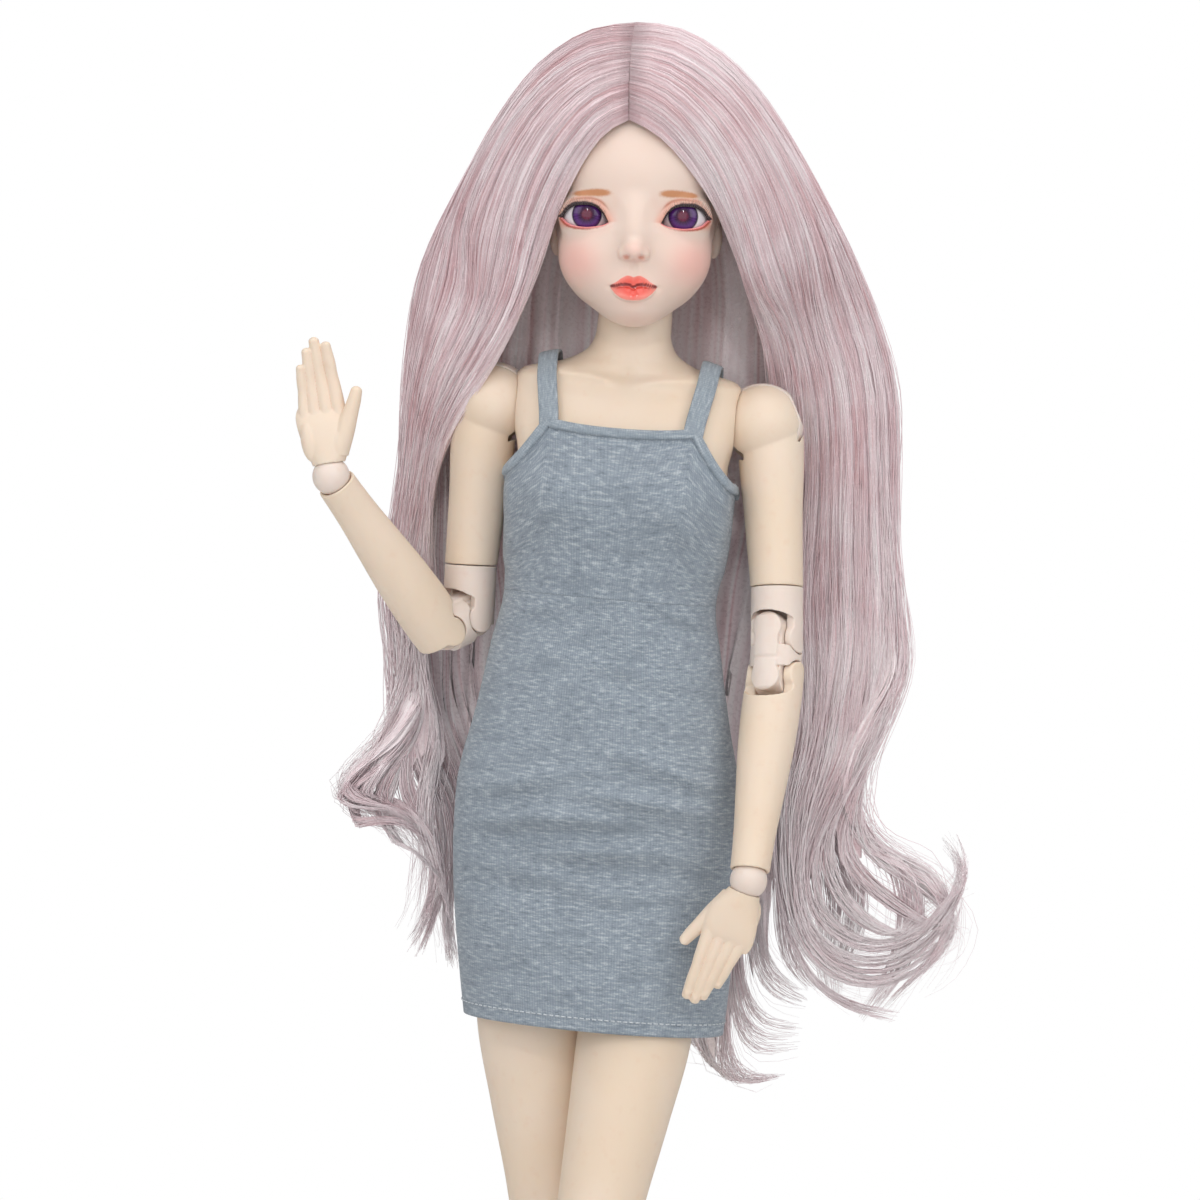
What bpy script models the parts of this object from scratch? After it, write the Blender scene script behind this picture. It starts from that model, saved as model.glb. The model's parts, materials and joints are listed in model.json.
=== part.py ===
"""Ball jointed fashion doll, about 60 cm tall, standing with one hand raised.

Every length is in millimetres and becomes metres in one place, where a mesh is made. The doll
faces -Y, its left side is +X, and its soles stand on z = 0. A limb is built hanging straight
down from its joint and is then turned into the photographed pose by its chain of joint frames.
"""
import math

import bmesh
import bpy
import numpy as np
from mathutils import Matrix, Vector

MM = 0.001
GAP = 0.3                       # running gap between two pieces that touch

# Place of the doll's midline and of its shoulder plane, so that the origin is
# the middle of the space that the whole doll stands in, on the floor
MIDLINE_X, MIDLINE_Y = -9.9, 15.8

# Torso profile: height, half width, front depth, back depth, middle, squareness
TORSO = (
    (302.0, 9.0, 7.0, 9.0, 4.0, 2.0),
    (306.0, 19.0, 11.0, 17.0, 4.0, 2.0),
    (314.0, 33.0, 16.0, 27.0, 4.0, 2.1),
    (326.0, 42.5, 19.5, 32.0, 4.0, 2.2),
    (342.0, 45.0, 21.5, 33.5, 3.0, 2.2),
    (362.0, 44.2, 23.5, 28.0, 2.0, 2.2),
    (385.0, 39.6, 23.0, 22.5, 2.0, 2.2),
    (403.0, 36.2, 21.8, 20.5, 2.0, 2.2),
    (415.0, 33.6, 21.0, 20.0, 2.0, 2.2),
    (426.0, 32.4, 21.5, 20.3, 2.0, 2.2),
    (436.0, 34.4, 23.0, 21.2, 2.0, 2.2),
    (447.0, 35.2, 25.5, 22.3, 2.0, 2.2),
    (459.0, 35.4, 26.5, 23.0, 2.0, 2.3),
    (468.0, 34.2, 24.0, 22.5, 2.0, 2.5),
    (478.0, 36.2, 20.5, 21.0, 2.5, 2.8),
    (487.0, 37.3, 17.0, 18.0, 3.0, 2.8),
    (494.0, 37.0, 14.2, 14.8, 4.0, 2.8),
    (497.0, 34.0, 13.0, 13.6, 4.4, 2.6),
    (499.0, 25.0, 12.8, 13.6, 4.6, 2.2),
    (501.5, 18.5, 12.2, 13.2, 4.6, 2.0),
    (505.0, 13.4, 11.4, 12.0, 4.4, 2.0),
    (510.0, 11.2, 10.9, 11.0, 4.2, 2.0),
    (518.5, 10.8, 10.8, 10.8, 4.0, 2.0),
)
HIP_SHIFT = 1.0                 # the hips stand this far to the doll's left
BUST = (17.0, 456.0, 13.0, 5.0)  # out from the midline, height, radius, height of the swell
BUST_SIDE = 4.6                 # the bust's front corners pass the arms' inner edges by this
CHEST_FOOT, MIDRIFF_TOP = 436.3, 435.9
WAIST_TWIST_Z, WAIST_BALL_R = 434.0, 17.0
WAIST_BEND_Z, WAIST_SEAM_R = 415.0, 26.0
CROTCH_Z = 307.3
# Room under each hip in which the thigh swings: height under the joint, half width, half depth
LEG_ROOM = ((4.0, 11.0, 13.0), (-5.0, 14.8, 19.4), (-13.0, 17.0, 25.0), (-23.0, 18.8, 32.0),
            (-48.0, 20.5, 50.0))
# Outline of the leg openings: place out from the midline, height, slope, and how far back it cuts
LEG_LINES = (("front", 4.6, 317.2, 56.0, 6.7), ("rear", 5.2, 302.3, 40.0, 50.0))

NECK_BALL, NECK_BALL_R = (0.0, 4.0, 524.0), 11.2
NECK_ROOM = 16.2                # radius of the opening under the jaw that the neck's end stands in
HEAD_CENTRE = (0.0, 0.0, 556.6)  # half way from chin to crown
HEAD_TILT = 4.7                 # degrees, towards the doll's right shoulder
CAP_CUT = (14.0, 27.0)          # height over the head's middle, and degrees that the cut drops behind
EYE = (15.3, -21.2, -9.2)       # out from the midline, depth, height in the head
EYE_R = 8.2
EYE_SLOT = (7.0, 3.1)           # half width and half height of the eye opening

SHOULDER, SHOULDER_R = (44.0, 6.0, 484.0), 13.4
SHOULDER_SLOT = 5.5             # half width of the slot that the hinge disc turns in
ARM_OFFSET, UPPER_ARM = 2.0, 53.4
ELBOW_LEAN, SLEEVE, ELBOW_GAP, FOREARM = 3.0, 17.0, 12.4, 67.4
SLEEVE_R, FOREARM_DRIFT = 8.5, 2.3
WRIST_R = 6.0

HIP, HIP_R = (22.0, 4.0, 330.0), 17.0
HIP_SLOT = 6.5
# Thigh sections: height, half width, half depth, and how far the middle lies outwards
THIGH_ROWS = ((-5.0, 12.0, 12.0, 0.0), (-13.0, 14.6, 14.0, 0.0), (-21.0, 16.6, 15.2, 0.0),
              (-34.0, 18.1, 15.8, 0.4), (-47.0, 18.5, 15.8, 1.0), (-74.0, 16.5, 15.0, 0.7),
              (-102.0, 14.1, 13.5, 0.2))
THIGH, KNEE_SLEEVE, KNEE_GAP, SHIN = 138.0, 22.5, 17.5, 124.0
KNEE_R = 12.0
SHIN_DRIFT = {1: 23.0, -1: 33.0}  # each ankle stands this far outside its knee, so the doll balances
ANKLE_R, ANKLE_Z = 7.5, 28.0
FOOT_LONG, FOOT_WIDE = 78.0, 29.0

# Rest pose, in degrees: one entry for the left limb and one for the right
ARM_POSE = {
    1: {"swing": 7.5, "raise": 8.0, "turn": -25.0, "elbow": (6.0, 6.0)},
    -1: {"swing": 0.0, "raise": 1.3, "turn": -48.0, "elbow": (68.0, 68.0)},
}
LEG_POSE = {
    1: {"swing": 7.5, "lean": 5.5, "knee": (0.0, 0.0), "toe_out": 6.0},
    -1: {"swing": -7.5, "lean": 8.5, "knee": (0.0, 0.0), "toe_out": 8.0},
}
HAND_LEAN = {1: 15.0, -1: 14.0}

# Lengths and bends of the fingers: place across the palm, length, radius, spread in degrees
FINGERS = {
    1: ((-6.6, 22.0, 2.2, -1.0), (-2.3, 22.5, 2.25, 3.0), (1.9, 20.5, 2.15, 9.0), (5.6, 15.5, 1.9, 14.0)),
    -1: ((-6.4, 21.5, 2.2, -3.0), (-2.2, 23.5, 2.25, -1.0), (2.1, 20.5, 2.15, 3.0), (5.9, 15.5, 1.9, 8.0)),
}
PALM = 21.0                     # wrist centre to the roots of the fingers

TORSO_SIDES, LIMB_SIDES, LOCK_SIDES = 24, 14, 10
ROUND = (14, 8)                 # sides and rings of a ball
CLEVIS_ROUND = (20, 12)         # the same for a ball end with a hinge disc
UNDER_CLOTH = -1.0              # the body stands back this far where the dress covers it

SKIN_BODY = (0.80, 0.67, 0.48)
SKIN_FACE = (0.86, 0.70, 0.58)
SKIN_JOINT = (0.80, 0.66, 0.56)
EYE_WHITE = (0.82, 0.80, 0.80)
STEEL = (0.55, 0.55, 0.56)
JERSEY = (0.27, 0.31, 0.36)
HAIR = (0.67, 0.50, 0.58)

PARTS = "ball_jointed_doll"
CUTTERS = "doll_cutters"


def start_clean():
    """Empties the scene and makes the two collections."""
    for ob in list(bpy.data.objects):
        bpy.data.objects.remove(ob)
    for name in (PARTS, CUTTERS):
        made = bpy.data.collections.new(name)
        bpy.context.scene.collection.children.link(made)


def finish(name, colour, roughness=0.45, metallic=0.0):
    """One Principled material."""
    made = bpy.data.materials.new(name)
    made.use_nodes = True
    shader = made.node_tree.nodes["Principled BSDF"]
    shader.inputs["Base Color"].default_value = (*colour, 1.0)
    shader.inputs["Roughness"].default_value = roughness
    shader.inputs["Metallic"].default_value = metallic
    return made


def move(x=0.0, y=0.0, z=0.0):
    """A frame moved by millimetres."""
    return Matrix.Translation(Vector((x, y, z)) * MM)


def turn(axis, degrees):
    """A frame turned about one of its own axes."""
    return Matrix.Rotation(math.radians(degrees), 4, axis)


def add_object(name, mesh, frame, cutter=False):
    """An object at a frame, filed as a part or as a hidden cutter."""
    ob = bpy.data.objects.new(name, mesh)
    bpy.data.collections[CUTTERS if cutter else PARTS].objects.link(ob)
    ob.matrix_world = frame
    if cutter:
        ob.hide_render = True
        ob.display_type = "WIRE"
    return ob


def from_bmesh(name, bm, frame, cutter=False):
    """Turns a bmesh in millimetres into an object in metres."""
    bmesh.ops.scale(bm, vec=(MM, MM, MM), verts=bm.verts)
    mesh = bpy.data.meshes.new(name)
    bm.to_mesh(mesh)
    bm.free()
    return add_object(name, mesh, frame, cutter)


def ball(name, frame, radius, stretch=(1, 1, 1), sides=ROUND[0], rings=ROUND[1], cutter=False,
         axis="Z"):
    """A sphere or an ellipsoid."""
    bm = bmesh.new()
    bmesh.ops.create_uvsphere(bm, u_segments=sides, v_segments=rings, radius=radius)
    if axis != "Z":
        swing = turn("Y", 90) if axis == "X" else turn("X", 90)
        bmesh.ops.transform(bm, matrix=swing, verts=bm.verts)
    bmesh.ops.scale(bm, vec=stretch, verts=bm.verts)
    return from_bmesh(name, bm, frame, cutter)


def seat(name, frame, radius, round_=ROUND, axis="Z"):
    """A cutter for the socket of a ball, whose flat facets clear the ball by the gap."""
    sides, rings = round_
    flat = math.cos(math.pi / sides) * math.cos(math.pi / (2 * rings))
    return ball(name, frame, (radius + GAP) / flat, sides=sides, rings=rings, cutter=True, axis=axis)


def rod(name, frame, radius, low, high, axis="Z", sides=LIMB_SIDES, cutter=False):
    """A cylinder between two places on one axis of the frame."""
    bm = bmesh.new()
    bmesh.ops.create_cone(bm, cap_ends=True, segments=sides, radius1=radius, radius2=radius,
                          depth=high - low)
    bmesh.ops.translate(bm, vec=(0, 0, (low + high) / 2), verts=bm.verts)
    if axis != "Z":
        swing = turn("Y", 90) if axis == "X" else turn("X", -90)
        bmesh.ops.transform(bm, matrix=swing, verts=bm.verts)
    return from_bmesh(name, bm, frame, cutter)


def block(name, frame, low, high, cutter=False):
    """A box between two corners."""
    bm = bmesh.new()
    bmesh.ops.create_cube(bm, size=1.0)
    size = [b - a for a, b in zip(low, high)]
    middle = [(a + b) / 2 for a, b in zip(low, high)]
    bmesh.ops.scale(bm, vec=size, verts=bm.verts)
    bmesh.ops.translate(bm, vec=middle, verts=bm.verts)
    return from_bmesh(name, bm, frame, cutter)


def turned(name, frame, profile, sides=LIMB_SIDES, cutter=False):
    """A profile (radius, height), listed top to bottom, turned about Z by a Screw modifier."""
    mesh = bpy.data.meshes.new(name)
    mesh.from_pydata([(r * MM, 0, z * MM) for r, z in profile],
                     [(i, i + 1) for i in range(len(profile) - 1)], [])
    ob = add_object(name, mesh, frame, cutter)
    screw = ob.modifiers.new("turn", "SCREW")
    screw.steps = screw.render_steps = sides
    screw.use_merge_vertices = True
    screw.merge_threshold = 0.00005
    return ob


def loft(name, frame, rings, capped=True, cutter=False):
    """A skin over rings of equally many points, for bodies whose sections differ."""
    bm = bmesh.new()
    rows = [[bm.verts.new(p) for p in ring] for ring in rings]
    count = len(rows[0])
    for low, high in zip(rows, rows[1:]):
        for i in range(count):
            j = (i + 1) % count
            bm.faces.new((low[i], low[j], high[j], high[i]))
    if capped:
        bm.faces.new(rows[0][::-1])
        bm.faces.new(rows[-1])
    bmesh.ops.recalc_face_normals(bm, faces=bm.faces)
    return from_bmesh(name, bm, frame, cutter)


def oval(z, rx, ry, x=0.0, y=0.0, sides=LIMB_SIDES, power=2.0, slope=0.0):
    """One level ring of a loft; slope tips it about Y by a rise per millimetre of x."""
    points = []
    for i in range(sides):
        angle = 2 * math.pi * i / sides
        c, s = math.cos(angle), math.sin(angle)
        px = x + rx * math.copysign(abs(c) ** (2 / power), c)
        py = y + ry * math.copysign(abs(s) ** (2 / power), s)
        points.append((px, py, z + slope * px))
    return points


def combine(ob, other, operation="DIFFERENCE"):
    """Cuts, joins or intersects ob with a cutter."""
    step = ob.modifiers.new(operation.lower(), "BOOLEAN")
    step.operation = operation
    step.object = other
    step.solver = "EXACT"
    return ob


def torso_row(z):
    """Half width, front, back, middle and squareness of the torso at a height."""
    heights = [row[0] for row in TORSO]
    return [float(np.interp(z, heights, [row[k] for row in TORSO])) for k in range(1, 6)]


def torso_shift(z):
    """How far the torso's middle has moved to the doll's left at a height."""
    return HIP_SHIFT * float(np.interp(z, (340.0, 410.0), (1.0, 0.0)))


def bust_swell(x, z):
    """Forward swell of the breasts at a place on the chest."""
    out, height, radius, swell = BUST
    near = math.exp(-(((abs(x) - out) / radius) ** 2 + ((z - height) / radius) ** 2))
    return swell * near


def bust_corner(z, s):
    """Sideways swell of the bust's front corners, none where the arms hang."""
    return BUST_SIDE * min(1.0, max(0.0, -s - 0.2) / 0.4) * math.exp(-((z - BUST[1]) / 15.0) ** 2)


def torso_ring(z, proud=0.0, sides=TORSO_SIDES):
    """A ring of the torso's surface, standing proud by an offset."""
    a, f, b, middle, power = torso_row(z)
    points = []
    for i in range(sides):
        angle = 2 * math.pi * i / sides
        c, s = math.cos(angle), math.sin(angle)
        x = (a + proud) * math.copysign(abs(c) ** (2 / power), c)
        deep = (b if s > 0 else f) + proud
        y = middle + deep * math.copysign(abs(s) ** (2 / power), s)
        if s < 0:
            y -= bust_swell(x, z) * abs(s)
            x *= 1 + bust_corner(z, s) / a
        points.append((x + torso_shift(z), y, z))
    return points


def torso_front(x, z, proud=0.0, back=False):
    """Depth of the torso's front or back surface at a place."""
    a, f, b, middle, power = torso_row(z)
    share = max(0.0, 1 - min(1.0, abs(x) / (a + proud)) ** power) ** (1 / power)
    if back:
        return middle + (b + proud) * share
    return middle - (f + proud) * share - bust_swell(x, z) * share


def torso_top(x, y, proud=0.0):
    """Height of the shoulder's upper surface over a place."""
    low, high = 486.0, 503.0
    for _ in range(20):
        z = (low + high) / 2
        a, f, b, middle, power = torso_row(z)
        deep = (b if y > middle else f) + proud
        reach = (abs(x) / (a + proud)) ** power + (abs(y - middle) / deep) ** power
        low, high = (z, high) if reach < 1 else (low, z)
    return low + proud


def under_cloth(z):
    """Offset of the chest's surface: back under the dress, none above it."""
    return float(np.interp(z, (452.0, 468.0), (UNDER_CLOTH, 0.0)))


def heights_between(low, high):
    """The profile's own heights inside a span, with the span's two ends."""
    inner = [row[0] for row in TORSO if low + 1.0 < row[0] < high - 1.0]
    return [low, *inner, high]


class Head:
    """The head's outer surface: soft ellipsoids blended into one skin.

    Each blob is (centre, radii, blend), in millimetres from the middle of the head.
    """

    FORMS = (
        ((0, 3, 8), (30.5, 35, 35.5), 6.0),
        ((0, -14, 6), (24, 19.5, 20), 6.0),
        ((0, -10, -12), (25.2, 23, 23), 5.0),
        ((0, -3, -22), (19, 20, 14), 5.0),
        ((0, -19.5, -33.8), (8.2, 12.5, 9.2), 6.0),
        ((12.5, -17, -21), (10.5, 13.5, 11), 5.0),
        ((0, -30.5, -13), (2.4, 4.4, 8.5), 3.0),
        ((0, -34.6, -20.2), (3.2, 3.9, 3.0), 2.2),
        ((3.0, -32.6, -21.3), (2.0, 3.0, 1.9), 1.4),
        ((2.6, -31.2, -29.2), (4.2, 2.9, 1.5), 1.3),
        ((0, -31.2, -33.0), (4.4, 3.2, 2.0), 1.3),
        ((29.2, 5.0, -12.5), (2.6, 5.5, 8.5), 1.5),
    )
    SOCKET = ((15.3, -37.5, -8.5), (10.0, 7.5, 6.0), 4.0)

    @staticmethod
    def blob(points, centre, radii):
        """Signed distance, nearly, from points to one ellipsoid and its mirror image."""
        p = np.abs(points * (1, 0, 0)) + points * (0, 1, 1) - np.array(centre, float)
        r = np.array(radii, float)
        near = np.linalg.norm(p / r, axis=1)
        steep = np.linalg.norm(p / (r * r), axis=1) + 1e-9
        return near * (near - 1.0) / steep

    @staticmethod
    def blend(a, b, width):
        """The lower of two distances, rounded where they cross."""
        h = np.clip(0.5 + 0.5 * (b - a) / width, 0.0, 1.0)
        return b * (1 - h) + a * h - width * h * (1 - h)

    @classmethod
    def distance(cls, points):
        """Distance from the head's skin, negative inside."""
        total = None
        for centre, radii, width in cls.FORMS:
            one = cls.blob(points, centre, radii)
            total = one if total is None else cls.blend(total, one, width)
        centre, radii, width = cls.SOCKET
        hollow = cls.blob(points, centre, radii)
        return -cls.blend(-total, hollow, width)

    @classmethod
    def skin(cls, directions, proud=0.0):
        """Where rays from the head's middle leave the skin."""
        d = directions / np.linalg.norm(directions, axis=1)[:, None]
        low, high = np.zeros(len(d)), np.full(len(d), 70.0)
        for _ in range(34):
            middle = (low + high) / 2
            inside = cls.distance(d * middle[:, None]) < 0
            low, high = np.where(inside, middle, low), np.where(inside, high, middle)
        return d * (low + proud)[:, None]


def head_solid(name, frame, proud, sides, rings, cutter=False):
    """A sphere, its poles at nose and nape, pushed out to the head's skin."""
    bm = bmesh.new()
    bmesh.ops.create_uvsphere(bm, u_segments=sides, v_segments=rings, radius=1.0)
    bmesh.ops.transform(bm, matrix=turn("X", 90), verts=bm.verts)
    bm.verts.ensure_lookup_table()
    places = Head.skin(np.array([v.co[:] for v in bm.verts]), proud)
    for vert, place in zip(bm.verts, places):
        vert.co = Vector(place)
    return from_bmesh(name, bm, frame, cutter)


def build_head(root):
    """Face shell, head cap, eyes and neck ball."""
    neck = root @ move(*NECK_BALL) @ turn("Y", -HEAD_TILT)
    up = Vector(HEAD_CENTRE) - Vector(NECK_BALL)
    frame = neck @ move(*up)
    joint = frame @ move(*-up)
    height, drop = CAP_CUT
    slice_frame = frame @ move(0, 0, height) @ turn("X", -drop)

    def shell(name, above):
        ob = head_solid(name, frame, 0.0, 26, 18)
        side = (-60, -60, -90) if above else (-60, -60, -GAP / 2)
        far = (60, 60, GAP / 2) if above else (60, 60, 90)
        combine(ob, hollow)
        return combine(ob, block(name + "_slice", slice_frame, side, far, cutter=True))

    hollow = ball("head_hollow", frame @ move(0, 3.5, 5), 1.0, (26.5, 30.5, 31), 14, 10, cutter=True)
    face = shell("head_shell", above=False)
    cap = shell("head_cap", above=True)
    combine(face, seat("neck_seat", joint, NECK_BALL_R))
    combine(face, rod("neck_room", joint, NECK_ROOM, -40, -4.4, cutter=True))
    combine(face, rod("string_hole", joint, 5.0, 0, 20, cutter=True))
    for side in (1, -1):
        name = "left" if side > 0 else "right"
        eye = frame @ move(side * EYE[0], EYE[1], EYE[2])
        combine(face, seat(name + "_eye_seat", eye, EYE_R))
        slot = ball(name + "_eye_slot", eye @ move(0, -12, 0), 1.0,
                    (EYE_SLOT[0], 12.0, EYE_SLOT[1]), 14, 6, cutter=True)
        combine(face, slot)
        ball("eye_" + name, eye, EYE_R, sides=12, rings=8, axis="Y")
    ball("neck_ball", neck, NECK_BALL_R)
    return frame, neck


def build_torso(root):
    """Chest with neck, midriff and pelvis, seated in each other on round seams."""
    levels = heights_between(CHEST_FOOT, TORSO[-1][0])
    chest = loft("chest", root, [torso_ring(z, under_cloth(z)) for z in levels])
    combine(chest, seat("neck_cup", root @ move(*NECK_BALL), NECK_BALL_R))
    for side in (1, -1):
        place = root @ move(side * SHOULDER[0], SHOULDER[1], SHOULDER[2])
        combine(chest, seat(f"shoulder_socket_{side}", place, SHOULDER_R, CLEVIS_ROUND, "X"))
    waist = root @ move(0, 2, WAIST_TWIST_Z)
    combine(chest, seat("chest_hollow", waist, WAIST_BALL_R))

    levels = heights_between(386.0, MIDRIFF_TOP)
    midriff = loft("midriff", root, [torso_ring(z, UNDER_CLOTH) for z in levels])
    bend = root @ move(0, 2, WAIST_BEND_Z)
    keep = rod("midriff_round", bend, WAIST_SEAM_R, -60, 60, "X", 32, cutter=True)
    above = block("midriff_upper", bend, (-60, -60, 0), (60, 60, 60), cutter=True)
    combine(midriff, combine(keep, above, "UNION"), "INTERSECT")
    combine(midriff, ball("waist_ball", waist, WAIST_BALL_R, cutter=True), "UNION")

    levels = heights_between(CROTCH_Z, 406.0)
    pelvis = loft("pelvis", root, [torso_ring(z, UNDER_CLOTH) for z in levels])
    combine(pelvis, rod("pelvis_seam", bend, WAIST_SEAM_R + GAP, -60, 60, "X", 32, cutter=True))
    for side in (1, -1):
        hip = hip_frame(root, side)
        combine(pelvis, seat(f"hip_socket_{side}", hip, HIP_R, CLEVIS_ROUND, "X"))
        rings = [oval(z, rx, ry, sides=18) for z, rx, ry in LEG_ROOM]
        place = hip @ turn("Y", side * LEG_POSE[side]["lean"])
        combine(pelvis, loft(f"thigh_room_{side}", place, rings, cutter=True))
        for tag, out, high, slope, reach in LEG_LINES:
            edge = root @ move(HIP_SHIFT + side * out, 0, high) @ turn("Y", -side * slope)
            low, far = sorted((0.0, side * 60.0))
            combine(pelvis, block(f"{tag}_leg_line_{side}", edge, (low, -40, -40), (far, reach, 0),
                                  cutter=True))
    return chest


def clevis(name, ob, frame, radius, slot):
    """Opens a ball end for its hinge disc, and makes the disc and its pin.

    The disc is the middle slice of the same ball, so it fills the slot and shows
    through it as a thin crescent. The pin runs along Y through both cheeks.
    """
    combine(ob, rod(name + "_slot", frame, radius + GAP, -slot, slot, "Y", 20, cutter=True))
    disc = ball(name + "_disc", frame, radius, sides=CLEVIS_ROUND[0], rings=CLEVIS_ROUND[1], axis="Y")
    thin = slot - GAP
    combine(disc, block(name + "_disc_faces", frame, (-40, -thin, -40), (40, thin, 40), cutter=True),
            "INTERSECT")
    bore = rod(name + "_pin_bore", frame, 1.8, -slot - 3.6, slot + 3.6, "Y", 8, cutter=True)
    combine(ob, bore)
    combine(disc, bore)
    rod(name + "_pin", frame, 1.5, -slot - 3.2, slot + 3.2, "Y", 8)
    return disc


def hinge_end(name, ob, frame, size, down=1):
    """Shapes a tube's end into the two prongs of a double joint.

    The frame sits on the pivot, the limb bends towards -Y, and the tube comes from
    above (down = 1) or from below (down = -1). An arched cut at the front leaves
    room for the link, a slot takes its rounded middle, and each side ends in a disc.
    """
    k, d = size / SLEEVE_R, down
    arch = ball(name + "_arch", frame @ move(0, -4 * k, 0), 10 * k, cutter=True)
    end = block(name + "_end", frame, (-20 * k, -20 * k, -20 * k if d > 0 else 2.2 * k),
                (20 * k, 20 * k, -2.2 * k if d > 0 else 20 * k), cutter=True)
    combine(arch, end, "UNION")
    for side in (1, -1):
        inner, outer = sorted((side * 5.1 * k, side * 14 * k))
        eye = rod(f"{name}_prong_{side}", frame, 4.7 * k, inner, outer, "X", 12, cutter=True)
        strap = block(f"{name}_strap_{side}", frame, (inner, -3.2 * k, 0 if d > 0 else -12 * k),
                      (outer, 3.2 * k, 12 * k if d > 0 else 0), cutter=True)
        combine(arch, combine(eye, strap, "UNION"))
    combine(ob, arch)
    combine(ob, rod(name + "_slot", frame, 6.6 * k, -5.05 * k, 5.05 * k, "X", 14, cutter=True))
    combine(ob, rod(name + "_bore", frame, 1.6 * k, -7.0 * k, 7.0 * k, "X", 6, cutter=True))
    rod(name + "_pin", frame, 1.5 * k - GAP, -6.6 * k, 6.6 * k, "X", 6)


def double_link(name, frame, size, span):
    """The link between two pivots: two rounded heads, a waist and side lobes."""
    k = size / SLEEVE_R
    link = rod(name, frame, size - 0.1, -span + 2.8 * k, -2.8 * k)
    for tag, z in (("upper", 0.0), ("lower", -span)):
        at = frame @ move(0, 0, z)
        combine(link, rod(f"{name}_{tag}_relief", at, 5.2 * k, -12 * k, 12 * k, "X", 12, cutter=True))
    core = block(name + "_core", frame, (-4.6 * k, -5.0 * k, -span), (4.6 * k, 5.0 * k, 0), cutter=True)
    for tag, z in (("upper", 0.0), ("lower", -span)):
        at = frame @ move(0, 0, z)
        combine(core, ball(f"{name}_{tag}_head", at, 6.2 * k, (0.76, 1, 1), 12, 8, cutter=True,
                           axis="X"), "UNION")
    combine(link, core, "UNION")
    for tag, z in (("upper", 0.0), ("lower", -span)):
        at = frame @ move(0, 0, z)
        combine(link, rod(f"{name}_{tag}_bore", at, 1.6 * k, -6 * k, 6 * k, "X", 6, cutter=True))
    return link


def capsule(name, frame, start, end, radii, sides=6):
    """A finger bone: a tapered tube with a rounded far end."""
    a, b = Vector(start), Vector(end)
    along = (b - a).normalized()
    side = along.cross(Vector((0, 1, 0))).normalized()
    other = along.cross(side)
    r0, r1 = radii
    stations = ((r0, 0.0), (r0, 0.5), (r1, 0.88), (r1 * 0.5, 1.0))
    rings = []
    for radius, t in stations:
        middle = a.lerp(b, t)
        rings.append([tuple(middle + (side * math.cos(w) + other * math.sin(w)) * radius)
                      for w in (2 * math.pi * i / sides for i in range(sides))])
    return loft(name, frame, rings, cutter=True)


def build_hand(name, frame, side):
    """Palm with a cup for the wrist ball, four fingers and a thumb.

    Fingers point along -Z, the back of the hand faces -Y, and the thumb is towards
    the body, which is -X on the left hand.
    """
    s = side
    rings = [
        oval(-3.9, 5.2, 4.9, sides=12),
        oval(-7.0, 6.4, 4.7, -0.4 * s, sides=12),
        oval(-12.0, 8.2, 4.2, -0.8 * s, 0.2, sides=12, power=2.3),
        oval(-17.0, 8.6, 3.5, -0.5 * s, 0.2, sides=12, power=2.5),
        oval(-PALM - 1.0, 7.9, 2.3, -0.2 * s, 0.0, sides=12, power=2.6),
    ]
    hand = loft(name, frame, rings)
    for i, (across, length, radius, spread) in enumerate(FINGERS[side]):
        lean = math.tan(math.radians(spread))
        start = (across * s * 0.98, 0.0, -PALM + 3.5)
        end = (across * s - lean * length * s, 1.4, -PALM - length)
        bone = capsule(f"{name}_finger_{i}", frame, start, end, (radius, radius * 0.72))
        combine(hand, bone, "UNION")
    thumb = capsule(f"{name}_thumb", frame, (-4.0 * s, 1.0, -9.0), (-13.4 * s, 3.0, -26.5), (2.9, 1.75))
    combine(hand, thumb, "UNION")
    combine(hand, seat(name + "_cup", frame, WRIST_R))
    return hand


def arm_frames(root, side):
    """Joint frames of one arm, from the shoulder to the hand, in the rest pose."""
    pose = ARM_POSE[side]
    shoulder = root @ move(side * SHOULDER[0], SHOULDER[1], SHOULDER[2])
    upper = shoulder @ turn("X", -pose["swing"]) @ turn("Y", -side * pose["raise"])
    sleeve = (upper @ move(side * ARM_OFFSET, 0, -UPPER_ARM) @ turn("Y", side * ELBOW_LEAN)
              @ turn("Z", pose["turn"]))
    link = sleeve @ move(0, 0, -SLEEVE) @ turn("X", -pose["elbow"][0])
    fore = link @ move(0, 0, -ELBOW_GAP) @ turn("X", -pose["elbow"][1])
    wrist = fore @ move(-side * FOREARM_DRIFT, 0, -FOREARM)
    at = Matrix.Translation(wrist.translation)
    lean = turn("Y", HAND_LEAN[side])
    hand = at @ lean if side > 0 else at @ turn("Y", -HAND_LEAN[side]) @ turn("X", 180)
    return {"shoulder": shoulder, "upper": upper, "sleeve": sleeve, "link": link, "fore": fore,
            "wrist": wrist, "hand": hand}


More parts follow.
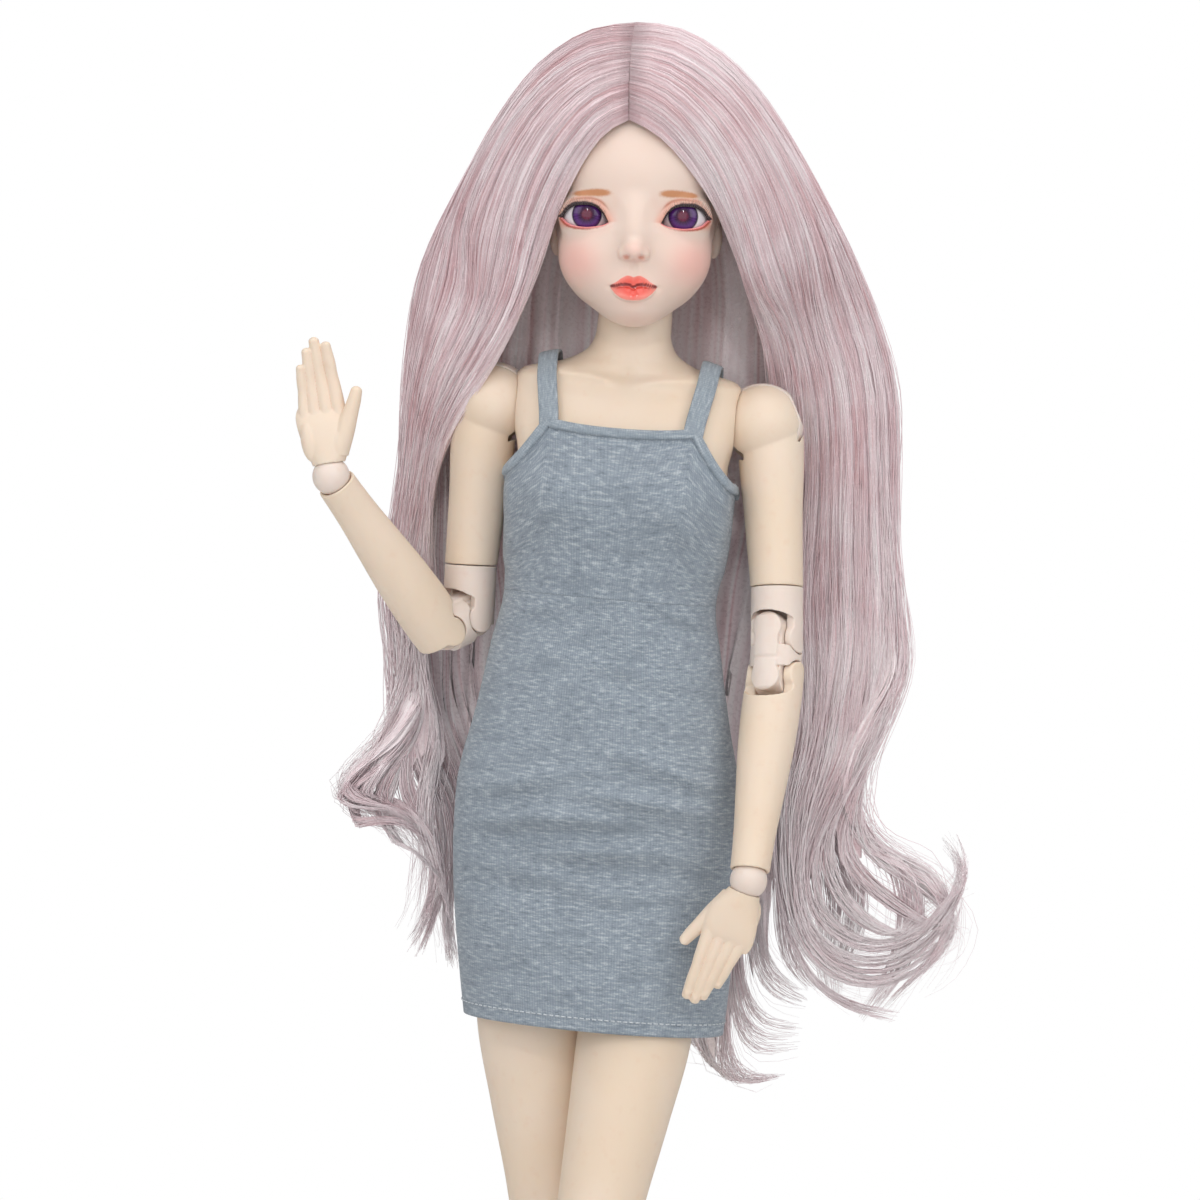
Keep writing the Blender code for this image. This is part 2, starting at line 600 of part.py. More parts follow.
def build_arm(root, side):
    """Seven pieces from the shoulder disc to the hand, with their pins."""
    name = "left" if side > 0 else "right"
    at = arm_frames(root, side)
    tip = math.tan(math.radians(ELBOW_LEAN)) * -side
    x = side * ARM_OFFSET
    shaft = [
        oval(-4.0, 7.0, 7.0, x * 0.2),
        oval(-10.5, 10.0, 10.0, x),
        oval(-18.0, 10.1, 9.6, x),
        oval(-28.0, 9.2, 9.0, x),
        oval(-40.0, 9.0, 8.9, x),
        oval(-UPPER_ARM + GAP / 2 - tip * x, 8.5, 8.5, x, slope=tip),
    ]
    upper = ball(name + "_upper_arm", at["upper"], SHOULDER_R, sides=CLEVIS_ROUND[0], rings=CLEVIS_ROUND[1],
                 axis="Y")
    combine(upper, loft(name + "_arm_shaft", at["upper"], shaft, cutter=True), "UNION")
    clevis(name + "_shoulder", upper, at["upper"], SHOULDER_R, SHOULDER_SLOT)

    low = -SLEEVE - 5.2
    sleeve = turned(name + "_elbow_sleeve", at["sleeve"],
                    [(0, -GAP / 2), (8.5, -GAP / 2), (SLEEVE_R, -SLEEVE), (SLEEVE_R, low), (0, low)])
    pivot = at["sleeve"] @ move(0, 0, -SLEEVE)
    hinge_end(name + "_elbow_upper", sleeve, pivot, SLEEVE_R)
    double_link(name + "_elbow_link", at["link"], SLEEVE_R, ELBOW_GAP)

    d = -side * FOREARM_DRIFT / FOREARM
    end = -FOREARM + 3.2
    stations = ((5.2, 9.1, 9.1), (0.0, 9.3, 9.3), (-10.0, 9.5, 9.4), (-22.0, 9.2, 9.0), (-38.0, 8.0, 7.8),
                (-52.0, 6.9, 6.7), (end, 6.4, 6.3))
    fore = loft(name + "_forearm", at["fore"],
                [oval(z, rx, ry, -d * z if z < 0 else 0.0) for z, rx, ry in stations])
    hinge_end(name + "_elbow_lower", fore, at["fore"], SLEEVE_R, down=-1)
    combine(fore, seat(name + "_wrist_socket", at["wrist"], WRIST_R))
    ball(name + "_wrist_ball", at["wrist"], WRIST_R)
    build_hand(name + "_hand", at["hand"], side)
    return at


def hip_frame(root, side):
    """The hip joint's place, square to the torso."""
    return root @ move(HIP_SHIFT + side * HIP[0], HIP[1], HIP[2])


def leg_frames(root, side):
    """Joint frames of one leg in the rest pose; knees bend towards +Y."""
    pose = LEG_POSE[side]
    hip = hip_frame(root, side)
    thigh = hip @ turn("X", -pose["swing"]) @ turn("Y", side * pose["lean"])
    sleeve = thigh @ move(0, 0, -THIGH)
    link = sleeve @ move(0, 0, -KNEE_SLEEVE) @ turn("X", pose["knee"][0])
    shin = link @ move(0, 0, -KNEE_GAP) @ turn("X", pose["knee"][1])
    ankle = shin @ move(side * SHIN_DRIFT[side], 0, -SHIN)
    place = ankle.translation
    foot = Matrix.Translation(Vector((place.x, place.y, ANKLE_Z * MM))) @ turn("Z", side * pose["toe_out"])
    return {"hip": hip, "disc": hip @ turn("X", -pose["swing"]), "thigh": thigh, "sleeve": sleeve,
            "link": link, "shin": shin, "ankle": ankle, "foot": foot}


def build_foot(name, frame):
    """A flat-soled foot with a cup for the ankle ball, toes towards -Y."""
    heel, toe = 19.0, 19.0 - FOOT_LONG
    half = FOOT_WIDE / 2
    spans = ((heel, 5.5, 9.0), (heel - 3, 9.0, 15.0), (heel - 9, 10.2, 21.0), (6.0, 10.6, 25.2),
             (-4.0, 10.9, 24.8), (-15.0, 11.6, 18.5), (-28.0, 13.4, 13.0), (-39.0, half, 9.8),
             (-49.0, 13.8, 7.8), (toe + 3, 10.6, 6.0), (toe, 5.4, 4.0))
    rings = []
    for y, wide, tall in spans:
        ring = []
        for i in range(14):
            w = 2 * math.pi * (i + 0.5) / 14
            c, s = math.cos(w), math.sin(w)
            up = math.copysign(abs(s) ** 0.8, s)
            high = tall / 2 * (1 + up) if up > -0.62 else 0.0
            ring.append((wide * math.copysign(abs(c) ** 0.8, c), y, high - ANKLE_Z))
        rings.append(ring)
    foot = loft(name, frame, rings)
    combine(foot, seat(name + "_cup", frame, ANKLE_R))
    return foot


def build_leg(root, side):
    """Seven pieces from the hip disc to the foot, with their pins."""
    name = "left" if side > 0 else "right"
    at = leg_frames(root, side)
    shaft = [oval(z, rx, ry, side * out) for z, rx, ry, out in THIGH_ROWS]
    shaft.append(oval(-THIGH + GAP / 2, 12.2, 12.4))
    thigh = ball(name + "_thigh", at["thigh"], HIP_R, sides=CLEVIS_ROUND[0], rings=CLEVIS_ROUND[1],
                 axis="Y")
    combine(thigh, loft(name + "_thigh_shaft", at["thigh"], shaft, cutter=True), "UNION")
    clevis(name + "_hip", thigh, at["thigh"], HIP_R, HIP_SLOT)

    k = KNEE_R / SLEEVE_R
    low = -KNEE_SLEEVE - 5.2 * k
    back = turn("Z", 180)
    sleeve = turned(name + "_knee_sleeve", at["sleeve"],
                    [(0, -GAP / 2), (12.2, -GAP / 2), (KNEE_R, -KNEE_SLEEVE), (KNEE_R, low), (0, low)])
    hinge_end(name + "_knee_upper", sleeve, at["sleeve"] @ move(0, 0, -KNEE_SLEEVE) @ back, KNEE_R)
    double_link(name + "_knee_link", at["link"] @ back, KNEE_R, KNEE_GAP)

    d = side * SHIN_DRIFT[side] / SHIN
    stations = ((5.2 * k, 12.0, 12.0, 0.0), (0.0, 12.2, 12.2, 0.0), (-14.0, 12.4, 12.6, 0.4),
                (-34.0, 13.0, 13.6, 2.0), (-56.0, 11.8, 12.2, 1.8), (-82.0, 9.2, 9.6, 0.8),
                (-106.0, 7.6, 8.0, 0.0), (-SHIN + 4.2, 7.9, 8.0, 0.0))
    shin = loft(name + "_shin", at["shin"],
                [oval(z, rx, ry, -d * z if z < 0 else 0.0, y) for z, rx, ry, y in stations])
    hinge_end(name + "_knee_lower", shin, at["shin"] @ back, KNEE_R, down=-1)
    combine(shin, seat(name + "_ankle_socket", at["foot"], ANKLE_R))
    ball(name + "_ankle_ball", at["foot"], ANKLE_R)
    build_foot(name + "_foot", at["foot"])
    return at


# Dress outline on the body: height, half width, middle of the width
DRESS = (
    (285.0, 42.6, 5.2), (297.0, 44.0, 4.4), (329.0, 46.6, 2.2), (342.0, 47.0, 1.6), (358.0, 46.6, 1.0),
    (387.0, 41.0, 0.2), (407.0, 37.6, -0.4), (424.0, 34.2, -0.6), (432.0, 35.0, -0.4), (447.0, 36.7, 0.0),
    (459.0, 36.9, 0.0),
)
DRESS_SKIRT_DEPTH = ((285.0, 26.0, 30.0), (310.0, 25.5, 34.0), (330.0, 24.0, 36.0))
NECKLINE_Z, ARMHOLE_Z, BACK_TOP_Z = 480.0, 459.5, 467.0
NECKLINE_HALF, BACK_HALF = 23.0, 28.0
CLOTH, DRESS_PROUD = 0.9, 1.9
STRAP_WIDE, STRAP_BOTTOM, STRAP_TOP, STRAP_LIFT = 7.5, 23.3, 26.5, 1.9


def dress_top(x, front):
    """Height of the dress's top edge, front or back, at a distance from the midline."""
    wide, high = (NECKLINE_HALF, NECKLINE_Z) if front else (BACK_HALF, BACK_TOP_Z)
    t = min(1.0, max(0.0, (abs(x) - wide) / (40.0 - wide)))
    return high + (ARMHOLE_Z - high) * t


def dress_point(angle, z):
    """A point of the dress's outer surface."""
    c, s = math.cos(angle), math.sin(angle)
    a, f, b, middle, power = torso_row(max(z, 326.0))
    heights = [row[0] for row in DRESS]
    half = float(np.interp(z, heights, [row[1] for row in DRESS])) if z < 459 else a + DRESS_PROUD
    shift = float(np.interp(z, heights, [row[2] for row in DRESS]))
    f, b = f + DRESS_PROUD, b + DRESS_PROUD
    if z < 330.0:
        levels = [row[0] for row in DRESS_SKIRT_DEPTH]
        f = float(np.interp(z, levels, [row[1] for row in DRESS_SKIRT_DEPTH]))
        b = float(np.interp(z, levels, [row[2] for row in DRESS_SKIRT_DEPTH]))
    half = max(half, a + DRESS_PROUD) if z > 326 else half
    x = half * math.copysign(abs(c) ** (2 / power), c)
    y = middle + (b if s > 0 else f) * math.copysign(abs(s) ** (2 / power), s)
    if s < 0:
        y -= bust_swell(x, z) * abs(s)
        x *= 1 + bust_corner(z, s) / a
    fold = 0.5 * math.sin(3 * angle + z / 6.0) * math.exp(-((z - 360.0) / 26.0) ** 2)
    return x * (1 + fold / 60) + shift, y + fold * s, z


def build_dress(root):
    """The jersey tube, open at neck and hem, and its two shoulder straps."""
    sides = TORSO_SIDES
    levels = [285, 294, 310, 326, 340, 354, 368, 386, 407, 424, 436, 447]
    rings = []
    for z in levels:
        rings.append([dress_point(2 * math.pi * i / sides, z) for i in range(sides)])
    for t in (0.3, 0.62, 1.0):
        ring = []
        for i in range(sides):
            angle = 2 * math.pi * i / sides
            x, y, _ = dress_point(angle, 459.0)
            top = dress_top(x, y < 2.0)
            ring.append(dress_point(angle, 447.0 + t * (top - 447.0)))
        rings.append(ring)
    dress = loft("dress", root, rings, capped=False)
    wall = dress.modifiers.new("cloth", "SOLIDIFY")
    wall.thickness = CLOTH * MM
    wall.offset = -1.0
    for side in (1, -1):
        build_strap("dress_strap_left" if side > 0 else "dress_strap_right", root, side)


def build_strap(name, root, side):
    """A flat ribbon over the shoulder, each edge laid on the chest's own surface."""
    stations = [("front", z) for z in (481.2, 486.0, 490.5, 494.5)]
    stations += [("top", y) for y in (-3.5, 4.0, 11.5)]
    stations += [("back", z) for z in (494.0, 488.0, 481.0, 474.0, 468.2)]
    rings = []
    for face, place in stations:
        middle = STRAP_TOP
        if face == "front":
            middle += (STRAP_BOTTOM - STRAP_TOP) * min(1.0, (498.0 - place) / 18.0)
        edges = []
        for x in (middle - STRAP_WIDE / 2, middle + STRAP_WIDE / 2):
            if face == "top":
                edges.append(Vector((side * x, place, torso_top(x, place, STRAP_LIFT))))
            else:
                depth = torso_front(x, place, STRAP_LIFT, face == "back")
                edges.append(Vector((side * x, depth, place)))
        outward = (edges[0] + edges[1]) / 2 - Vector((side * middle, 4.0, 478.0))
        outward = outward.normalized() * (CLOTH + 0.3)
        rings.append([tuple(edges[0]), tuple(edges[1]), tuple(edges[1] + outward),
                      tuple(edges[0] + outward)])
    return loft(name, root, rings)


# Wig: the crown lists height, half width, front and back; a lock lists its middle, half width and
# half depth down its length
CROWN = (
    (611.5, 5.0, -5.0, 5.0), (608.0, 17.0, -15.0, 16.0), (601.0, 28.0, -23.0, 28.0),
    (590.0, 38.0, -33.0, 38.0), (573.0, 49.0, -38.0, 44.0), (553.0, 59.0, -35.0, 46.0),
    (536.0, 65.0, -26.0, 46.0), (522.0, 69.0, -11.0, 46.0), (510.0, 71.0, 9.0, 46.0),
    (499.0, 71.0, 23.0, 45.0),
)
LOCKS = {
    "left": ((58.0, 34.0, 507.0, 20.0, 3.0), (66.0, 34.0, 466.0, 26.0, 3.0), (71.0, 34.0, 425.0, 27.0, 3.0),
             (68.0, 34.0, 388.0, 24.0, 3.0), (66.0, 34.0, 366.0, 21.0, 3.0), (86.0, 33.0, 342.0, 26.0, 3.0),
             (98.0, 33.0, 318.0, 25.0, 2.8), (84.0, 33.0, 290.0, 19.0, 2.7), (58.0, 34.0, 265.0, 11.0, 3.0),
             (45.0, 34.0, 252.0, 4.0, 2.2)),
    "right": ((-54.0, 34.0, 507.0, 18.0, 3.0), (-54.0, 34.0, 466.0, 21.0, 3.0),
              (-54.0, 34.0, 425.0, 22.0, 3.0), (-55.0, 34.0, 385.0, 21.0, 3.0), (-66.0, 33.0, 352.0, 22.0, 3.0),
              (-58.0, 34.0, 334.0, 16.0, 2.8), (-46.0, 35.0, 310.0, 13.0, 2.7), (-44.0, 36.0, 286.0, 4.0, 2.2)),
    "back": ((0.0, 40.0, 507.0, 50.0, 2.8), (2.0, 41.0, 440.0, 50.0, 2.7), (4.0, 44.0, 390.0, 46.0, 2.7),
             (4.0, 50.0, 350.0, 46.0, 2.7), (6.0, 51.0, 316.0, 40.0, 2.7), (14.0, 50.0, 284.0, 12.0, 2.2)),
}
CROWN_WALL = 5.0                # thickness of the hair over the head, outside its own empty room
FACE_OPENING = ((0.0, 22.0), (10.4, 13.2), (19.3, 2.0), (23.5, -10.0), (25.5, -22.0), (23.5, -34.0),
                (22.0, -60.0))


def face_cutter(frame):
    """The opening in the hair over the face, from a flat outline pushed back through the crown."""
    outline = [(x, z) for x, z in FACE_OPENING] + [(-x, z) for x, z in reversed(FACE_OPENING[1:])]
    rings = [[(x, y, z) for x, z in outline] for y in (-60.0, -6.0)]
    return loft("face_opening", frame, rings, cutter=True)


def build_wig(root, head):
    """The wig as one soft body: a crown with a face opening, two side locks and a back fall."""
    rings = [oval(z, a, (back - front) / 2, 0.0, (back + front) / 2, sides=18)
             for z, a, front, back in CROWN]
    wig = loft("wig", root, rings)
    for name, stations in LOCKS.items():
        fall = [oval(z, a, d, x, y, sides=LOCK_SIDES) for x, y, z, a, d in stations]
        combine(wig, loft("wig_" + name, root, fall, cutter=True), "UNION")
    inside = head_solid("wig_inside", head, 2.0, 18, 14, cutter=True)
    rings = [oval(z - CROWN_WALL, a - CROWN_WALL, (back - front) / 2 - CROWN_WALL, 0.0, (back + front) / 2,
                  sides=18)
             for z, a, front, back in CROWN if 515.0 < z < 605.0]
    combine(inside, loft("wig_room", root, rings, cutter=True), "UNION")
    combine(wig, inside)
    for side in (1, -1):
        ear = head @ move(side * 29.0, 5.0, -12.5)
        combine(wig, ball(f"ear_room_{side}", ear, 1.0, (8.5, 10.5, 14.5), 12, 8, cutter=True))
    combine(wig, face_cutter(head))
    rings = [oval(z, 24.0, 21.0, 0.0, -3.0, sides=16) for z in (496.0, 542.0)]
    combine(wig, loft("wig_neck_room", root, rings, cutter=True))
    return wig


MATERIALS = {
    "head": ("head_vinyl", SKIN_FACE, 0.5), "eye": ("eye_acrylic", EYE_WHITE, 0.1),
    "pin": ("hinge_pin_steel", STEEL, 0.3), "dress": ("jersey", JERSEY, 0.9), "wig": ("wig_fibre", HAIR, 0.4),
    "joint": ("joint_resin", SKIN_JOINT, 0.45), "body": ("body_resin", SKIN_BODY, 0.45),
}


def material_kind(name):
    """Which finish a node takes, from its name."""
    if name.startswith("eye_"):
        return "eye"
    for word in ("pin", "dress", "wig", "head"):
        if word in name.split("_") or name.startswith(word):
            return word
    if any(word in name for word in ("link", "ball", "sleeve", "disc")):
        return "joint"
    return "body"


def main():
    """Builds the doll."""
    start_clean()
    root = bpy.data.objects.new("doll_root", None)
    bpy.data.collections[PARTS].objects.link(root)
    root.matrix_world = move(MIDLINE_X, MIDLINE_Y, 0)
    base = root.matrix_world.copy()
    head, _ = build_head(base)
    build_torso(base)
    for side in (1, -1):
        build_arm(base, side)
        build_leg(base, side)
    build_dress(base)
    build_wig(base, head)

    made = {}
    for ob in bpy.data.collections[PARTS].objects:
        if ob.type != "MESH":
            continue
        kind = material_kind(ob.name)
        if kind not in made:
            name, colour, roughness = MATERIALS[kind]
            made[kind] = finish(name, colour, roughness, 1.0 if kind == "pin" else 0.0)
        ob.data.materials.append(made[kind])
        ob.data.shade_smooth()
        world = ob.matrix_world.copy()
        ob.parent = root
        ob.matrix_world = world


main()
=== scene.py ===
"""The ball jointed doll as it looks: cast resin limbs, a painted head, a jersey dress and a long wig.

Lengths are in millimetres in the doll's own frame (x to its left, y backwards, z up from the
soles) until a mesh is finished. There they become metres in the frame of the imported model.
"""
import json
import logging
import math
from dataclasses import dataclass, field
from enum import Enum
from typing import Any, Callable, Optional, Sequence

import bmesh
import bpy
import numpy as np
from mathutils import Matrix, Vector


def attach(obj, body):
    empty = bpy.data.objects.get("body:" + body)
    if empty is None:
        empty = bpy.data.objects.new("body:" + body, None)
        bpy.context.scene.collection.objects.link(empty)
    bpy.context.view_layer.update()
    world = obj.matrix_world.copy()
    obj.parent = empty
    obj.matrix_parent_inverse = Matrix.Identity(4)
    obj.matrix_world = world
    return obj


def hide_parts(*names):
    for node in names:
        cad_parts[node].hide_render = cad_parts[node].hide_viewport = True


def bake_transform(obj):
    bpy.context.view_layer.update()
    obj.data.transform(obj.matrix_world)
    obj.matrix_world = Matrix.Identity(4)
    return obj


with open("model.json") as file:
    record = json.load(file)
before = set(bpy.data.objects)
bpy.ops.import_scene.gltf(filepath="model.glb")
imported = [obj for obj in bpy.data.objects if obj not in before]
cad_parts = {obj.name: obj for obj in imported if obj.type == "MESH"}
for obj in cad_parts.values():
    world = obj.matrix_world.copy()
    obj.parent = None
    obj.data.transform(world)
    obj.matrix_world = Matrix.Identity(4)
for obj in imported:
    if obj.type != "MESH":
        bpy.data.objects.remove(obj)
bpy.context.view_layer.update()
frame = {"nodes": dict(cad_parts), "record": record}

log = logging.getLogger("doll")

MM = 0.001
GAP = 0.3
MIDLINE = (-9.9, 15.8, 0.0)
RESIN_IOR = 1.49
ROOT = Matrix.Identity(4)
Point = tuple[float, float, float]


class Side(Enum):
    """The doll's own left and right."""

    LEFT = 1
    RIGHT = -1

    @property
    def tag(self) -> str:
        """The word that starts the side's node names."""
        return self.name.lower()


def move(x: float = 0.0, y: float = 0.0, z: float = 0.0) -> Matrix:
    """A frame moved by millimetres."""
    return Matrix.Translation(Vector((x, y, z)))


def turn(axis: str, degrees: float) -> Matrix:
    """A frame turned about one of its own axes."""
    return Matrix.Rotation(math.radians(degrees), 4, axis)


def eased(x: Any, xs: Sequence[float], ys: Sequence[float]) -> np.ndarray:
    """Reads a table along a smooth curve that passes through each row and never overshoots.

    Args:
        x: Places to read at, held to the table's ends.
        xs: The rows' places, rising.
        ys: The rows' values.

    Returns:
        The values, in the shape of x.
    """
    x, xs, ys = np.asarray(x, float), np.asarray(xs, float), np.asarray(ys, float)
    step, rise = np.diff(xs), np.diff(ys) / np.diff(xs)
    slope = np.empty_like(ys)
    slope[0], slope[-1] = rise[0], rise[-1]
    same = rise[:-1] * rise[1:] > 1e-12
    before, after = 2 * step[1:] + step[:-1], step[1:] + 2 * step[:-1]
    safe_low = np.where(same, rise[:-1], 1.0)
    safe_high = np.where(same, rise[1:], 1.0)
    slope[1:-1] = np.where(same, (before + after) / (before / safe_low + after / safe_high), 0.0)
    k = np.clip(np.searchsorted(xs, x) - 1, 0, len(xs) - 2)
    t = np.clip((x - xs[k]) / step[k], 0, 1)
    return ((2 * t**3 - 3 * t**2 + 1) * ys[k] + (t**3 - 2 * t**2 + t) * step[k] * slope[k]
            + (3 * t**2 - 2 * t**3) * ys[k + 1] + (t**3 - t**2) * step[k] * slope[k + 1])


def ramp(x: Any, low: float, high: float) -> np.ndarray:
    """A smooth step from 0 at low to 1 at high."""
    t = np.clip((np.asarray(x, float) - low) / (high - low), 0, 1)
    return t * t * (3 - 2 * t)


def bell(x: Any, width: float) -> np.ndarray:
    """A bell curve that is 1 at x = 0 and falls off over width."""
    return np.exp(-(x / width) ** 2)


def mound(x: Any, wide: float, z: Any, high: float) -> np.ndarray:
    """A round bump that is 1 in the middle and falls off over wide and high."""
    return np.exp(-((x / wide) ** 2 + (z / high) ** 2))


def rounded(cosine: np.ndarray, power: Any) -> np.ndarray:
    """A cosine or sine with its size raised to a power, which squares or pinches an ellipse."""
    return np.sign(cosine) * np.abs(cosine) ** power


def lengths(places: np.ndarray) -> np.ndarray:
    """The distance travelled at each of a row of places."""
    return np.concatenate([[0], np.cumsum(np.linalg.norm(np.diff(places, axis=0), axis=1))])


def unit(rows: np.ndarray) -> np.ndarray:
    """Rows of arrows, each brought to a length of one."""
    return rows / np.linalg.norm(rows, axis=1)[:, None]


def linear(code: str) -> tuple[float, float, float, float]:
    """Turns an sRGB hex colour into the linear numbers that shaders take."""
    parts = [int(code[i:i + 2], 16) / 255 for i in (1, 3, 5)]
    r, g, b = (c / 12.92 if c <= 0.04045 else ((c + 0.055) / 1.055) ** 2.4 for c in parts)
    return (r, g, b, 1.0)


def node(tree: bpy.types.NodeTree, kind: str, links: Optional[dict] = None, **settings: Any) -> Any:
    """Adds one shader node.

    Args:
        tree: The material's or world's node tree.
        kind: The node's type name.
        links: For each input, by name or number, the socket that feeds it or the value it holds.
        settings: Properties of the node itself.

    Returns:
        The new node.
    """
    made = tree.nodes.new(kind)
    for key, value in settings.items():
        setattr(made, key, value)
    for key, source in (links or {}).items():
        if isinstance(source, bpy.types.NodeSocket):
            tree.links.new(source, made.inputs[key])
        else:
            made.inputs[key].default_value = source
    return made


def coloured_ramp(tree: bpy.types.NodeTree, factor: Any, stops: Sequence[tuple[float, str]]) -> Any:
    """Reads a value as a colour between sRGB stops.

    Args:
        tree: The node tree.
        factor: The socket with the value.
        stops: Places from 0 to 1, each with its hex colour.

    Returns:
        The colour socket.
    """
    made = node(tree, "ShaderNodeValToRGB", {"Fac": factor})
    for i, (place, code) in enumerate(stops):
        stop = made.color_ramp.elements[i] if i < 2 else made.color_ramp.elements.new(place)
        stop.position = place
        stop.color = linear(code)
    return made.outputs["Color"]


def blank(name: str) -> tuple[bpy.types.Material, bpy.types.NodeTree, Any]:
    """A new material with its tree and its one Principled shader."""
    material = bpy.data.materials.new(name)
    material.use_nodes = True
    return material, material.node_tree, material.node_tree.nodes["Principled BSDF"]


def place_of(tree: bpy.types.NodeTree) -> Any:
    """The socket with a point's place on the piece, in metres."""
    return node(tree, "ShaderNodeTexCoord").outputs["Object"]


def stored(tree: bpy.types.NodeTree, word: str) -> Any:
    """The socket with a value that note() stored on the mesh."""
    return node(tree, "ShaderNodeAttribute", attribute_name=word).outputs["Fac"]


def constants(shader: Any, **values: Any) -> None:
    """Sets plain values on a shader's sockets, with _ in place of the blanks in their names."""
    for name, value in values.items():
        shader.inputs[name.replace("_", " ")].default_value = value


def noise_of(tree: bpy.types.NodeTree, place: Any, size_mm: float, detail: float = 2.0,
             rough: float = 0.5) -> Any:
    """Soft noise whose blotches are about size_mm wide.

    Args:
        tree: The node tree.
        place: The socket with the place, in metres.
        size_mm: Width of one blotch.
        detail: Layers of finer noise.
        rough: Strength of the finer layers.

    Returns:
        The value socket.
    """
    links = {"Vector": place, "Scale": 1000.0 / size_mm, "Detail": detail, "Roughness": rough}
    return node(tree, "ShaderNodeTexNoise", links).outputs[0]


def between(tree: bpy.types.NodeTree, value: Any, low: float, high: float, out_low: float = 0.0,
            out_high: float = 1.0) -> Any:
    """A value moved from one span to another, held at the ends."""
    links = {"Value": value, "From Min": low, "From Max": high, "To Min": out_low, "To Max": out_high}
    return node(tree, "ShaderNodeMapRange", links, interpolation_type="SMOOTHSTEP").outputs["Result"]


def times(tree: bpy.types.NodeTree, a: Any, b: Any, how: str = "MULTIPLY") -> Any:
    """Two values put together by one sum."""
    return node(tree, "ShaderNodeMath", {0: a, 1: b}, operation=how).outputs[0]


def painted(tree: bpy.types.NodeTree, factor: Any, below: Any, above: Any) -> Any:
    """One colour laid over another as far as factor says.

    Args:
        tree: The node tree.
        factor: The strength, a socket or a number.
        below: The colour underneath, a socket or four numbers.
        above: The colour on top, a socket or four numbers.

    Returns:
        The colour socket.
    """
    links = {0: factor, 6: below, 7: above}
    return node(tree, "ShaderNodeMix", links, data_type="RGBA").outputs[2]


def relief(tree: bpy.types.NodeTree, height: Any, depth_mm: float, below: Any = None) -> Any:
    """A bump of a depth in millimetres from a height between 0 and 1.

    Args:
        tree: The node tree.
        height: The socket with the height.
        depth_mm: How deep the whole span of the height is.
        below: The normal of a coarser bump underneath.

    Returns:
        The normal socket.
    """
    links = {"Height": height, "Distance": depth_mm * MM, "Strength": 1.0}
    if below is not None:
        links["Normal"] = below
    return node(tree, "ShaderNodeBump", links).outputs["Normal"]


@dataclass(frozen=True)
class CastResin:
    """Polyurethane resin, cast in silicone moulds, sanded and left matt.

    The eye sees a soft, waxy skin: light sinks in a little, the colour drifts faintly
    from batch to batch, a fine sanding grain breaks the highlight, and hollows get a painted warm shade.
    """

    name: str
    colour: str
    warm: str
    # the colour of the warm flecks, also used for the painted warm shade in the hollows
    pale: str
    roughness: float = 0.46

    def make(self) -> bpy.types.Material:
        """Builds the material."""
        material, tree, shader = blank(self.name)
        place = place_of(tree)
        drift = noise_of(tree, place, 38.0, 2.0)
        drifted = between(tree, drift, 0.35, 0.65, 0.0, 0.5)
        tone = painted(tree, drifted, linear(self.colour), linear(self.pale))
        fleck = noise_of(tree, place, 3.5, 4.0)
        tone = painted(tree, between(tree, fleck, 0.55, 0.8, 0.0, 0.12), tone, linear(self.warm))
        # painted shade: hollows and gaps, found from the mesh's pointiness, are tinted warm
        hollow_shade = node(tree, "ShaderNodeNewGeometry").outputs["Pointiness"]
        tone = painted(tree, between(tree, hollow_shade, 0.485, 0.44, 0.0, 0.65), tone, linear(self.warm))
        tree.links.new(tone, shader.inputs["Base Color"])
        grain = noise_of(tree, place, 0.35, 3.0, 0.6)
        rough = between(tree, grain, 0.3, 0.7, self.roughness - 0.05, self.roughness + 0.07)
        tree.links.new(rough, shader.inputs["Roughness"])
        tree.links.new(relief(tree, grain, 0.02), shader.inputs["Normal"])
        constants(shader, IOR=RESIN_IOR, Subsurface_Weight=0.18, Subsurface_Radius=(1.0, 0.55, 0.35),
                  Subsurface_Scale=0.0035)
        return material


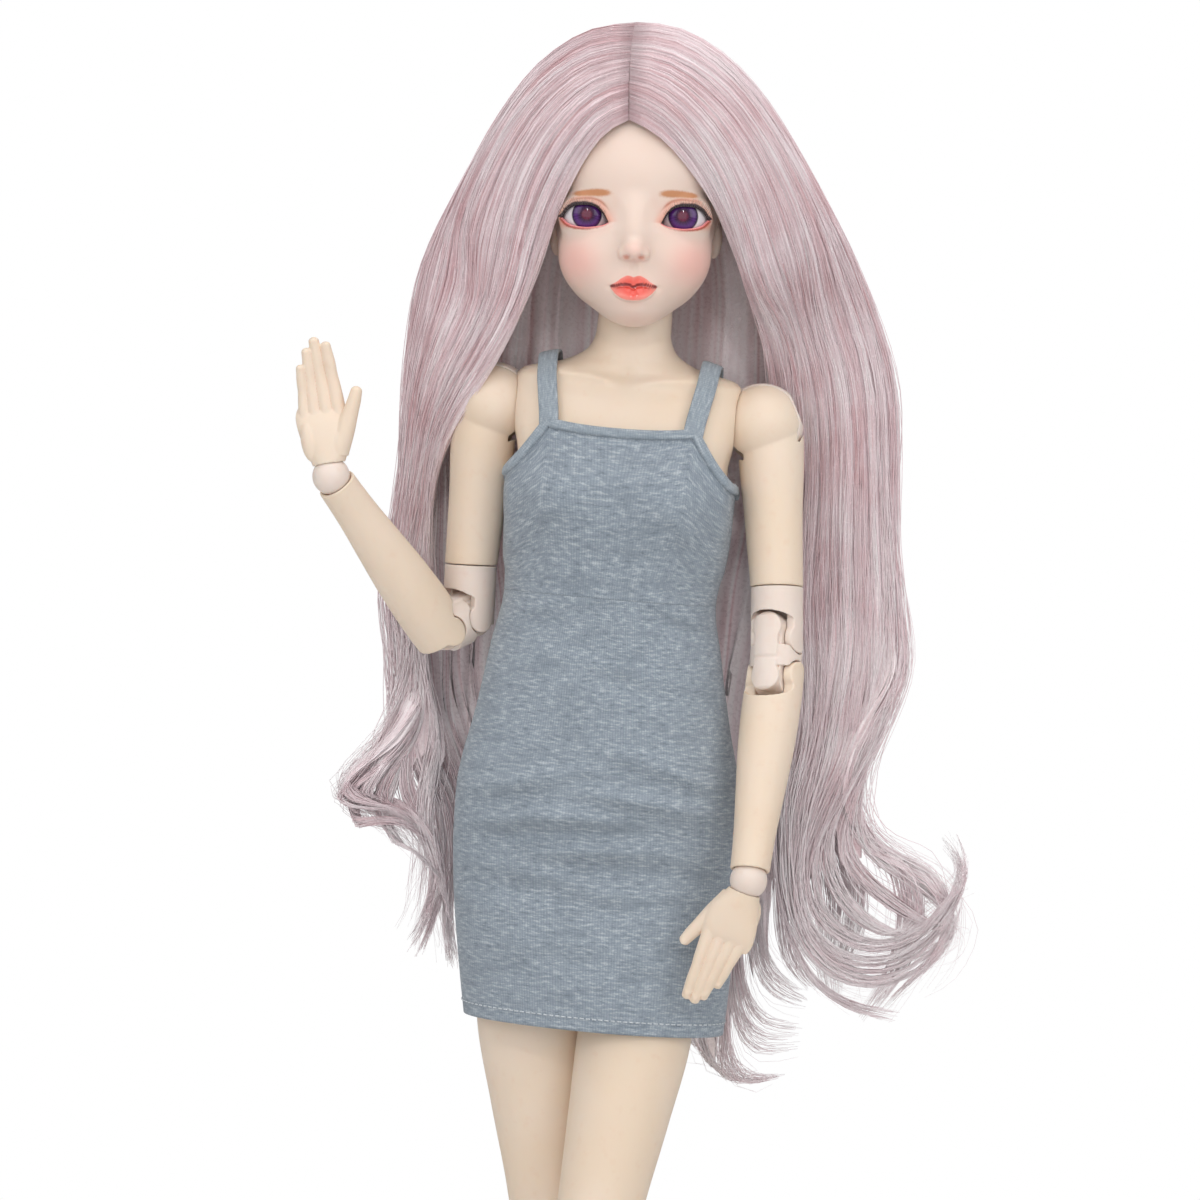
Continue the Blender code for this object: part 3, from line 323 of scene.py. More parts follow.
@dataclass(frozen=True)
class PaintedHead:
    """Resin head under a matt sealing spray, with airbrushed and brushed make-up in layers.

    The eye sees an even powdery skin with blush that has no edge, brushed brows and
    lash lines, and lips and waterlines varnished until they are wet.
    """

    name: str = "painted_head_resin"
    skin: str = "#E6CFC1"
    blush: str = "#EC8880"
    lip: str = "#EE4F42"
    lip_edge: str = "#F49A8C"
    brow: str = "#C4814F"
    shadow: str = "#CF7C60"
    liner: str = "#20121A"
    lower: str = "#A8432F"
    water: str = "#E88A8C"
    pale: str = "#EAD7CB"
    line: str = "#5A1418"

    def make(self) -> bpy.types.Material:
        """Builds the material; each layer of paint is read from the mesh as a named value."""
        material, tree, shader = blank(self.name)
        place = place_of(tree)

        def layer(word: str, low: float, high: float, most: float) -> Any:
            """The strength of one layer of airbrushed paint, stored on the mesh."""
            return between(tree, stored(tree, word), low, high, 0.0, most)

        def edged(word: str, low: float, high: float, most: float) -> Any:
            """A layer whose edge is broken by the brush."""
            bristle = noise_of(tree, place, 0.5, 2.0)
            frayed = times(tree, stored(tree, word), between(tree, bristle, 0.2, 0.8, -0.08, 0.08), "ADD")
            return between(tree, frayed, low, high, 0.0, most)

        drift = noise_of(tree, place, 30.0, 2.0)
        drifted = between(tree, drift, 0.35, 0.65, 0.0, 0.35)
        tone = painted(tree, drifted, linear(self.skin), linear(self.pale))
        depth = painted(tree, layer("lip_core", 0.0, 1.0, 1.0), linear(self.lip_edge), linear(self.lip))
        for strength, colour in (
                (layer("blush", 0.0, 1.0, 0.4), linear(self.blush)),
                (layer("shade", 0.0, 1.0, 0.62), linear(self.shadow)),
                (edged("brow", 0.06, 0.75, 0.9), linear(self.brow)),
                (edged("lower", 0.25, 0.8, 0.92), linear(self.lower)),
                (edged("water", 0.25, 0.6, 0.92), linear(self.water)),
                (edged("liner", 0.35, 0.65, 0.97), linear(self.liner)),
                (layer("lip", 0.15, 0.75, 0.93), depth),
                (layer("line", 0.08, 0.7, 0.85), linear(self.line))):
            tone = painted(tree, strength, tone, colour)
        tree.links.new(tone, shader.inputs["Base Color"])
        wet = times(tree, stored(tree, "lip"), stored(tree, "water"), "MAXIMUM")
        grain = noise_of(tree, place, 0.3, 3.0, 0.6)
        dry = between(tree, grain, 0.3, 0.7, 0.44, 0.56)
        rough = node(tree, "ShaderNodeMix", {0: between(tree, wet, 0.3, 0.8), 2: dry, 3: 0.12})
        tree.links.new(rough.outputs[0], shader.inputs["Roughness"])
        narrow = node(tree, "ShaderNodeMapping", {"Vector": place, "Scale": (4.0, 1.0, 0.6)})
        folds = noise_of(tree, narrow.outputs[0], 2.4, 2.0)
        lined = times(tree, folds, stored(tree, "lip"))
        under = relief(tree, lined, 0.16)
        tree.links.new(relief(tree, grain, 0.012, under), shader.inputs["Normal"])
        constants(shader, IOR=RESIN_IOR, Subsurface_Weight=0.2, Subsurface_Radius=(1.0, 0.45, 0.3),
                  Subsurface_Scale=0.004)
        return material


@dataclass(frozen=True)
class EyeAcrylic:
    """Moulded acrylic doll's eye: a printed iris under a clear polished dome.

    The eye sees a white ball, a violet iris with fine spokes and a dark rim, a wine
    red pupil, and one hard reflection on top of it all.
    """

    name: str = "eye_acrylic"

    def make(self) -> bpy.types.Material:
        """Builds the material from values on the mesh: rings from the pupil, spokes and depth below.

        The depth below lays a painted glow of light on the lower iris.
        """
        material, tree, shader = blank(self.name)
        rings, spokes, low = (stored(tree, word) for word in ("ring", "spoke", "low"))
        iris = coloured_ramp(tree, rings, ((0.0, "#5A0C1E"), (0.16, "#5E0E22"), (0.22, "#35091F"),
                                           (0.29, "#33103C"), (0.41, "#4C1C66"), (0.50, "#321244"),
                                           (0.535, "#150919"), (0.575, "#DAD0D3")))
        streak = node(tree, "ShaderNodeTexNoise", {"W": spokes, "Scale": 26.0, "Detail": 2.0},
                      noise_dimensions="1D").outputs[0]
        inside = between(tree, rings, 0.56, 0.5)
        lit = times(tree, between(tree, streak, 0.35, 0.75, 0.0, 0.12), inside)
        tone = painted(tree, lit, iris, linear("#8A55B8"))
        # painted light: the lower iris is lighter, as if lit through the clear dome
        painted_lower_glow = times(tree, times(tree, between(tree, low, 0.2, 0.9, 0.0, 0.25), inside),
                     between(tree, rings, 0.2, 0.3))
        tone = painted(tree, painted_lower_glow, tone, linear("#6E3C8C"))
        veins = noise_of(tree, place_of(tree), 4.0, 3.0)
        faint = times(tree, between(tree, veins, 0.5, 0.8, 0.0, 0.25), between(tree, rings, 0.6, 0.9))
        tone = painted(tree, faint, tone, linear("#D9B9BC"))
        tree.links.new(tone, shader.inputs["Base Color"])
        constants(shader, Roughness=0.35, IOR=RESIN_IOR, Specular_IOR_Level=0.2, Coat_Weight=0.6,
                  Coat_Roughness=0.03, Coat_IOR=RESIN_IOR)
        return material


@dataclass(frozen=True)
class Fibre:
    """Drawn nylon fibre in bulk, heat set: a wig's hair or glued lashes.

    The eye sees thousands of smooth round threads: each has its own faint tone, painted shade
    darkens them at the root where they are packed, painted light brightens them towards the
    tips, and they shine in bands across the lock.
    """

    name: str
    dark: str
    mid: str
    light: str
    roughness: float = 0.33

    def make(self) -> bpy.types.Material:
        """Builds the material from the threads' own tone and the place along them."""
        material, tree, shader = blank(self.name)
        tone, along = stored(tree, "tone"), stored(tree, "along")
        place = place_of(tree)
        patch = noise_of(tree, place, 22.0, 2.0)
        mixed = times(tree, tone, between(tree, patch, 0.3, 0.7, -0.14, 0.14), "ADD")
        # painted light: threads lighten towards their tips
        mixed = times(tree, mixed, between(tree, along, 0.4, 0.8, 0.0, 0.28), "ADD")
        colour = coloured_ramp(tree, mixed, ((0.0, self.dark), (0.45, self.mid), (1.0, self.light)))
        # painted shade: threads darken at their roots
        root = between(tree, along, 0.05, 0.0, 0.0, 0.3)
        colour = painted(tree, root, colour, linear(self.dark))
        tree.links.new(colour, shader.inputs["Base Color"])
        shine = noise_of(tree, place, 1.2, 2.0)
        tree.links.new(between(tree, shine, 0.3, 0.7, self.roughness - 0.05, self.roughness + 0.09),
                       shader.inputs["Roughness"])
        constants(shader, IOR=1.53, Specular_IOR_Level=1.0, Sheen_Weight=0.2, Sheen_Roughness=0.4)
        return material


@dataclass(frozen=True)
class HeatherJersey:
    """Single jersey of cotton and polyester, dyed in the yarn: grey melange.

    The eye sees pale and slate flecks strung out along the courses, thin upright wales,
    and a matt fuzzy surface that lightens where it turns away.
    """

    name: str
    mid: str = "#8D97A1"
    dark: str = "#68727C"
    pale: str = "#C3C9CE"
    wale_mm: float = 0.95

    def make(self) -> bpy.types.Material:
        """Builds the material on the cloth's own map, in metres round and up the cloth."""
        material, tree, shader = blank(self.name)
        cloth = node(tree, "ShaderNodeUVMap", uv_map="cloth").outputs["UV"]

        def stretched(across: float, up: float) -> Any:
            """The cloth's place, squeezed so that blotches of 1 mm come out across by up."""
            scale = (1.0 / across, 1.0 / up, 1.0)
            return node(tree, "ShaderNodeMapping", {"Vector": cloth, "Scale": scale}).outputs[0]

        long_fleck = noise_of(tree, stretched(3.8, 0.85), 1.0, 3.0, 0.65)
        short_fleck = noise_of(tree, stretched(1.2, 0.5), 1.0, 2.0, 0.6)
        cloudy = noise_of(tree, stretched(17.0, 5.0), 1.0, 3.0, 0.6)
        waves = {"Vector": cloth, "Scale": 1000.0 / self.wale_mm / 20 * 2 * math.pi,
                 "Distortion": 0.8, "Detail": 1.0, "Detail Scale": 2.0}
        wave = node(tree, "ShaderNodeTexWave", waves, wave_type="BANDS", bands_direction="X",
                    wave_profile="SIN").outputs["Fac"]
        tone = linear(self.mid)
        for value, low, high, most, colour in (
                (long_fleck, 0.49, 0.7, 0.68, self.pale), (long_fleck, 0.48, 0.3, 0.7, self.dark),
                (short_fleck, 0.56, 0.74, 0.45, self.pale), (cloudy, 0.45, 0.68, 0.32, self.dark),
                (wave, 0.35, 0.0, 0.28, self.dark)):
            tone = painted(tree, between(tree, value, low, high, 0.0, most), tone, linear(colour))
        tree.links.new(tone, shader.inputs["Base Color"])
        constants(shader, Roughness=0.92, Sheen_Weight=0.18, Sheen_Roughness=0.5)
        height = times(tree, times(tree, wave, 0.6), times(tree, short_fleck, 0.4), "ADD")
        tree.links.new(relief(tree, height, 0.14), shader.inputs["Normal"])
        return material


@dataclass(frozen=True)
class PlainThread:
    """Twisted polyester sewing thread: a small bright cord, with random patches of painted shade
    for the grooves where the plies meet.
    """

    name: str = "sewing_thread"
    colour: str = "#D3D8DC"
    shaded: str = "#B4BAC0"

    def make(self) -> bpy.types.Material:
        """Builds the material."""
        material, tree, shader = blank(self.name)
        # painted shade: random darker patches for the grooves between the plies
        ply_shade = noise_of(tree, place_of(tree), 0.4, 2.0)
        tone = painted(tree, between(tree, ply_shade, 0.35, 0.65), linear(self.colour), linear(self.shaded))
        tree.links.new(tone, shader.inputs["Base Color"])
        shader.inputs["Roughness"].default_value = 0.6
        return material


@dataclass(frozen=True)
class DrawnSteel:
    """Drawn and cut stainless pin stock: fine scratches along it spread the highlight."""

    name: str = "drawn_steel_pin"

    def make(self) -> bpy.types.Material:
        """Builds the material."""
        material, tree, shader = blank(self.name)
        scratch = noise_of(tree, place_of(tree), 0.5, 4.0, 0.7)
        tone = painted(tree, scratch, linear("#A9A9AB"), linear("#C9C9C8"))
        tree.links.new(tone, shader.inputs["Base Color"])
        tree.links.new(between(tree, scratch, 0.3, 0.7, 0.25, 0.42), shader.inputs["Roughness"])
        shader.inputs["Metallic"].default_value = 1.0
        return material


BODY = CastResin("cast_body_resin", "#E5D0B9", "#D8A27E", "#EAD9C9")
JOINT = CastResin("cast_joint_resin", "#E3D2C6", "#D59F84", "#E9DCD3")
HEAD = PaintedHead()
EYE_FINISH = EyeAcrylic()
HAIR = Fibre("wig_nylon_fibre", "#DFB6BA", "#F3DEE2", "#FFF8F9", 0.2)
# a little darker than the wig fibre: painted shade for the hair that lies under the threads
SHADED_BACKING = Fibre("wig_inner_fibre", "#D9B0B4", "#F2DDE0", "#FDF3F4", 0.28)
LASH = Fibre("lash_fibre", "#1A0E12", "#2B181C", "#3A2328", 0.4)
LOWER_LASH = Fibre("lower_lash_fibre", "#7A3020", "#A0482F", "#B86448", 0.4)
CLOTH_FINISH = HeatherJersey("heather_jersey")
BAND_FINISH = HeatherJersey("heather_rib_binding", "#949EA7", "#7A858F", "#BFC6CC", 0.8)
THREAD = PlainThread()
STEEL = DrawnSteel()


class Shelf:
    """Keeps one material for each finish, so that pieces of one stuff share it."""

    made: dict[str, bpy.types.Material] = {}

    @classmethod
    def take(cls, finish: Any) -> bpy.types.Material:
        """The finish's material, made when it is first asked for."""
        if finish.name not in cls.made:
            cls.made[finish.name] = finish.make()
        return cls.made[finish.name]


def settle(name: str, mesh: bpy.types.Mesh, finish: Any, body: Optional[str] = None,
           stands_for: Sequence[str] = (), flat: int = 0) -> bpy.types.Object:
    """Turns a finished mesh into a piece of the doll.

    Args:
        name: The piece's name.
        mesh: Its mesh, in millimetres in the doll's frame.
        finish: What it is made of.
        body: The CAD body that it rides on, or none where it rides on no body.
        stands_for: The CAD nodes that it replaces.
        flat: How many of its last faces are flat end caps.

    Returns:
        The piece.
    """
    mesh.transform(Matrix.Scale(MM, 4) @ Matrix.Translation(Vector(MIDLINE)))
    mesh.name = name
    mesh.materials.clear()
    mesh.materials.append(Shelf.take(finish))
    smooth = np.ones(len(mesh.polygons), bool)
    smooth[len(smooth) - flat:] = False
    mesh.polygons.foreach_set("use_smooth", smooth)
    mesh.update()
    piece = bpy.data.objects.new(name, mesh)
    bpy.context.scene.collection.objects.link(piece)
    if body is not None:
        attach(piece, body)
    if stands_for:
        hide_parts(*stands_for)
    log.info("%s: %d faces", name, len(mesh.polygons))
    return piece


def mesh_of(points: np.ndarray, quads: np.ndarray,
            triangles: Optional[np.ndarray] = None) -> bpy.types.Mesh:
    """A mesh from arrays of corners.

    Args:
        points: Places, one row each.
        quads: Four corners a row.
        triangles: Three corners a row.

    Returns:
        The mesh, in millimetres.
    """
    triangles = np.zeros((0, 3), int) if triangles is None else triangles
    mesh = bpy.data.meshes.new("mesh")
    corners = np.concatenate([quads.ravel(), triangles.ravel()]).astype(np.int32)
    sizes = np.concatenate([np.full(len(quads), 4), np.full(len(triangles), 3)]).astype(np.int32)
    mesh.vertices.add(len(points))
    mesh.vertices.foreach_set("co", np.ascontiguousarray(points, np.float32).ravel())
    mesh.loops.add(len(corners))
    mesh.loops.foreach_set("vertex_index", corners)
    mesh.polygons.add(len(sizes))
    starts = np.concatenate([[0], np.cumsum(sizes)[:-1]]).astype(np.int32)
    mesh.polygons.foreach_set("loop_start", starts)
    mesh.update(calc_edges=True)
    mesh.validate()
    return mesh


def grid_quads(rows: int, columns: int, around: bool) -> np.ndarray:
    """Quads between the points of a grid that is stored row by row.

    Args:
        rows: Points up the grid.
        columns: Points across it.
        around: Whether the last column joins the first.

    Returns:
        Corner numbers, four a row.
    """
    i, j = np.meshgrid(np.arange(rows - 1), np.arange(columns if around else columns - 1), indexing="ij")
    k = (j + 1) % columns
    return np.stack([i * columns + j, i * columns + k, (i + 1) * columns + k, (i + 1) * columns + j],
                    axis=-1).reshape(-1, 4)


def cap_ends(bm: bmesh.types.BMesh, rows: int, columns: int) -> None:
    """Closes both ends of a tube whose rings have equally many points."""
    bm.verts.ensure_lookup_table()
    bm.faces.new([bm.verts[i] for i in range(columns)][::-1])
    bm.faces.new([bm.verts[(rows - 1) * columns + i] for i in range(columns)])


def note(mesh: bpy.types.Mesh, word: str, values: np.ndarray) -> None:
    """Stores one number for each point of a mesh under a word that materials read."""
    made = mesh.attributes.new(word, "FLOAT", "POINT")
    made.data.foreach_set("value", np.ascontiguousarray(values, np.float32))


class Bench:
    """The work bench: solids in millimetres are cut and joined here and then cast as one skin."""

    made: list[bpy.types.Object] = []

    @classmethod
    def solid(cls, bm: bmesh.types.BMesh, at: Matrix) -> bpy.types.Object:
        """Puts a solid on the bench, placed by a frame."""
        mesh = bpy.data.meshes.new("bench")
        bm.to_mesh(mesh)
        bm.free()
        mesh.transform(at)
        ob = bpy.data.objects.new("bench", mesh)
        bpy.context.scene.collection.objects.link(ob)
        cls.made.append(ob)
        return ob

    @classmethod
    def ball(cls, at: Matrix, radius: float, stretch: Point = (1, 1, 1),
             sides: int = 64) -> bpy.types.Object:
        """A ball or an ellipsoid."""
        bm = bmesh.new()
        bmesh.ops.create_uvsphere(bm, u_segments=sides, v_segments=sides // 2, radius=radius)
        bmesh.ops.scale(bm, vec=stretch, verts=bm.verts)
        return cls.solid(bm, at)

    @classmethod
    def rod(cls, at: Matrix, radius: float, low: float, high: float, axis: str = "Z",
            sides: int = 56) -> bpy.types.Object:
        """A cylinder between two places on one axis of its frame."""
        bm = bmesh.new()
        bmesh.ops.create_cone(bm, cap_ends=True, segments=sides, radius1=radius, radius2=radius,
                              depth=high - low)
        bmesh.ops.translate(bm, vec=(0, 0, (low + high) / 2), verts=bm.verts)
        swing = {"Z": Matrix.Identity(4), "X": turn("Y", 90), "Y": turn("X", -90)}[axis]
        bmesh.ops.transform(bm, matrix=swing, verts=bm.verts)
        return cls.solid(bm, at)

    @classmethod
    def block(cls, at: Matrix, low: Point, high: Point) -> bpy.types.Object:
        """A box between two corners."""
        bm = bmesh.new()
        bmesh.ops.create_cube(bm, size=1.0)
        bmesh.ops.scale(bm, vec=[b - a for a, b in zip(low, high)], verts=bm.verts)
        bmesh.ops.translate(bm, vec=[(a + b) / 2 for a, b in zip(low, high)], verts=bm.verts)
        return cls.solid(bm, at)

    @classmethod
    def loft(cls, at: Matrix, rings: np.ndarray) -> bpy.types.Object:
        """A closed skin over rings of equally many points.

        Args:
            at: The frame that the rings are in.
            rings: Places, ring by point by axis.

        Returns:
            The solid on the bench.
        """
        rings = np.asarray(rings, float)
        rows, columns = rings.shape[:2]
        mesh = mesh_of(rings.reshape(-1, 3), grid_quads(rows, columns, True))
        bm = bmesh.new()
        bm.from_mesh(mesh)
        cap_ends(bm, rows, columns)
        bmesh.ops.recalc_face_normals(bm, faces=bm.faces)
        bpy.data.meshes.remove(mesh)
        return cls.solid(bm, at)

    @classmethod
    def tube(cls, at: Matrix, table: Sequence[Sequence[float]], step: float = 1.0,
             sides: int = 64) -> bpy.types.Object:
        """A smooth limb through a table of sections.

        Args:
            at: The limb's frame, which it hangs down from.
            table: Rows of height, half width, half depth, middle in x, middle in y and squareness.
            step: Distance between rings.
            sides: Points in a ring.

        Returns:
            The solid on the bench.
        """
        rows = sorted([list(r) + [0.0, 0.0, 2.0][len(r) - 3:] for r in table])
        heights = [r[0] for r in rows]
        z = np.linspace(heights[0], heights[-1], max(3, int((heights[-1] - heights[0]) / step) + 1))
        a, b, x, y, power = (eased(z, heights, [r[k] for r in rows])[:, None] for k in range(1, 6))
        w = 2 * np.pi * np.arange(sides)[None, :] / sides
        c, s = np.cos(w), np.sin(w)
        px = x + a * rounded(c, 2 / power)
        py = y + b * rounded(s, 2 / power)
        return cls.loft(at, np.stack([px, py, np.broadcast_to(z[:, None], px.shape)], axis=-1))

    @staticmethod
    def join(ob: bpy.types.Object, other: bpy.types.Object, how: str = "DIFFERENCE") -> bpy.types.Object:
        """Cuts ob with the other solid, joins it to it, or keeps only what both fill."""
        step = ob.modifiers.new("join", "BOOLEAN")
        step.operation = how
        step.object = other
        step.solver = "MANIFOLD"
        return ob

    @classmethod
    def cast(cls, ob: bpy.types.Object, voxel: float = 0.36, rounds: int = 5) -> bpy.types.Mesh:
        """Casts a solid: one closed skin whose edges are as soft as a mould leaves them.

        Args:
            ob: The solid, with its cuts and joins.
            voxel: The finest detail kept, in millimetres.
            rounds: How often the skin is smoothed.

        Returns:
            The mesh, in millimetres. The bench is empty afterwards.
        """
        skin = ob.modifiers.new("skin", "REMESH")
        skin.mode = "VOXEL"
        skin.voxel_size = voxel
        soft = ob.modifiers.new("soft", "SMOOTH")
        soft.factor = 0.5
        soft.iterations = rounds
        return cls.finish(ob)

    @classmethod
    def finish(cls, ob: bpy.types.Object) -> bpy.types.Mesh:
        """Takes a solid's mesh, with its cuts and joins, and clears the bench."""
        graph = bpy.context.evaluated_depsgraph_get()
        made = bpy.data.meshes.new_from_object(ob.evaluated_get(graph), depsgraph=graph)
        for used in cls.made:
            mesh = used.data
            bpy.data.objects.remove(used)
            bpy.data.meshes.remove(mesh)
        cls.made.clear()
        return made


@dataclass
class Torso:
    """Chest with neck, midriff and pelvis, seated in each other on round seams.

    Each row of the profile is a height, half width, front depth, back depth, middle and squareness.
    """

    profile: tuple = (
        (302.0, 9.0, 7.0, 9.0, 4.0, 2.0), (306.0, 19.0, 11.0, 17.0, 4.0, 2.0),
        (314.0, 33.0, 16.0, 27.0, 4.0, 2.1), (326.0, 42.5, 19.5, 32.0, 4.0, 2.2),
        (342.0, 45.0, 21.5, 33.5, 3.0, 2.2), (362.0, 44.2, 23.5, 28.0, 2.0, 2.2),
        (385.0, 39.6, 23.0, 22.5, 2.0, 2.2), (403.0, 36.2, 21.8, 20.5, 2.0, 2.2),
        (415.0, 33.6, 21.0, 20.0, 2.0, 2.2), (426.0, 32.4, 21.5, 20.3, 2.0, 2.2),
        (436.0, 34.4, 23.0, 21.2, 2.0, 2.2), (447.0, 35.2, 25.5, 22.3, 2.0, 2.2),
        (459.0, 35.4, 26.5, 23.0, 2.0, 2.3), (468.0, 34.2, 24.0, 22.5, 2.0, 2.5),
        (478.0, 36.2, 20.5, 21.0, 2.5, 2.8), (487.0, 37.3, 17.0, 18.0, 3.0, 2.8),
        (494.0, 37.0, 14.2, 14.8, 4.0, 2.8), (497.0, 34.0, 13.0, 13.6, 4.4, 2.6),
        (499.0, 25.0, 12.8, 13.6, 4.6, 2.2), (501.5, 18.5, 12.2, 13.2, 4.6, 2.0),
        (505.0, 14.0, 12.0, 12.6, 4.4, 2.0), (510.0, 12.2, 11.8, 11.9, 4.2, 2.0),
        (520.0, 11.9, 11.7, 11.7, 4.0, 2.0),
    )
    hip_shift: float = 1.0
    bust: Point = (17.0, 456.0, 13.0)
    bust_high: float = 5.0
    bust_side: float = 4.6
    seams: tuple = (436.3, 435.9, 307.3)
    waist_twist: float = 434.0
    waist_ball: float = 17.0
    waist_bend: float = 415.0
    waist_round: float = 26.0
    neck: Point = (0.0, 4.0, 524.0)
    neck_radius: float = 11.2
    shoulder: Point = (44.0, 6.0, 484.0)
    shoulder_radius: float = 13.4
    hip: Point = (22.0, 4.0, 330.0)
    hip_radius: float = 17.0
    leg_room: tuple = ((4.0, 11.0, 13.0), (-5.0, 14.8, 19.4), (-13.0, 17.0, 25.0), (-23.0, 18.8, 32.0),
                       (-48.0, 20.5, 50.0))
    leg_lines: tuple = ((4.6, 317.2, 56.0, 6.7), (5.2, 302.3, 40.0, 50.0))

    def row(self, z: Any) -> list[np.ndarray]:
        """Half width, front, back, middle and squareness at heights."""
        heights = [r[0] for r in self.profile]
        return [eased(z, heights, [r[k] for r in self.profile]) for k in range(1, 6)]

    def shift(self, z: Any) -> np.ndarray:
        """How far the middle has moved to the doll's left at heights."""
        return self.hip_shift * np.interp(z, (340.0, 410.0), (1.0, 0.0))

    def swell(self, x: Any, z: Any) -> np.ndarray:
        """Forward swell of the breasts at places on the chest."""
        out, high, radius = self.bust
        return self.bust_high * mound(np.abs(x) - out, radius, z - high, radius)

    def side_swell(self, front: np.ndarray, z: np.ndarray) -> np.ndarray:
        """How far the breasts widen the chest, for how far forward a place faces and its height."""
        return self.bust_side * np.clip((front - 0.2) / 0.4, 0, 1) * bell(z - self.bust[1], 15.0)

    def collar(self, x: Any, z: Any) -> np.ndarray:
        """Relief of the collar bones and of the hollow between them."""
        out = np.abs(x)
        line = np.interp(out, (4.0, 12.0, 22.0, 33.0), (493.6, 495.4, 496.0, 494.0))
        bone = 1.25 * bell(z - line, 1.5) * ramp(out, 2.6, 6.0) * ramp(out, 34.0, 24.0)
        notch = 1.5 * mound(out, 2.8, z - 496.6, 2.6)
        under = 0.6 * bell(z - line + 4.0, 2.2) * ramp(out, 6.0, 12.0) * ramp(out, 33.0, 24.0)
        return bone - notch - under

    def surface(self, w: np.ndarray, z: np.ndarray, proud: Any = 0.0) -> np.ndarray:
        """Places on the skin.

        Args:
            w: Angles round the torso, from the doll's left through the back.
            z: Heights, in a shape that fits w.
            proud: How far the places stand off the skin.

        Returns:
            The places, with x, y and z on the last axis.
        """
        a, f, b, middle, power = self.row(z)
        c, s = np.cos(w), np.sin(w)
        x = (a + proud) * rounded(c, 2 / power)
        y = middle + (np.where(s > 0, b, f) + proud) * rounded(s, 2 / power)
        front = np.clip(-s, 0, 1)
        y = y - (self.swell(x, z) + self.collar(x, z)) * front
        x = x * (1 + self.side_swell(front, z) / a)
        return np.stack(np.broadcast_arrays(x + self.shift(z), y, z), axis=-1)

    def depth(self, x: Any, z: Any, proud: float = 0.0, back: bool = False) -> np.ndarray:
        """Depth of the front or back of the skin at places."""
        a, f, b, middle, power = self.row(z)
        share = np.clip(1 - np.clip(np.abs(x) / (a + proud), 0, 1) ** power, 0, 1) ** (1 / power)
        if back:
            return middle + (b + proud) * share
        return middle - (f + proud) * share - self.swell(x, z) * share

    def top(self, x: float, y: float, proud: float = 0.0) -> float:
        """Height of the shoulder's upper surface over a place."""
        low, high = 486.0, 503.0
        for _ in range(24):
            z = (low + high) / 2
            a, f, b, middle, power = (float(v) for v in self.row(z))
            deep = (b if y > middle else f) + proud
            reach = (abs(x) / (a + proud)) ** power + (abs(y - middle) / deep) ** power
            low, high = (z, high) if reach < 1 else (low, z)
        return low + proud

    def skin(self, low: float, high: float,
             proud: Callable[[np.ndarray], np.ndarray]) -> bpy.types.Object:
        """A closed length of the torso on the bench."""
        z = np.linspace(low, high, int((high - low) / 0.8) + 2)[:, None]
        w = 2 * np.pi * np.arange(128)[None, :] / 128
        return Bench.loft(ROOT, self.surface(w, z, proud(z)))

    def seat(self, ob: bpy.types.Object, at: Matrix, radius: float) -> None:
        """Cuts a ball's socket with its running gap."""
        Bench.join(ob, Bench.ball(at, radius + GAP))

    def build(self) -> None:
        """Casts the chest, the midriff and the pelvis."""
        foot, midriff_top, crotch = self.seams
        chest = self.skin(foot, self.profile[-1][0], lambda z: np.interp(z, (452.0, 468.0), (-1.0, 0.0)))
        self.seat(chest, move(*self.neck), self.neck_radius)
        for side in Side:
            place = move(side.value * self.shoulder[0], *self.shoulder[1:])
            self.seat(chest, place, self.shoulder_radius)
        waist, bend = move(0, 2, self.waist_twist), move(0, 2, self.waist_bend)
        self.seat(chest, waist, self.waist_ball)
        settle("chest_cast", Bench.cast(chest, 0.5), BODY, "chest", ["chest"])

        midriff = self.skin(386.0, midriff_top, lambda z: z * 0 - 1.0)
        keep = Bench.rod(bend, self.waist_round, -60, 60, "X")
        Bench.join(keep, Bench.block(bend, (-60, -60, 0), (60, 60, 60)), "UNION")
        Bench.join(midriff, keep, "INTERSECT")
        Bench.join(midriff, Bench.ball(waist, self.waist_ball), "UNION")
        settle("midriff_cast", Bench.cast(midriff, 0.9), BODY, "midriff", ["midriff"])

        pelvis = self.skin(crotch, 406.0, lambda z: z * 0 - 1.0)
        Bench.join(pelvis, Bench.rod(bend, self.waist_round + GAP, -60, 60, "X"))
        for side in Side:
            hip = self.hip_frame(side)
            self.seat(pelvis, hip, self.hip_radius)
            place = hip @ turn("Y", side.value * LEG_STANCE[side]["lean"])
            Bench.join(pelvis, Bench.tube(place, self.leg_room))
            for out, high, slope, reach in self.leg_lines:
                edge = move(self.hip_shift + side.value * out, 0, high) @ turn("Y", -side.value * slope)
                low, far = sorted((0.0, side.value * 60.0))
                Bench.join(pelvis, Bench.block(edge, (low, -40, -40), (far, reach, 0)))
        settle("pelvis_cast", Bench.cast(pelvis, 0.9), BODY, "pelvis", ["pelvis"])

    def hip_frame(self, side: Side) -> Matrix:
        """The hip joint's place, square to the torso."""
        return move(self.hip_shift + side.value * self.hip[0], *self.hip[1:])


ARM_POSE = {
    Side.LEFT: {"swing": 7.5, "raise": 8.0, "turn": -25.0, "elbow": 6.0, "hand": 15.0},
    Side.RIGHT: {"swing": 0.0, "raise": 1.3, "turn": -48.0, "elbow": 68.0, "hand": 14.0},
}
LEG_STANCE = {
    Side.LEFT: {"swing": 7.5, "lean": 5.5, "toe_out": 6.0, "drift": 23.0},
    Side.RIGHT: {"swing": -7.5, "lean": 8.5, "toe_out": 8.0, "drift": 33.0},
}


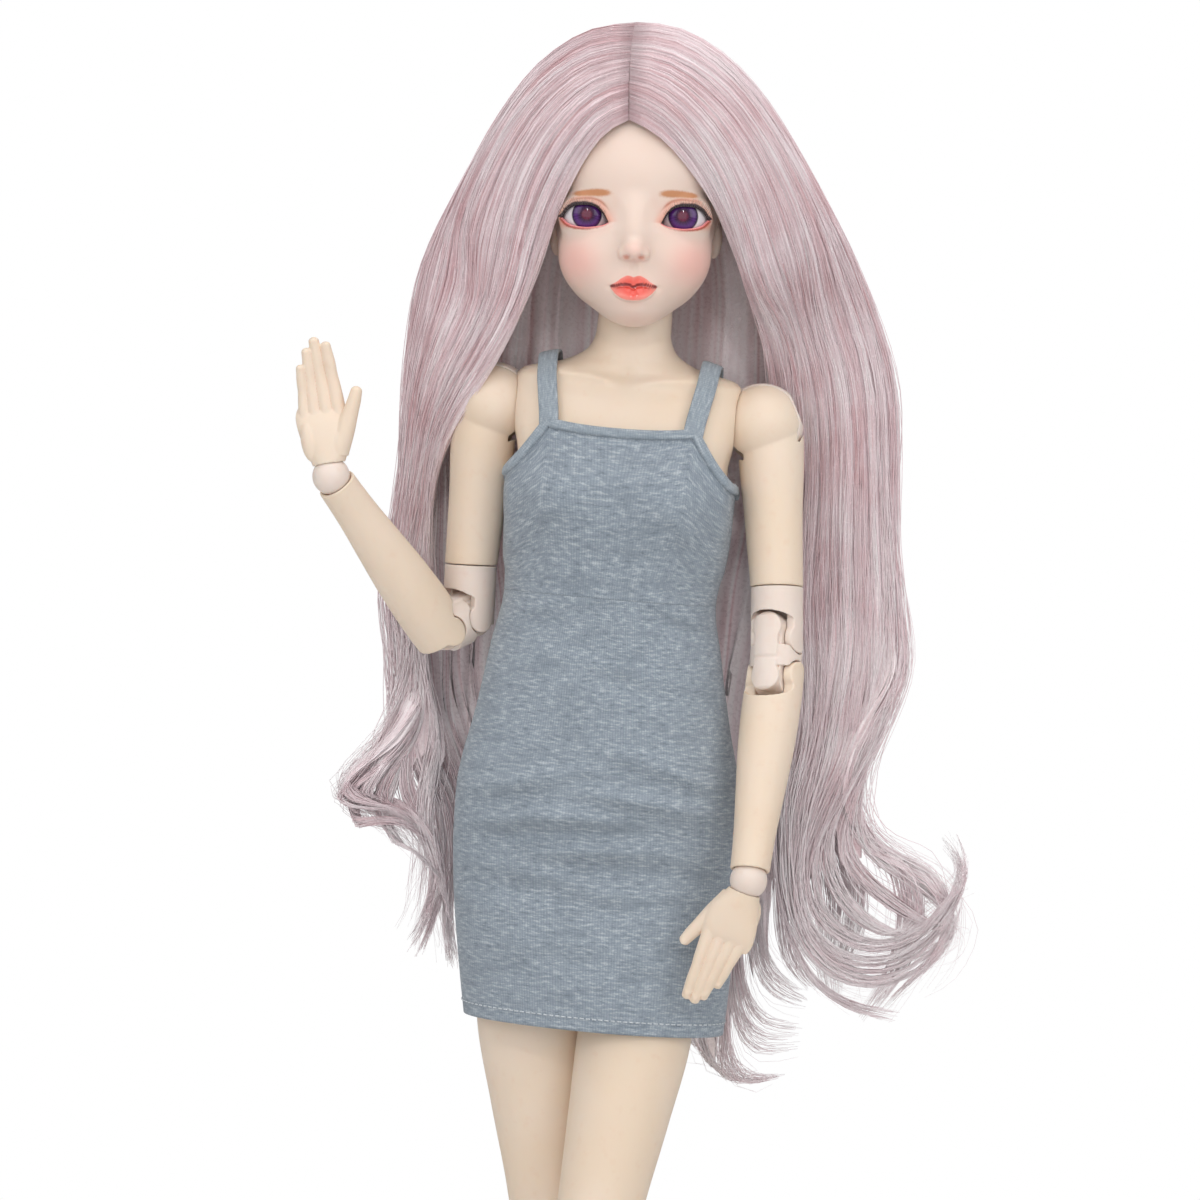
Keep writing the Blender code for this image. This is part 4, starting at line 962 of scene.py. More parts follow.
@dataclass
class Limb:
    """What arms and legs share: sockets, hinge discs and double joints.

    The size of a double joint is its tube's radius; sleeve is the radius that its shapes were drawn for.
    """

    side: Side
    torso: Torso
    sleeve: float = 8.5

    @property
    def s(self) -> int:
        """1 for the doll's left, -1 for its right."""
        return self.side.value

    def put(self, node_name: str, mesh: bpy.types.Mesh, finish: CastResin) -> None:
        """Settles a cast piece that stands for one CAD node of this side and rides its body."""
        name = f"{self.side.tag}_{node_name}"
        settle(name + "_cast", mesh, finish, name, [name])

    def clevis(self, ob: bpy.types.Object, at: Matrix, radius: float, slot: float) -> None:
        """Opens a ball end for its hinge disc and pin."""
        Bench.join(ob, Bench.rod(at, radius + GAP, -slot, slot, "Y"))
        Bench.join(ob, Bench.rod(at, 1.8, -slot - 3.6, slot + 3.6, "Y", 24))

    def disc(self, at: Matrix, radius: float, slot: float,
             cuts: Sequence[bpy.types.Object] = ()) -> bpy.types.Mesh:
        """The hinge disc: the middle slice of the same ball, less what is cut off it."""
        thin = slot - GAP
        disc = Bench.ball(at, radius, sides=96)
        for cut in cuts:
            Bench.join(disc, cut)
        Bench.join(disc, Bench.block(at, (-40, -thin, -40), (40, thin, 40)), "INTERSECT")
        Bench.join(disc, Bench.rod(at, 1.8, -slot - 1, slot + 1, "Y", 24))
        return Bench.cast(disc, 0.45, 3)

    def hinge_end(self, ob: bpy.types.Object, at: Matrix, size: float, down: int = 1) -> None:
        """Shapes a tube's end into the two prongs of a double joint.

        Args:
            ob: The tube.
            at: The pivot's frame; the limb bends towards -Y.
            size: The tube's radius.
            down: 1 where the tube comes from above the pivot, -1 where it comes from below.
        """
        k, d = size / self.sleeve, down
        arch = Bench.ball(at @ move(0, -4 * k, 0), 10 * k)
        low, high = (-20 * k, -2.2 * k) if d > 0 else (2.2 * k, 20 * k)
        Bench.join(arch, Bench.block(at, (-20 * k, -20 * k, low), (20 * k, 20 * k, high)), "UNION")
        for side in (1, -1):
            inner, outer = sorted((side * 5.1 * k, side * 14 * k))
            eye = Bench.rod(at, 4.7 * k, inner, outer, "X")
            low, high = (0, 12 * k) if d > 0 else (-12 * k, 0)
            strap = Bench.block(at, (inner, -3.2 * k, low), (outer, 3.2 * k, high))
            Bench.join(arch, Bench.join(eye, strap, "UNION"))
        Bench.join(ob, arch)
        room = Bench.ball(at, 11.2 * k if d > 0 else 10.3 * k)
        slab = Bench.block(at, (-5.1 * k, -20 * k, -20 * k), (5.1 * k, 4.6 * k, 20 * k))
        Bench.join(room, slab, "INTERSECT")
        Bench.join(ob, room)
        Bench.join(ob, Bench.rod(at, 6.6 * k, -5.05 * k, 5.05 * k, "X"))
        Bench.join(ob, Bench.rod(at, 1.6 * k, -7.0 * k, 7.0 * k, "X", 24))

    def plate(self, at: Matrix, size: float, span: float) -> bpy.types.Object:
        """The link's rounded front: a head in the arch, a narrower middle and a lobe in the cup."""
        k = size / self.sleeve
        plate, lobe = (Bench.rod(at @ move(0, 0, z), 4.95 * k, -9.6 * k, -1.0, "Y", 72)
                       for z in (3.0 * k, -span - 0.6 * k))
        Bench.join(plate, lobe, "UNION")
        middle = Bench.block(at, (-4.1 * k, -9.6 * k, -span), (4.1 * k, -1.0, 2.6 * k))
        Bench.join(plate, middle, "UNION")
        Bench.join(plate, Bench.rod(at, size + 0.35, -40, 40), "INTERSECT")
        reach = Bench.ball(at, 10.9 * k)
        Bench.join(reach, Bench.ball(at @ move(0, 0, -span), 9.9 * k), "UNION")
        return Bench.join(plate, reach, "INTERSECT")

    def double_link(self, at: Matrix, size: float, span: float) -> bpy.types.Mesh:
        """The link between two pivots: two rounded heads, a waist and side lobes."""
        k = size / self.sleeve
        link = Bench.rod(at, size - 0.1, -span + 2.8 * k, -2.8 * k)
        pivots = [at, at @ move(0, 0, -span)]
        for pivot in pivots:
            Bench.join(link, Bench.rod(pivot, 5.2 * k, -12 * k, 12 * k, "X"))
        core = Bench.block(at, (-4.8 * k, -6.2 * k, -span), (4.8 * k, 5.0 * k, 0))
        for pivot in pivots:
            Bench.join(core, Bench.rod(pivot, 6.3 * k, -4.8 * k, 4.8 * k, "X"), "UNION")
        Bench.join(link, core, "UNION")
        Bench.join(link, self.plate(at, size, span), "UNION")
        for pivot in pivots:
            Bench.join(link, Bench.rod(pivot, 1.6 * k, -6 * k, 6 * k, "X", 24))
        mark_at = at @ move(0, -6.4 * k, -span - 0.2 * k)
        Bench.join(link, Bench.block(mark_at, (-0.22, -1.4, -1.5 * k), (0.22, 1.0, 1.5 * k)))
        return Bench.cast(link, 0.27 if size < 10 else 0.4, 4)


@dataclass
class Arm(Limb):
    """Seven pieces from the shoulder disc to the hand."""

    offset: float = 2.0
    upper: float = 53.4
    lean: float = 3.0
    sleeve_long: float = 17.0
    gap: float = 12.4
    fore: float = 67.4
    drift: float = 2.3
    slot: float = 5.5
    wrist: float = 6.0
    upper_rows: tuple = ((0.0, 11.0, 10.2, 1.05), (-5.0, 11.0, 10.6, 1.1), (-10.5, 10.7, 10.5, 1.17),
                         (-18.0, 10.3, 9.9, 1.12), (-28.0, 9.6, 9.3, 1.05), (-40.0, 9.1, 9.0, 1.0),
                         (-49.0, 8.7, 8.6, 1.0), (-54.8, 8.5, 8.5, 1.0))
    fore_rows: tuple = ((5.2, 9.1, 9.1), (0.0, 9.3, 9.3), (-10.0, 9.5, 9.4), (-22.0, 9.2, 9.0),
                        (-38.0, 8.0, 7.8), (-52.0, 6.9, 6.7), (-60.0, 6.5, 6.4), (-64.2, 6.4, 6.3))

    def slope(self, at: Matrix, proud: float) -> bpy.types.Object:
        """What is taken off the shoulder's ball so that it slopes outward to the arm."""
        place = at @ move(self.s * 10.9, 0, 3.0) @ turn("Y", -self.s * 19.0) @ move(self.s * proud, 0, 0)
        low, high = sorted((0.0, self.s * 20.0))
        return Bench.block(place, (low, -40, -6.5), (high, 40, 40))

    def frames(self) -> dict[str, Matrix]:
        """The joint frames from the shoulder to the hand, in the photographed pose."""
        pose, s = ARM_POSE[self.side], self.s
        shoulder = move(s * self.torso.shoulder[0], *self.torso.shoulder[1:])
        upper = shoulder @ turn("X", -pose["swing"]) @ turn("Y", -s * pose["raise"])
        sleeve = (upper @ move(s * self.offset, 0, -self.upper) @ turn("Y", s * self.lean)
                  @ turn("Z", pose["turn"]))
        link = sleeve @ move(0, 0, -self.sleeve_long) @ turn("X", -pose["elbow"])
        fore = link @ move(0, 0, -self.gap) @ turn("X", -pose["elbow"])
        wrist = fore @ move(-s * self.drift, 0, -self.fore)
        at = Matrix.Translation(wrist.translation) @ turn("Y", s * pose["hand"])
        hand = at if s > 0 else at @ turn("X", 180)
        return {"upper": upper, "sleeve": sleeve, "link": link, "fore": fore, "wrist": wrist,
                "hand": hand}

    def build(self) -> None:
        """Casts the arm's pieces."""
        s, at = self.s, self.frames()
        radius = self.torso.shoulder_radius
        rows = [(z, a, b, s * self.offset * share) for z, a, b, share in self.upper_rows]
        upper = Bench.join(Bench.ball(at["upper"], radius, sides=96), self.slope(at["upper"], 0.0))
        Bench.join(upper, Bench.tube(at["upper"], [(*r, 0.0) for r in rows]), "UNION")
        below = at["sleeve"] @ move(0, 0, GAP / 2)
        Bench.join(upper, Bench.block(below, (-30, -30, -30), (30, 30, 0)))
        self.clevis(upper, at["upper"], radius, self.slot)
        self.put("upper_arm", Bench.cast(upper, 0.4), BODY)
        chord = Bench.block(at["upper"], (-40, -40, -40), (40, 40, -7.5))
        disc = self.disc(at["upper"], radius, self.slot, [self.slope(at["upper"], 0.8), chord])
        self.put("shoulder_disc", disc, JOINT)

        end = -self.sleeve_long - 5.2
        rows = [(end, 8.5, 8.5), (-self.sleeve_long, 8.5, 8.5), (-GAP / 2, 8.5, 8.5)]
        tube = Bench.tube(at["sleeve"], rows)
        self.hinge_end(tube, at["sleeve"] @ move(0, 0, -self.sleeve_long), self.sleeve)
        self.put("elbow_sleeve", Bench.cast(tube, 0.27, 4), JOINT)
        self.put("elbow_link", self.double_link(at["link"], self.sleeve, self.gap), JOINT)

        tilt = -s * self.drift / self.fore
        rows = [(z, a, b, -tilt * min(z, 0.0), 0.0) for z, a, b in self.fore_rows]
        fore = Bench.tube(at["fore"], rows)
        self.hinge_end(fore, at["fore"], self.sleeve, down=-1)
        Bench.join(fore, Bench.ball(at["wrist"], self.wrist + GAP))
        self.put("forearm", Bench.cast(fore, 0.36, 4), BODY)
        self.put("wrist_ball", Bench.cast(Bench.ball(at["wrist"], self.wrist), 0.4, 2), JOINT)
        Hand(self.side).build(at["hand"], self.wrist)


@dataclass
class Hand:
    """Palm with a cup for the wrist ball, four fingers and a thumb.

    Fingers point along -Z and the back of the hand faces -Y. Each finger lists its place across
    the palm, its length, its radius and its spread in degrees.
    """

    side: Side
    palm: float = 21.0

    KNUCKLES = (1.0, 1.06, 0.97, 0.86, 0.9, 0.8, 0.72)
    FINGERS = {
        Side.LEFT: ((-6.6, 22.0, 2.2, -1.0), (-2.3, 22.5, 2.25, 3.0), (1.9, 20.5, 2.15, 9.0),
                    (5.6, 15.5, 1.9, 14.0)),
        Side.RIGHT: ((-6.4, 21.5, 2.2, -3.0), (-2.2, 23.5, 2.25, -1.0), (2.1, 20.5, 2.15, 3.0),
                     (5.9, 15.5, 1.9, 8.0)),
    }

    @staticmethod
    def bone(at: Matrix, path: Sequence[Point], radii: Sequence[float],
             flat: float = 1.0) -> bpy.types.Object:
        """A bent, tapered rod with round ends, thicker at its knuckles.

        Args:
            at: The frame that the path is in.
            path: Places along the middle.
            radii: The radius at each place.
            flat: Depth for each unit of width.

        Returns:
            The solid on the bench.
        """
        knots = np.linspace(0, 1, len(path))
        length = float(np.linalg.norm(np.array(path[-1]) - np.array(path[0])))
        round_end = radii[-1] / length
        tip = 1 - round_end * (1 - np.sin(np.linspace(0.2, 1.5, 9)))
        t = np.concatenate([np.linspace(0, 1 - round_end, 34), tip])
        middle = np.stack([eased(t, knots, [p[k] for p in path]) for k in range(3)], axis=1)
        along = unit(np.gradient(middle, axis=0))
        across = unit(np.cross(along, (0.0, 1.0, 0.0)))
        other = np.cross(along, across)
        past = np.clip(t - 1 + round_end, 0, 1) / round_end
        size = eased(t, knots, radii) * np.sqrt(np.clip(1 - past ** 2, 0.02, 1))
        w = 2 * np.pi * np.arange(28) / 28
        rings = (middle[:, None] + across[:, None] * (np.cos(w)[:, None] * size[:, None, None])
                 + other[:, None] * (np.sin(w)[:, None] * size[:, None, None] * flat))
        return Bench.loft(at, rings)

    def nail(self, at: Matrix, tip: np.ndarray, back: np.ndarray, radius: float) -> bpy.types.Object:
        """A thin oval nail laid on the back of a finger's tip."""
        along = np.array(back) - np.array(tip)
        tilt = math.degrees(math.atan2(along[0], along[2]))
        place = move(*(np.array(tip) + along * 0.42)) @ turn("Y", tilt) @ move(0, -radius * 0.74, 0)
        return Bench.ball(at @ place, 1.0, (radius * 0.66, 0.42, radius * 1.0), 32)

    def build(self, at: Matrix, wrist: float) -> None:
        """Casts the hand at its frame."""
        s = self.side.value
        rows = ((-3.9, 5.2, 4.9, 0.0, 0.0, 2.0), (-7.0, 6.4, 4.7, -0.4 * s, 0.0, 2.0),
                (-12.0, 8.3, 4.1, -0.8 * s, 0.2, 2.2), (-17.0, 8.7, 3.3, -0.5 * s, 0.1, 2.4),
                (-19.2, 8.6, 2.6, -0.3 * s, 0.0, 2.4),
                (-21.2, 8.2, 1.6, -0.2 * s, 0.0, 2.3), (-22.8, 7.5, 0.6, -0.2 * s, 0.0, 2.2))
        hand = Bench.tube(at, rows, 0.7)
        for across, length, radius, spread in self.FINGERS[self.side]:
            lean = math.tan(math.radians(spread))
            start = np.array((across * s * 0.94, 0.2, -self.palm + 5.0))
            end = np.array((across * s - lean * length * s, 2.6, -self.palm - length))
            path = [start + (end - start) * t + np.array((0, -1.1 * math.sin(math.pi * t), 0))
                    for t in (0.0, 0.2, 0.45, 0.6, 0.74, 0.88, 1.0)]
            radii = [radius * k for k in self.KNUCKLES]
            Bench.join(hand, self.bone(at, [tuple(p) for p in path], radii, 0.94), "UNION")
            Bench.join(hand, self.nail(at, path[-1], path[-3], radius * 0.84), "UNION")
        path = ((-3.6 * s, 0.6, -7.0), (-7.0 * s, 1.5, -13.5), (-9.8 * s, 2.1, -19.0),
                (-11.6 * s, 2.5, -22.6), (-13.4 * s, 2.8, -26.8))
        Bench.join(hand, self.bone(at, path, (3.4, 3.1, 2.5, 2.2, 1.7)), "UNION")
        Bench.join(hand, self.nail(at, np.array(path[-1]), np.array(path[-2]), 1.9), "UNION")
        ball_of_thumb = at @ move(-5.0 * s, 1.6, -10.5) @ turn("Y", 22 * s)
        Bench.join(hand, Bench.ball(ball_of_thumb, 1.0, (3.0, 3.0, 6.2), 40), "UNION")
        heel = at @ move(4.6 * s, 1.4, -12.0)
        Bench.join(hand, Bench.ball(heel, 1.0, (3.0, 2.9, 6.8), 40), "UNION")
        Bench.join(hand, Bench.ball(at, wrist + GAP))
        mesh = Bench.cast(hand, 0.24, 5)
        name = f"{self.side.tag}_hand"
        settle(name + "_cast", mesh, BODY, name, [name])


@dataclass
class Leg(Limb):
    """Seven pieces from the hip disc to the foot."""

    thigh: float = 138.0
    sleeve_long: float = 22.5
    gap: float = 17.5
    shin: float = 124.0
    knee: float = 12.0
    slot: float = 6.5
    ankle: float = 7.5
    ankle_high: float = 28.0
    thigh_rows: tuple = ((-4.0, 11.6, 11.6, 0.0), (-13.0, 14.6, 14.0, 0.0), (-21.0, 16.6, 15.2, 0.0),
                         (-34.0, 18.1, 15.8, 0.4), (-47.0, 18.5, 15.8, 1.0), (-74.0, 16.5, 15.0, 0.7),
                         (-102.0, 14.1, 13.5, 0.2), (-137.85, 12.2, 12.4, 0.0))
    shin_rows: tuple = ((7.34, 12.0, 12.0, 0.0), (0.0, 12.2, 12.2, 0.0), (-14.0, 12.4, 12.6, 0.4),
                        (-34.0, 13.0, 13.6, 2.0), (-56.0, 11.8, 12.2, 1.8), (-82.0, 9.2, 9.6, 0.8),
                        (-106.0, 7.6, 8.0, 0.0), (-119.8, 7.9, 8.0, 0.0))
    sole: tuple = ((19.0, 5.5, 9.0), (16.0, 9.0, 15.0), (10.0, 10.2, 21.0), (6.0, 10.6, 25.2),
                   (-4.0, 10.9, 24.8), (-15.0, 11.6, 18.5), (-28.0, 13.4, 13.0), (-39.0, 14.3, 9.6),
                   (-47.0, 13.6, 7.2), (-50.5, 11.0, 5.0))
    toes: tuple = ((-9.0, 3.7, -59.0), (-2.6, 2.9, -58.0), (2.7, 2.7, -56.2), (7.2, 2.5, -53.6),
                   (11.1, 2.4, -50.2))

    def frames(self) -> dict[str, Matrix]:
        """The joint frames from the hip to the foot; knees bend towards +Y."""
        pose, s = LEG_STANCE[self.side], self.s
        thigh = self.torso.hip_frame(self.side) @ turn("X", -pose["swing"]) @ turn("Y", s * pose["lean"])
        sleeve = thigh @ move(0, 0, -self.thigh)
        link = sleeve @ move(0, 0, -self.sleeve_long)
        shin = link @ move(0, 0, -self.gap)
        place = (shin @ move(s * pose["drift"], 0, -self.shin)).translation
        foot = move(place.x, place.y, self.ankle_high) @ turn("Z", s * pose["toe_out"])
        return {"thigh": thigh, "sleeve": sleeve, "link": link, "shin": shin, "foot": foot}

    def build(self) -> None:
        """Casts the leg's pieces."""
        s, at = self.s, self.frames()
        radius, k, back = self.torso.hip_radius, self.knee / self.sleeve, turn("Z", 180)
        thigh = Bench.ball(at["thigh"], radius, sides=96)
        rows = [(z, a, b, s * out, 0.0) for z, a, b, out in self.thigh_rows]
        Bench.join(thigh, Bench.tube(at["thigh"], rows), "UNION")
        self.clevis(thigh, at["thigh"], radius, self.slot)
        self.put("thigh", Bench.cast(thigh, 0.6), BODY)
        self.put("hip_disc", self.disc(at["thigh"], radius, self.slot), JOINT)

        end = -self.sleeve_long - 5.2 * k
        rows = [(end, 12.0, 12.0), (-self.sleeve_long, 12.0, 12.0), (-GAP / 2, 12.2, 12.2)]
        tube = Bench.tube(at["sleeve"], rows)
        self.hinge_end(tube, at["sleeve"] @ move(0, 0, -self.sleeve_long) @ back, self.knee)
        self.put("knee_sleeve", Bench.cast(tube, 0.4, 4), JOINT)
        self.put("knee_link", self.double_link(at["link"] @ back, self.knee, self.gap), JOINT)

        tilt = s * LEG_STANCE[self.side]["drift"] / self.shin
        rows = [(z, a, b, -tilt * min(z, 0.0), y) for z, a, b, y in self.shin_rows]
        shin = Bench.tube(at["shin"], rows)
        self.hinge_end(shin, at["shin"] @ back, self.knee, down=-1)
        Bench.join(shin, Bench.ball(at["foot"], self.ankle + GAP))
        self.put("shin", Bench.cast(shin, 0.52), BODY)
        self.put("ankle_ball", Bench.cast(Bench.ball(at["foot"], self.ankle), 0.45, 2), JOINT)
        self.put("foot", self.cast_foot(at["foot"]), BODY)

    def cast_foot(self, at: Matrix) -> bpy.types.Mesh:
        """A flat soled foot with five toes and a cup for the ankle ball."""
        rows = sorted(self.sole)
        y = np.linspace(rows[0][0], rows[-1][0], 90)[:, None]
        wide = eased(y, [r[0] for r in rows], [r[1] for r in rows])
        tall = eased(y, [r[0] for r in rows], [r[2] for r in rows])
        w = 2 * np.pi * (np.arange(72)[None, :] + 0.5) / 72
        c, sn = np.cos(w), np.sin(w)
        up = rounded(sn, 0.8)
        high = tall / 2 * (1 + up) * ramp(up, -0.95, -0.45)
        x = wide * rounded(c, 0.8)
        places = np.stack(np.broadcast_arrays(x, y, high - self.ankle_high), axis=-1)
        foot = Bench.loft(at, places)
        for out, radius, tip in self.toes:
            start = (self.s * out * 0.85, -40.0, radius + 0.6 - self.ankle_high)
            middle = (self.s * out, tip + 7.0, radius + 1.1 - self.ankle_high)
            end = (self.s * out, tip, radius + 0.1 - self.ankle_high)
            Bench.join(foot, self.toe(at, start, middle, end, radius), "UNION")
        Bench.join(foot, Bench.ball(at, self.ankle + GAP))
        return Bench.cast(foot, 0.45, 5)

    @staticmethod
    def toe(at: Matrix, start: Point, middle: Point, end: Point, radius: float) -> bpy.types.Object:
        """One toe, with its nail, from the ball of the foot to its tip."""
        toe = Bench.ball(at @ move(*end) @ move(0, radius, 0), radius, (1.0, 1.05, 0.95), 40)
        for a, b, size, share in ((start, middle, 0.92, 1.0), (middle, end, 0.86, 0.6)):
            along = (Vector(b) - Vector(a)) * share
            tilt = along.to_track_quat("Z", "Y").to_matrix().to_4x4()
            Bench.join(toe, Bench.rod(at @ move(*a) @ tilt, radius * size, 0.0, along.length), "UNION")
        nail = at @ move(*end) @ move(0, radius * 1.1, radius * 0.72) @ turn("X", -12)
        return Bench.join(toe, Bench.ball(nail, 1.0, (radius * 0.62, radius * 0.7, 0.5), 32), "UNION")


class Skull:
    """The head's outer surface: soft ellipsoids blended into one skin.

    Each blob is (centre, radii, blend), in millimetres from the middle of the head.
    """

    FORMS = (
        ((0, 3, 8), (30.5, 35, 35.5), 6.0), ((0, -14, 6), (24, 19.5, 20), 6.0),
        ((0, -9, -13), (25.2, 23.5, 22), 5.0), ((0, -6.5, -24.5), (22.4, 20.5, 16.3), 5.0),
        ((0, -16.5, -34.3), (11.0, 14, 9.4), 7.0), ((12.5, -16.5, -22), (11, 13, 11), 5.0),
        ((0, -30.3, -12.5), (3.5, 4.2, 9.0), 4.5), ((0, -34.4, -20.2), (3.4, 3.7, 2.9), 2.6),
        ((3.0, -32.4, -21.3), (2.0, 2.9, 1.8), 1.5),
    )
    SOCKET = ((15.3, -37.5, -8.5), (10.0, 7.5, 6.0), 4.0)
    LIDS = ((15.3, -21.0, -8.9), (9.3, 9.3, 9.3), 2.2)
    EAR = ((25.2, 7.8, -13.0), (2.6, 5.4, 7.6))

    @staticmethod
    def blob(points: np.ndarray, centre: Point, radii: Point) -> np.ndarray:
        """Signed distance, nearly, from points to one ellipsoid and its mirror image."""
        p = np.abs(points * (1, 0, 0)) + points * (0, 1, 1) - np.array(centre, float)
        r = np.array(radii, float)
        near = np.linalg.norm(p / r, axis=1)
        steep = np.linalg.norm(p / (r * r), axis=1) + 1e-9
        return near * (near - 1.0) / steep

    @staticmethod
    def blend(a: np.ndarray, b: np.ndarray, width: float) -> np.ndarray:
        """The lower of two distances, rounded where they cross."""
        h = np.clip(0.5 + 0.5 * (b - a) / width, 0.0, 1.0)
        return b * (1 - h) + a * h - width * h * (1 - h)

    @classmethod
    def distance(cls, points: np.ndarray) -> np.ndarray:
        """Distance from the head's skin, negative inside."""
        total = None
        for centre, radii, width in cls.FORMS:
            one = cls.blob(points, centre, radii)
            total = one if total is None else cls.blend(total, one, width)
        centre, radii, width = cls.SOCKET
        total = -cls.blend(-total, cls.blob(points, centre, radii), width)
        centre, radii, width = cls.LIDS
        return cls.blend(total, cls.blob(points, centre, radii), width)

    @classmethod
    def skin(cls, directions: np.ndarray) -> np.ndarray:
        """Where rays from the head's middle leave the skin."""
        d = directions / np.linalg.norm(directions, axis=1)[:, None]
        low, high = np.full(len(d), 15.0), np.full(len(d), 60.0)
        for _ in range(22):
            middle = (low + high) / 2
            inside = cls.distance(d * middle[:, None]) < 0
            low, high = np.where(inside, middle, low), np.where(inside, high, middle)
        return d * low[:, None]


@dataclass
class Face:
    """What is carved and painted on the head, in millimetres out from the midline and up."""

    eye: Point = (15.3, -21.2, -8.9)
    lid_out: tuple = (-6.7, -4.8, -2.2, 0.0, 3.3, 5.7, 7.9)
    lid_high: tuple = (-2.4, 0.6, 2.5, 2.9, 2.75, 1.75, -0.9)
    lid_low: tuple = (-2.4, -3.25, -3.7, -3.9, -3.6, -2.9, -0.9)
    lip_out: tuple = (0.0, 1.8, 3.6, 5.4, 7.8)
    lip_top: tuple = (-28.6, -28.1, -28.8, -30.1, -31.4)
    lip_line: tuple = (-31.8, -31.0, -31.0, -31.3, -31.45)
    lip_foot: tuple = (-36.0, -35.9, -35.4, -34.2, -31.6)

    def above_corners(self, out: np.ndarray, up: np.ndarray) -> np.ndarray:
        """Height of places above the line between the two corners of the eye."""
        corners = (self.lid_out[0], self.lid_out[-1])
        return up - np.interp(out, corners, (self.lid_high[0], self.lid_high[-1]))

    def lid(self, out: Any, upper: bool) -> np.ndarray:
        """Height of a lid's edge, from the eye's middle, at places out from it."""
        return eased(out, self.lid_out, self.lid_high if upper else self.lid_low)

    def lips(self, x: Any) -> tuple[np.ndarray, np.ndarray, np.ndarray]:
        """Heights of the upper lip's top, of the line between the lips and of the lower lip's foot."""
        tables = (self.lip_top, self.lip_line, self.lip_foot)
        return tuple(eased(np.abs(x), self.lip_out, table) for table in tables)

    def outline(self, count: int = 40) -> np.ndarray:
        """The eye opening's outline, out and up from the eye's middle."""
        inner, outer = self.lid_out[0], self.lid_out[-1]
        u = inner + (outer - inner) * (1 - np.cos(np.pi * np.linspace(0, 1, count))) / 2
        top = np.stack([u, self.lid(u, True)], axis=1)
        low = np.stack([u, self.lid(u, False)], axis=1)[1:-1][::-1]
        return np.concatenate([top, low])

    def around_eye(self, p: np.ndarray) -> tuple[np.ndarray, np.ndarray, np.ndarray]:
        """Distance from the eye opening, and the place out and up from the eye's middle."""
        out, up = np.abs(p[:, 0]) - self.eye[0], p[:, 2] - self.eye[2]
        gap = np.full(len(p), 50.0)
        near = (np.abs(out) < 14) & (np.abs(up) < 11) & (p[:, 1] < -8)
        ring = self.outline()
        a, b = ring, np.roll(ring, -1, axis=0)
        q = np.stack([out[near], up[near]], axis=1)[:, None]
        t = np.clip(((q - a) * (b - a)).sum(-1) / ((b - a) ** 2).sum(-1), 0, 1)
        gap[near] = np.linalg.norm(q - (a + (b - a) * t[..., None]), axis=-1).min(axis=1)
        inside = near & (up < self.lid(out, True)) & (up > self.lid(out, False))
        inside &= (out > self.lid_out[0]) & (out < self.lid_out[-1])
        gap[inside] *= -1
        return gap, out, up

    def carve(self, p: np.ndarray) -> np.ndarray:
        """How far the skin stands out of the plain head at places: lips, nostrils, lids."""
        x, z = p[:, 0], p[:, 2]
        side = np.abs(x)
        front = ramp(p[:, 1], -14.0, -22.0)
        top, line, foot = self.lips(x)
        inside = ramp(side, 7.6, 5.0)
        upper = np.clip((z - line) / (top - line + 0.02), 0, 1)
        lower = np.clip((line - z) / (line - foot + 0.02), 0, 1)
        shape = np.sin(np.pi * upper ** 0.8) * inside + 1.4 * np.sin(np.pi * lower ** 0.75) * inside
        shape += 1.5 * mound(x, 9.0, z + 31.5, 6.0)
        shape -= 0.45 * bell(z - line, 0.6) * ramp(side, 8.2, 6.6)
        shape -= 0.5 * mound(side - 7.9, 0.8, z + 31.4, 0.8)
        shape -= 0.35 * mound(x, 5.0, z + 37.2, 1.3)
        shape -= 0.3 * bell(x, 0.9) * ramp(z, -27.6, -26.2) * ramp(z, -22.8, -24.0)
        shape += 0.16 * bell(side - 1.7, 0.6) * ramp(z, -28.2, -26.5) * ramp(z, -23.0, -24.4)
        shape -= 1.5 * mound(side - 2.3, 1.0, z + 22.5, 0.62)
        shape -= 0.15 * mound(side - 5.3, 0.7, z + 21.0, 1.8)
        gap, out, up = self.around_eye(p)
        upward = ramp(self.above_corners(out, up), -0.6, 0.6)
        rim = np.clip(1 - np.maximum(gap, 0) / 0.7, 0, 1)
        shape -= 0.5 * (1 - np.sqrt(np.clip(1 - rim ** 2, 0, 1)))
        shape += 0.35 * bell(gap - 1.0, 0.8) * upward
        shape -= 0.45 * bell(gap - 2.1, 0.32) * upward * ramp(np.abs(out), 7.5, 5.5)
        shape += 0.18 * bell(gap - 1.1, 0.7) * (1 - upward)
        return shape * front

    def paint(self, mesh: bpy.types.Mesh, p: np.ndarray) -> None:
        """Stores each layer of make-up on the mesh, from places in the head's frame."""
        x, z = p[:, 0], p[:, 2]
        side = np.abs(x)
        front = ramp(p[:, 1], -10.0, -18.0)
        gap, out, up = self.around_eye(p)
        near = np.maximum(gap, 0)
        level = self.above_corners(out, up)
        upward, downward = ramp(level, -0.5, 0.5), ramp(level, 0.5, -0.5)

        cheeks = 0.85 * mound(side - 18.6, 8.6, z + 23.4, 8.6)
        nose_tip = 0.45 * mound(x, 4.0, z + 19.8, 3.0)
        chin_tip = 0.3 * mound(x, 60 ** 0.5, z + 42.0, 10 ** 0.5)
        inner_eye = 0.35 * bell(near, 3.2) * ramp(out, 4.0, -6.0)
        mouth = 0.25 * mound(x, 9.5, z + 31.6, 6.5)

        thick = np.interp(out, (-6.7, -4.0, 0.0, 4.0, 7.9), (0.35, 0.95, 1.5, 1.7, 1.3))
        wing = 0.9 * mound(out - 8.3, 1.0, up + 0.5, 0.6)
        liner = np.maximum(1.15 - 0.8 * near / thick, wing) * upward + wing * 0.4

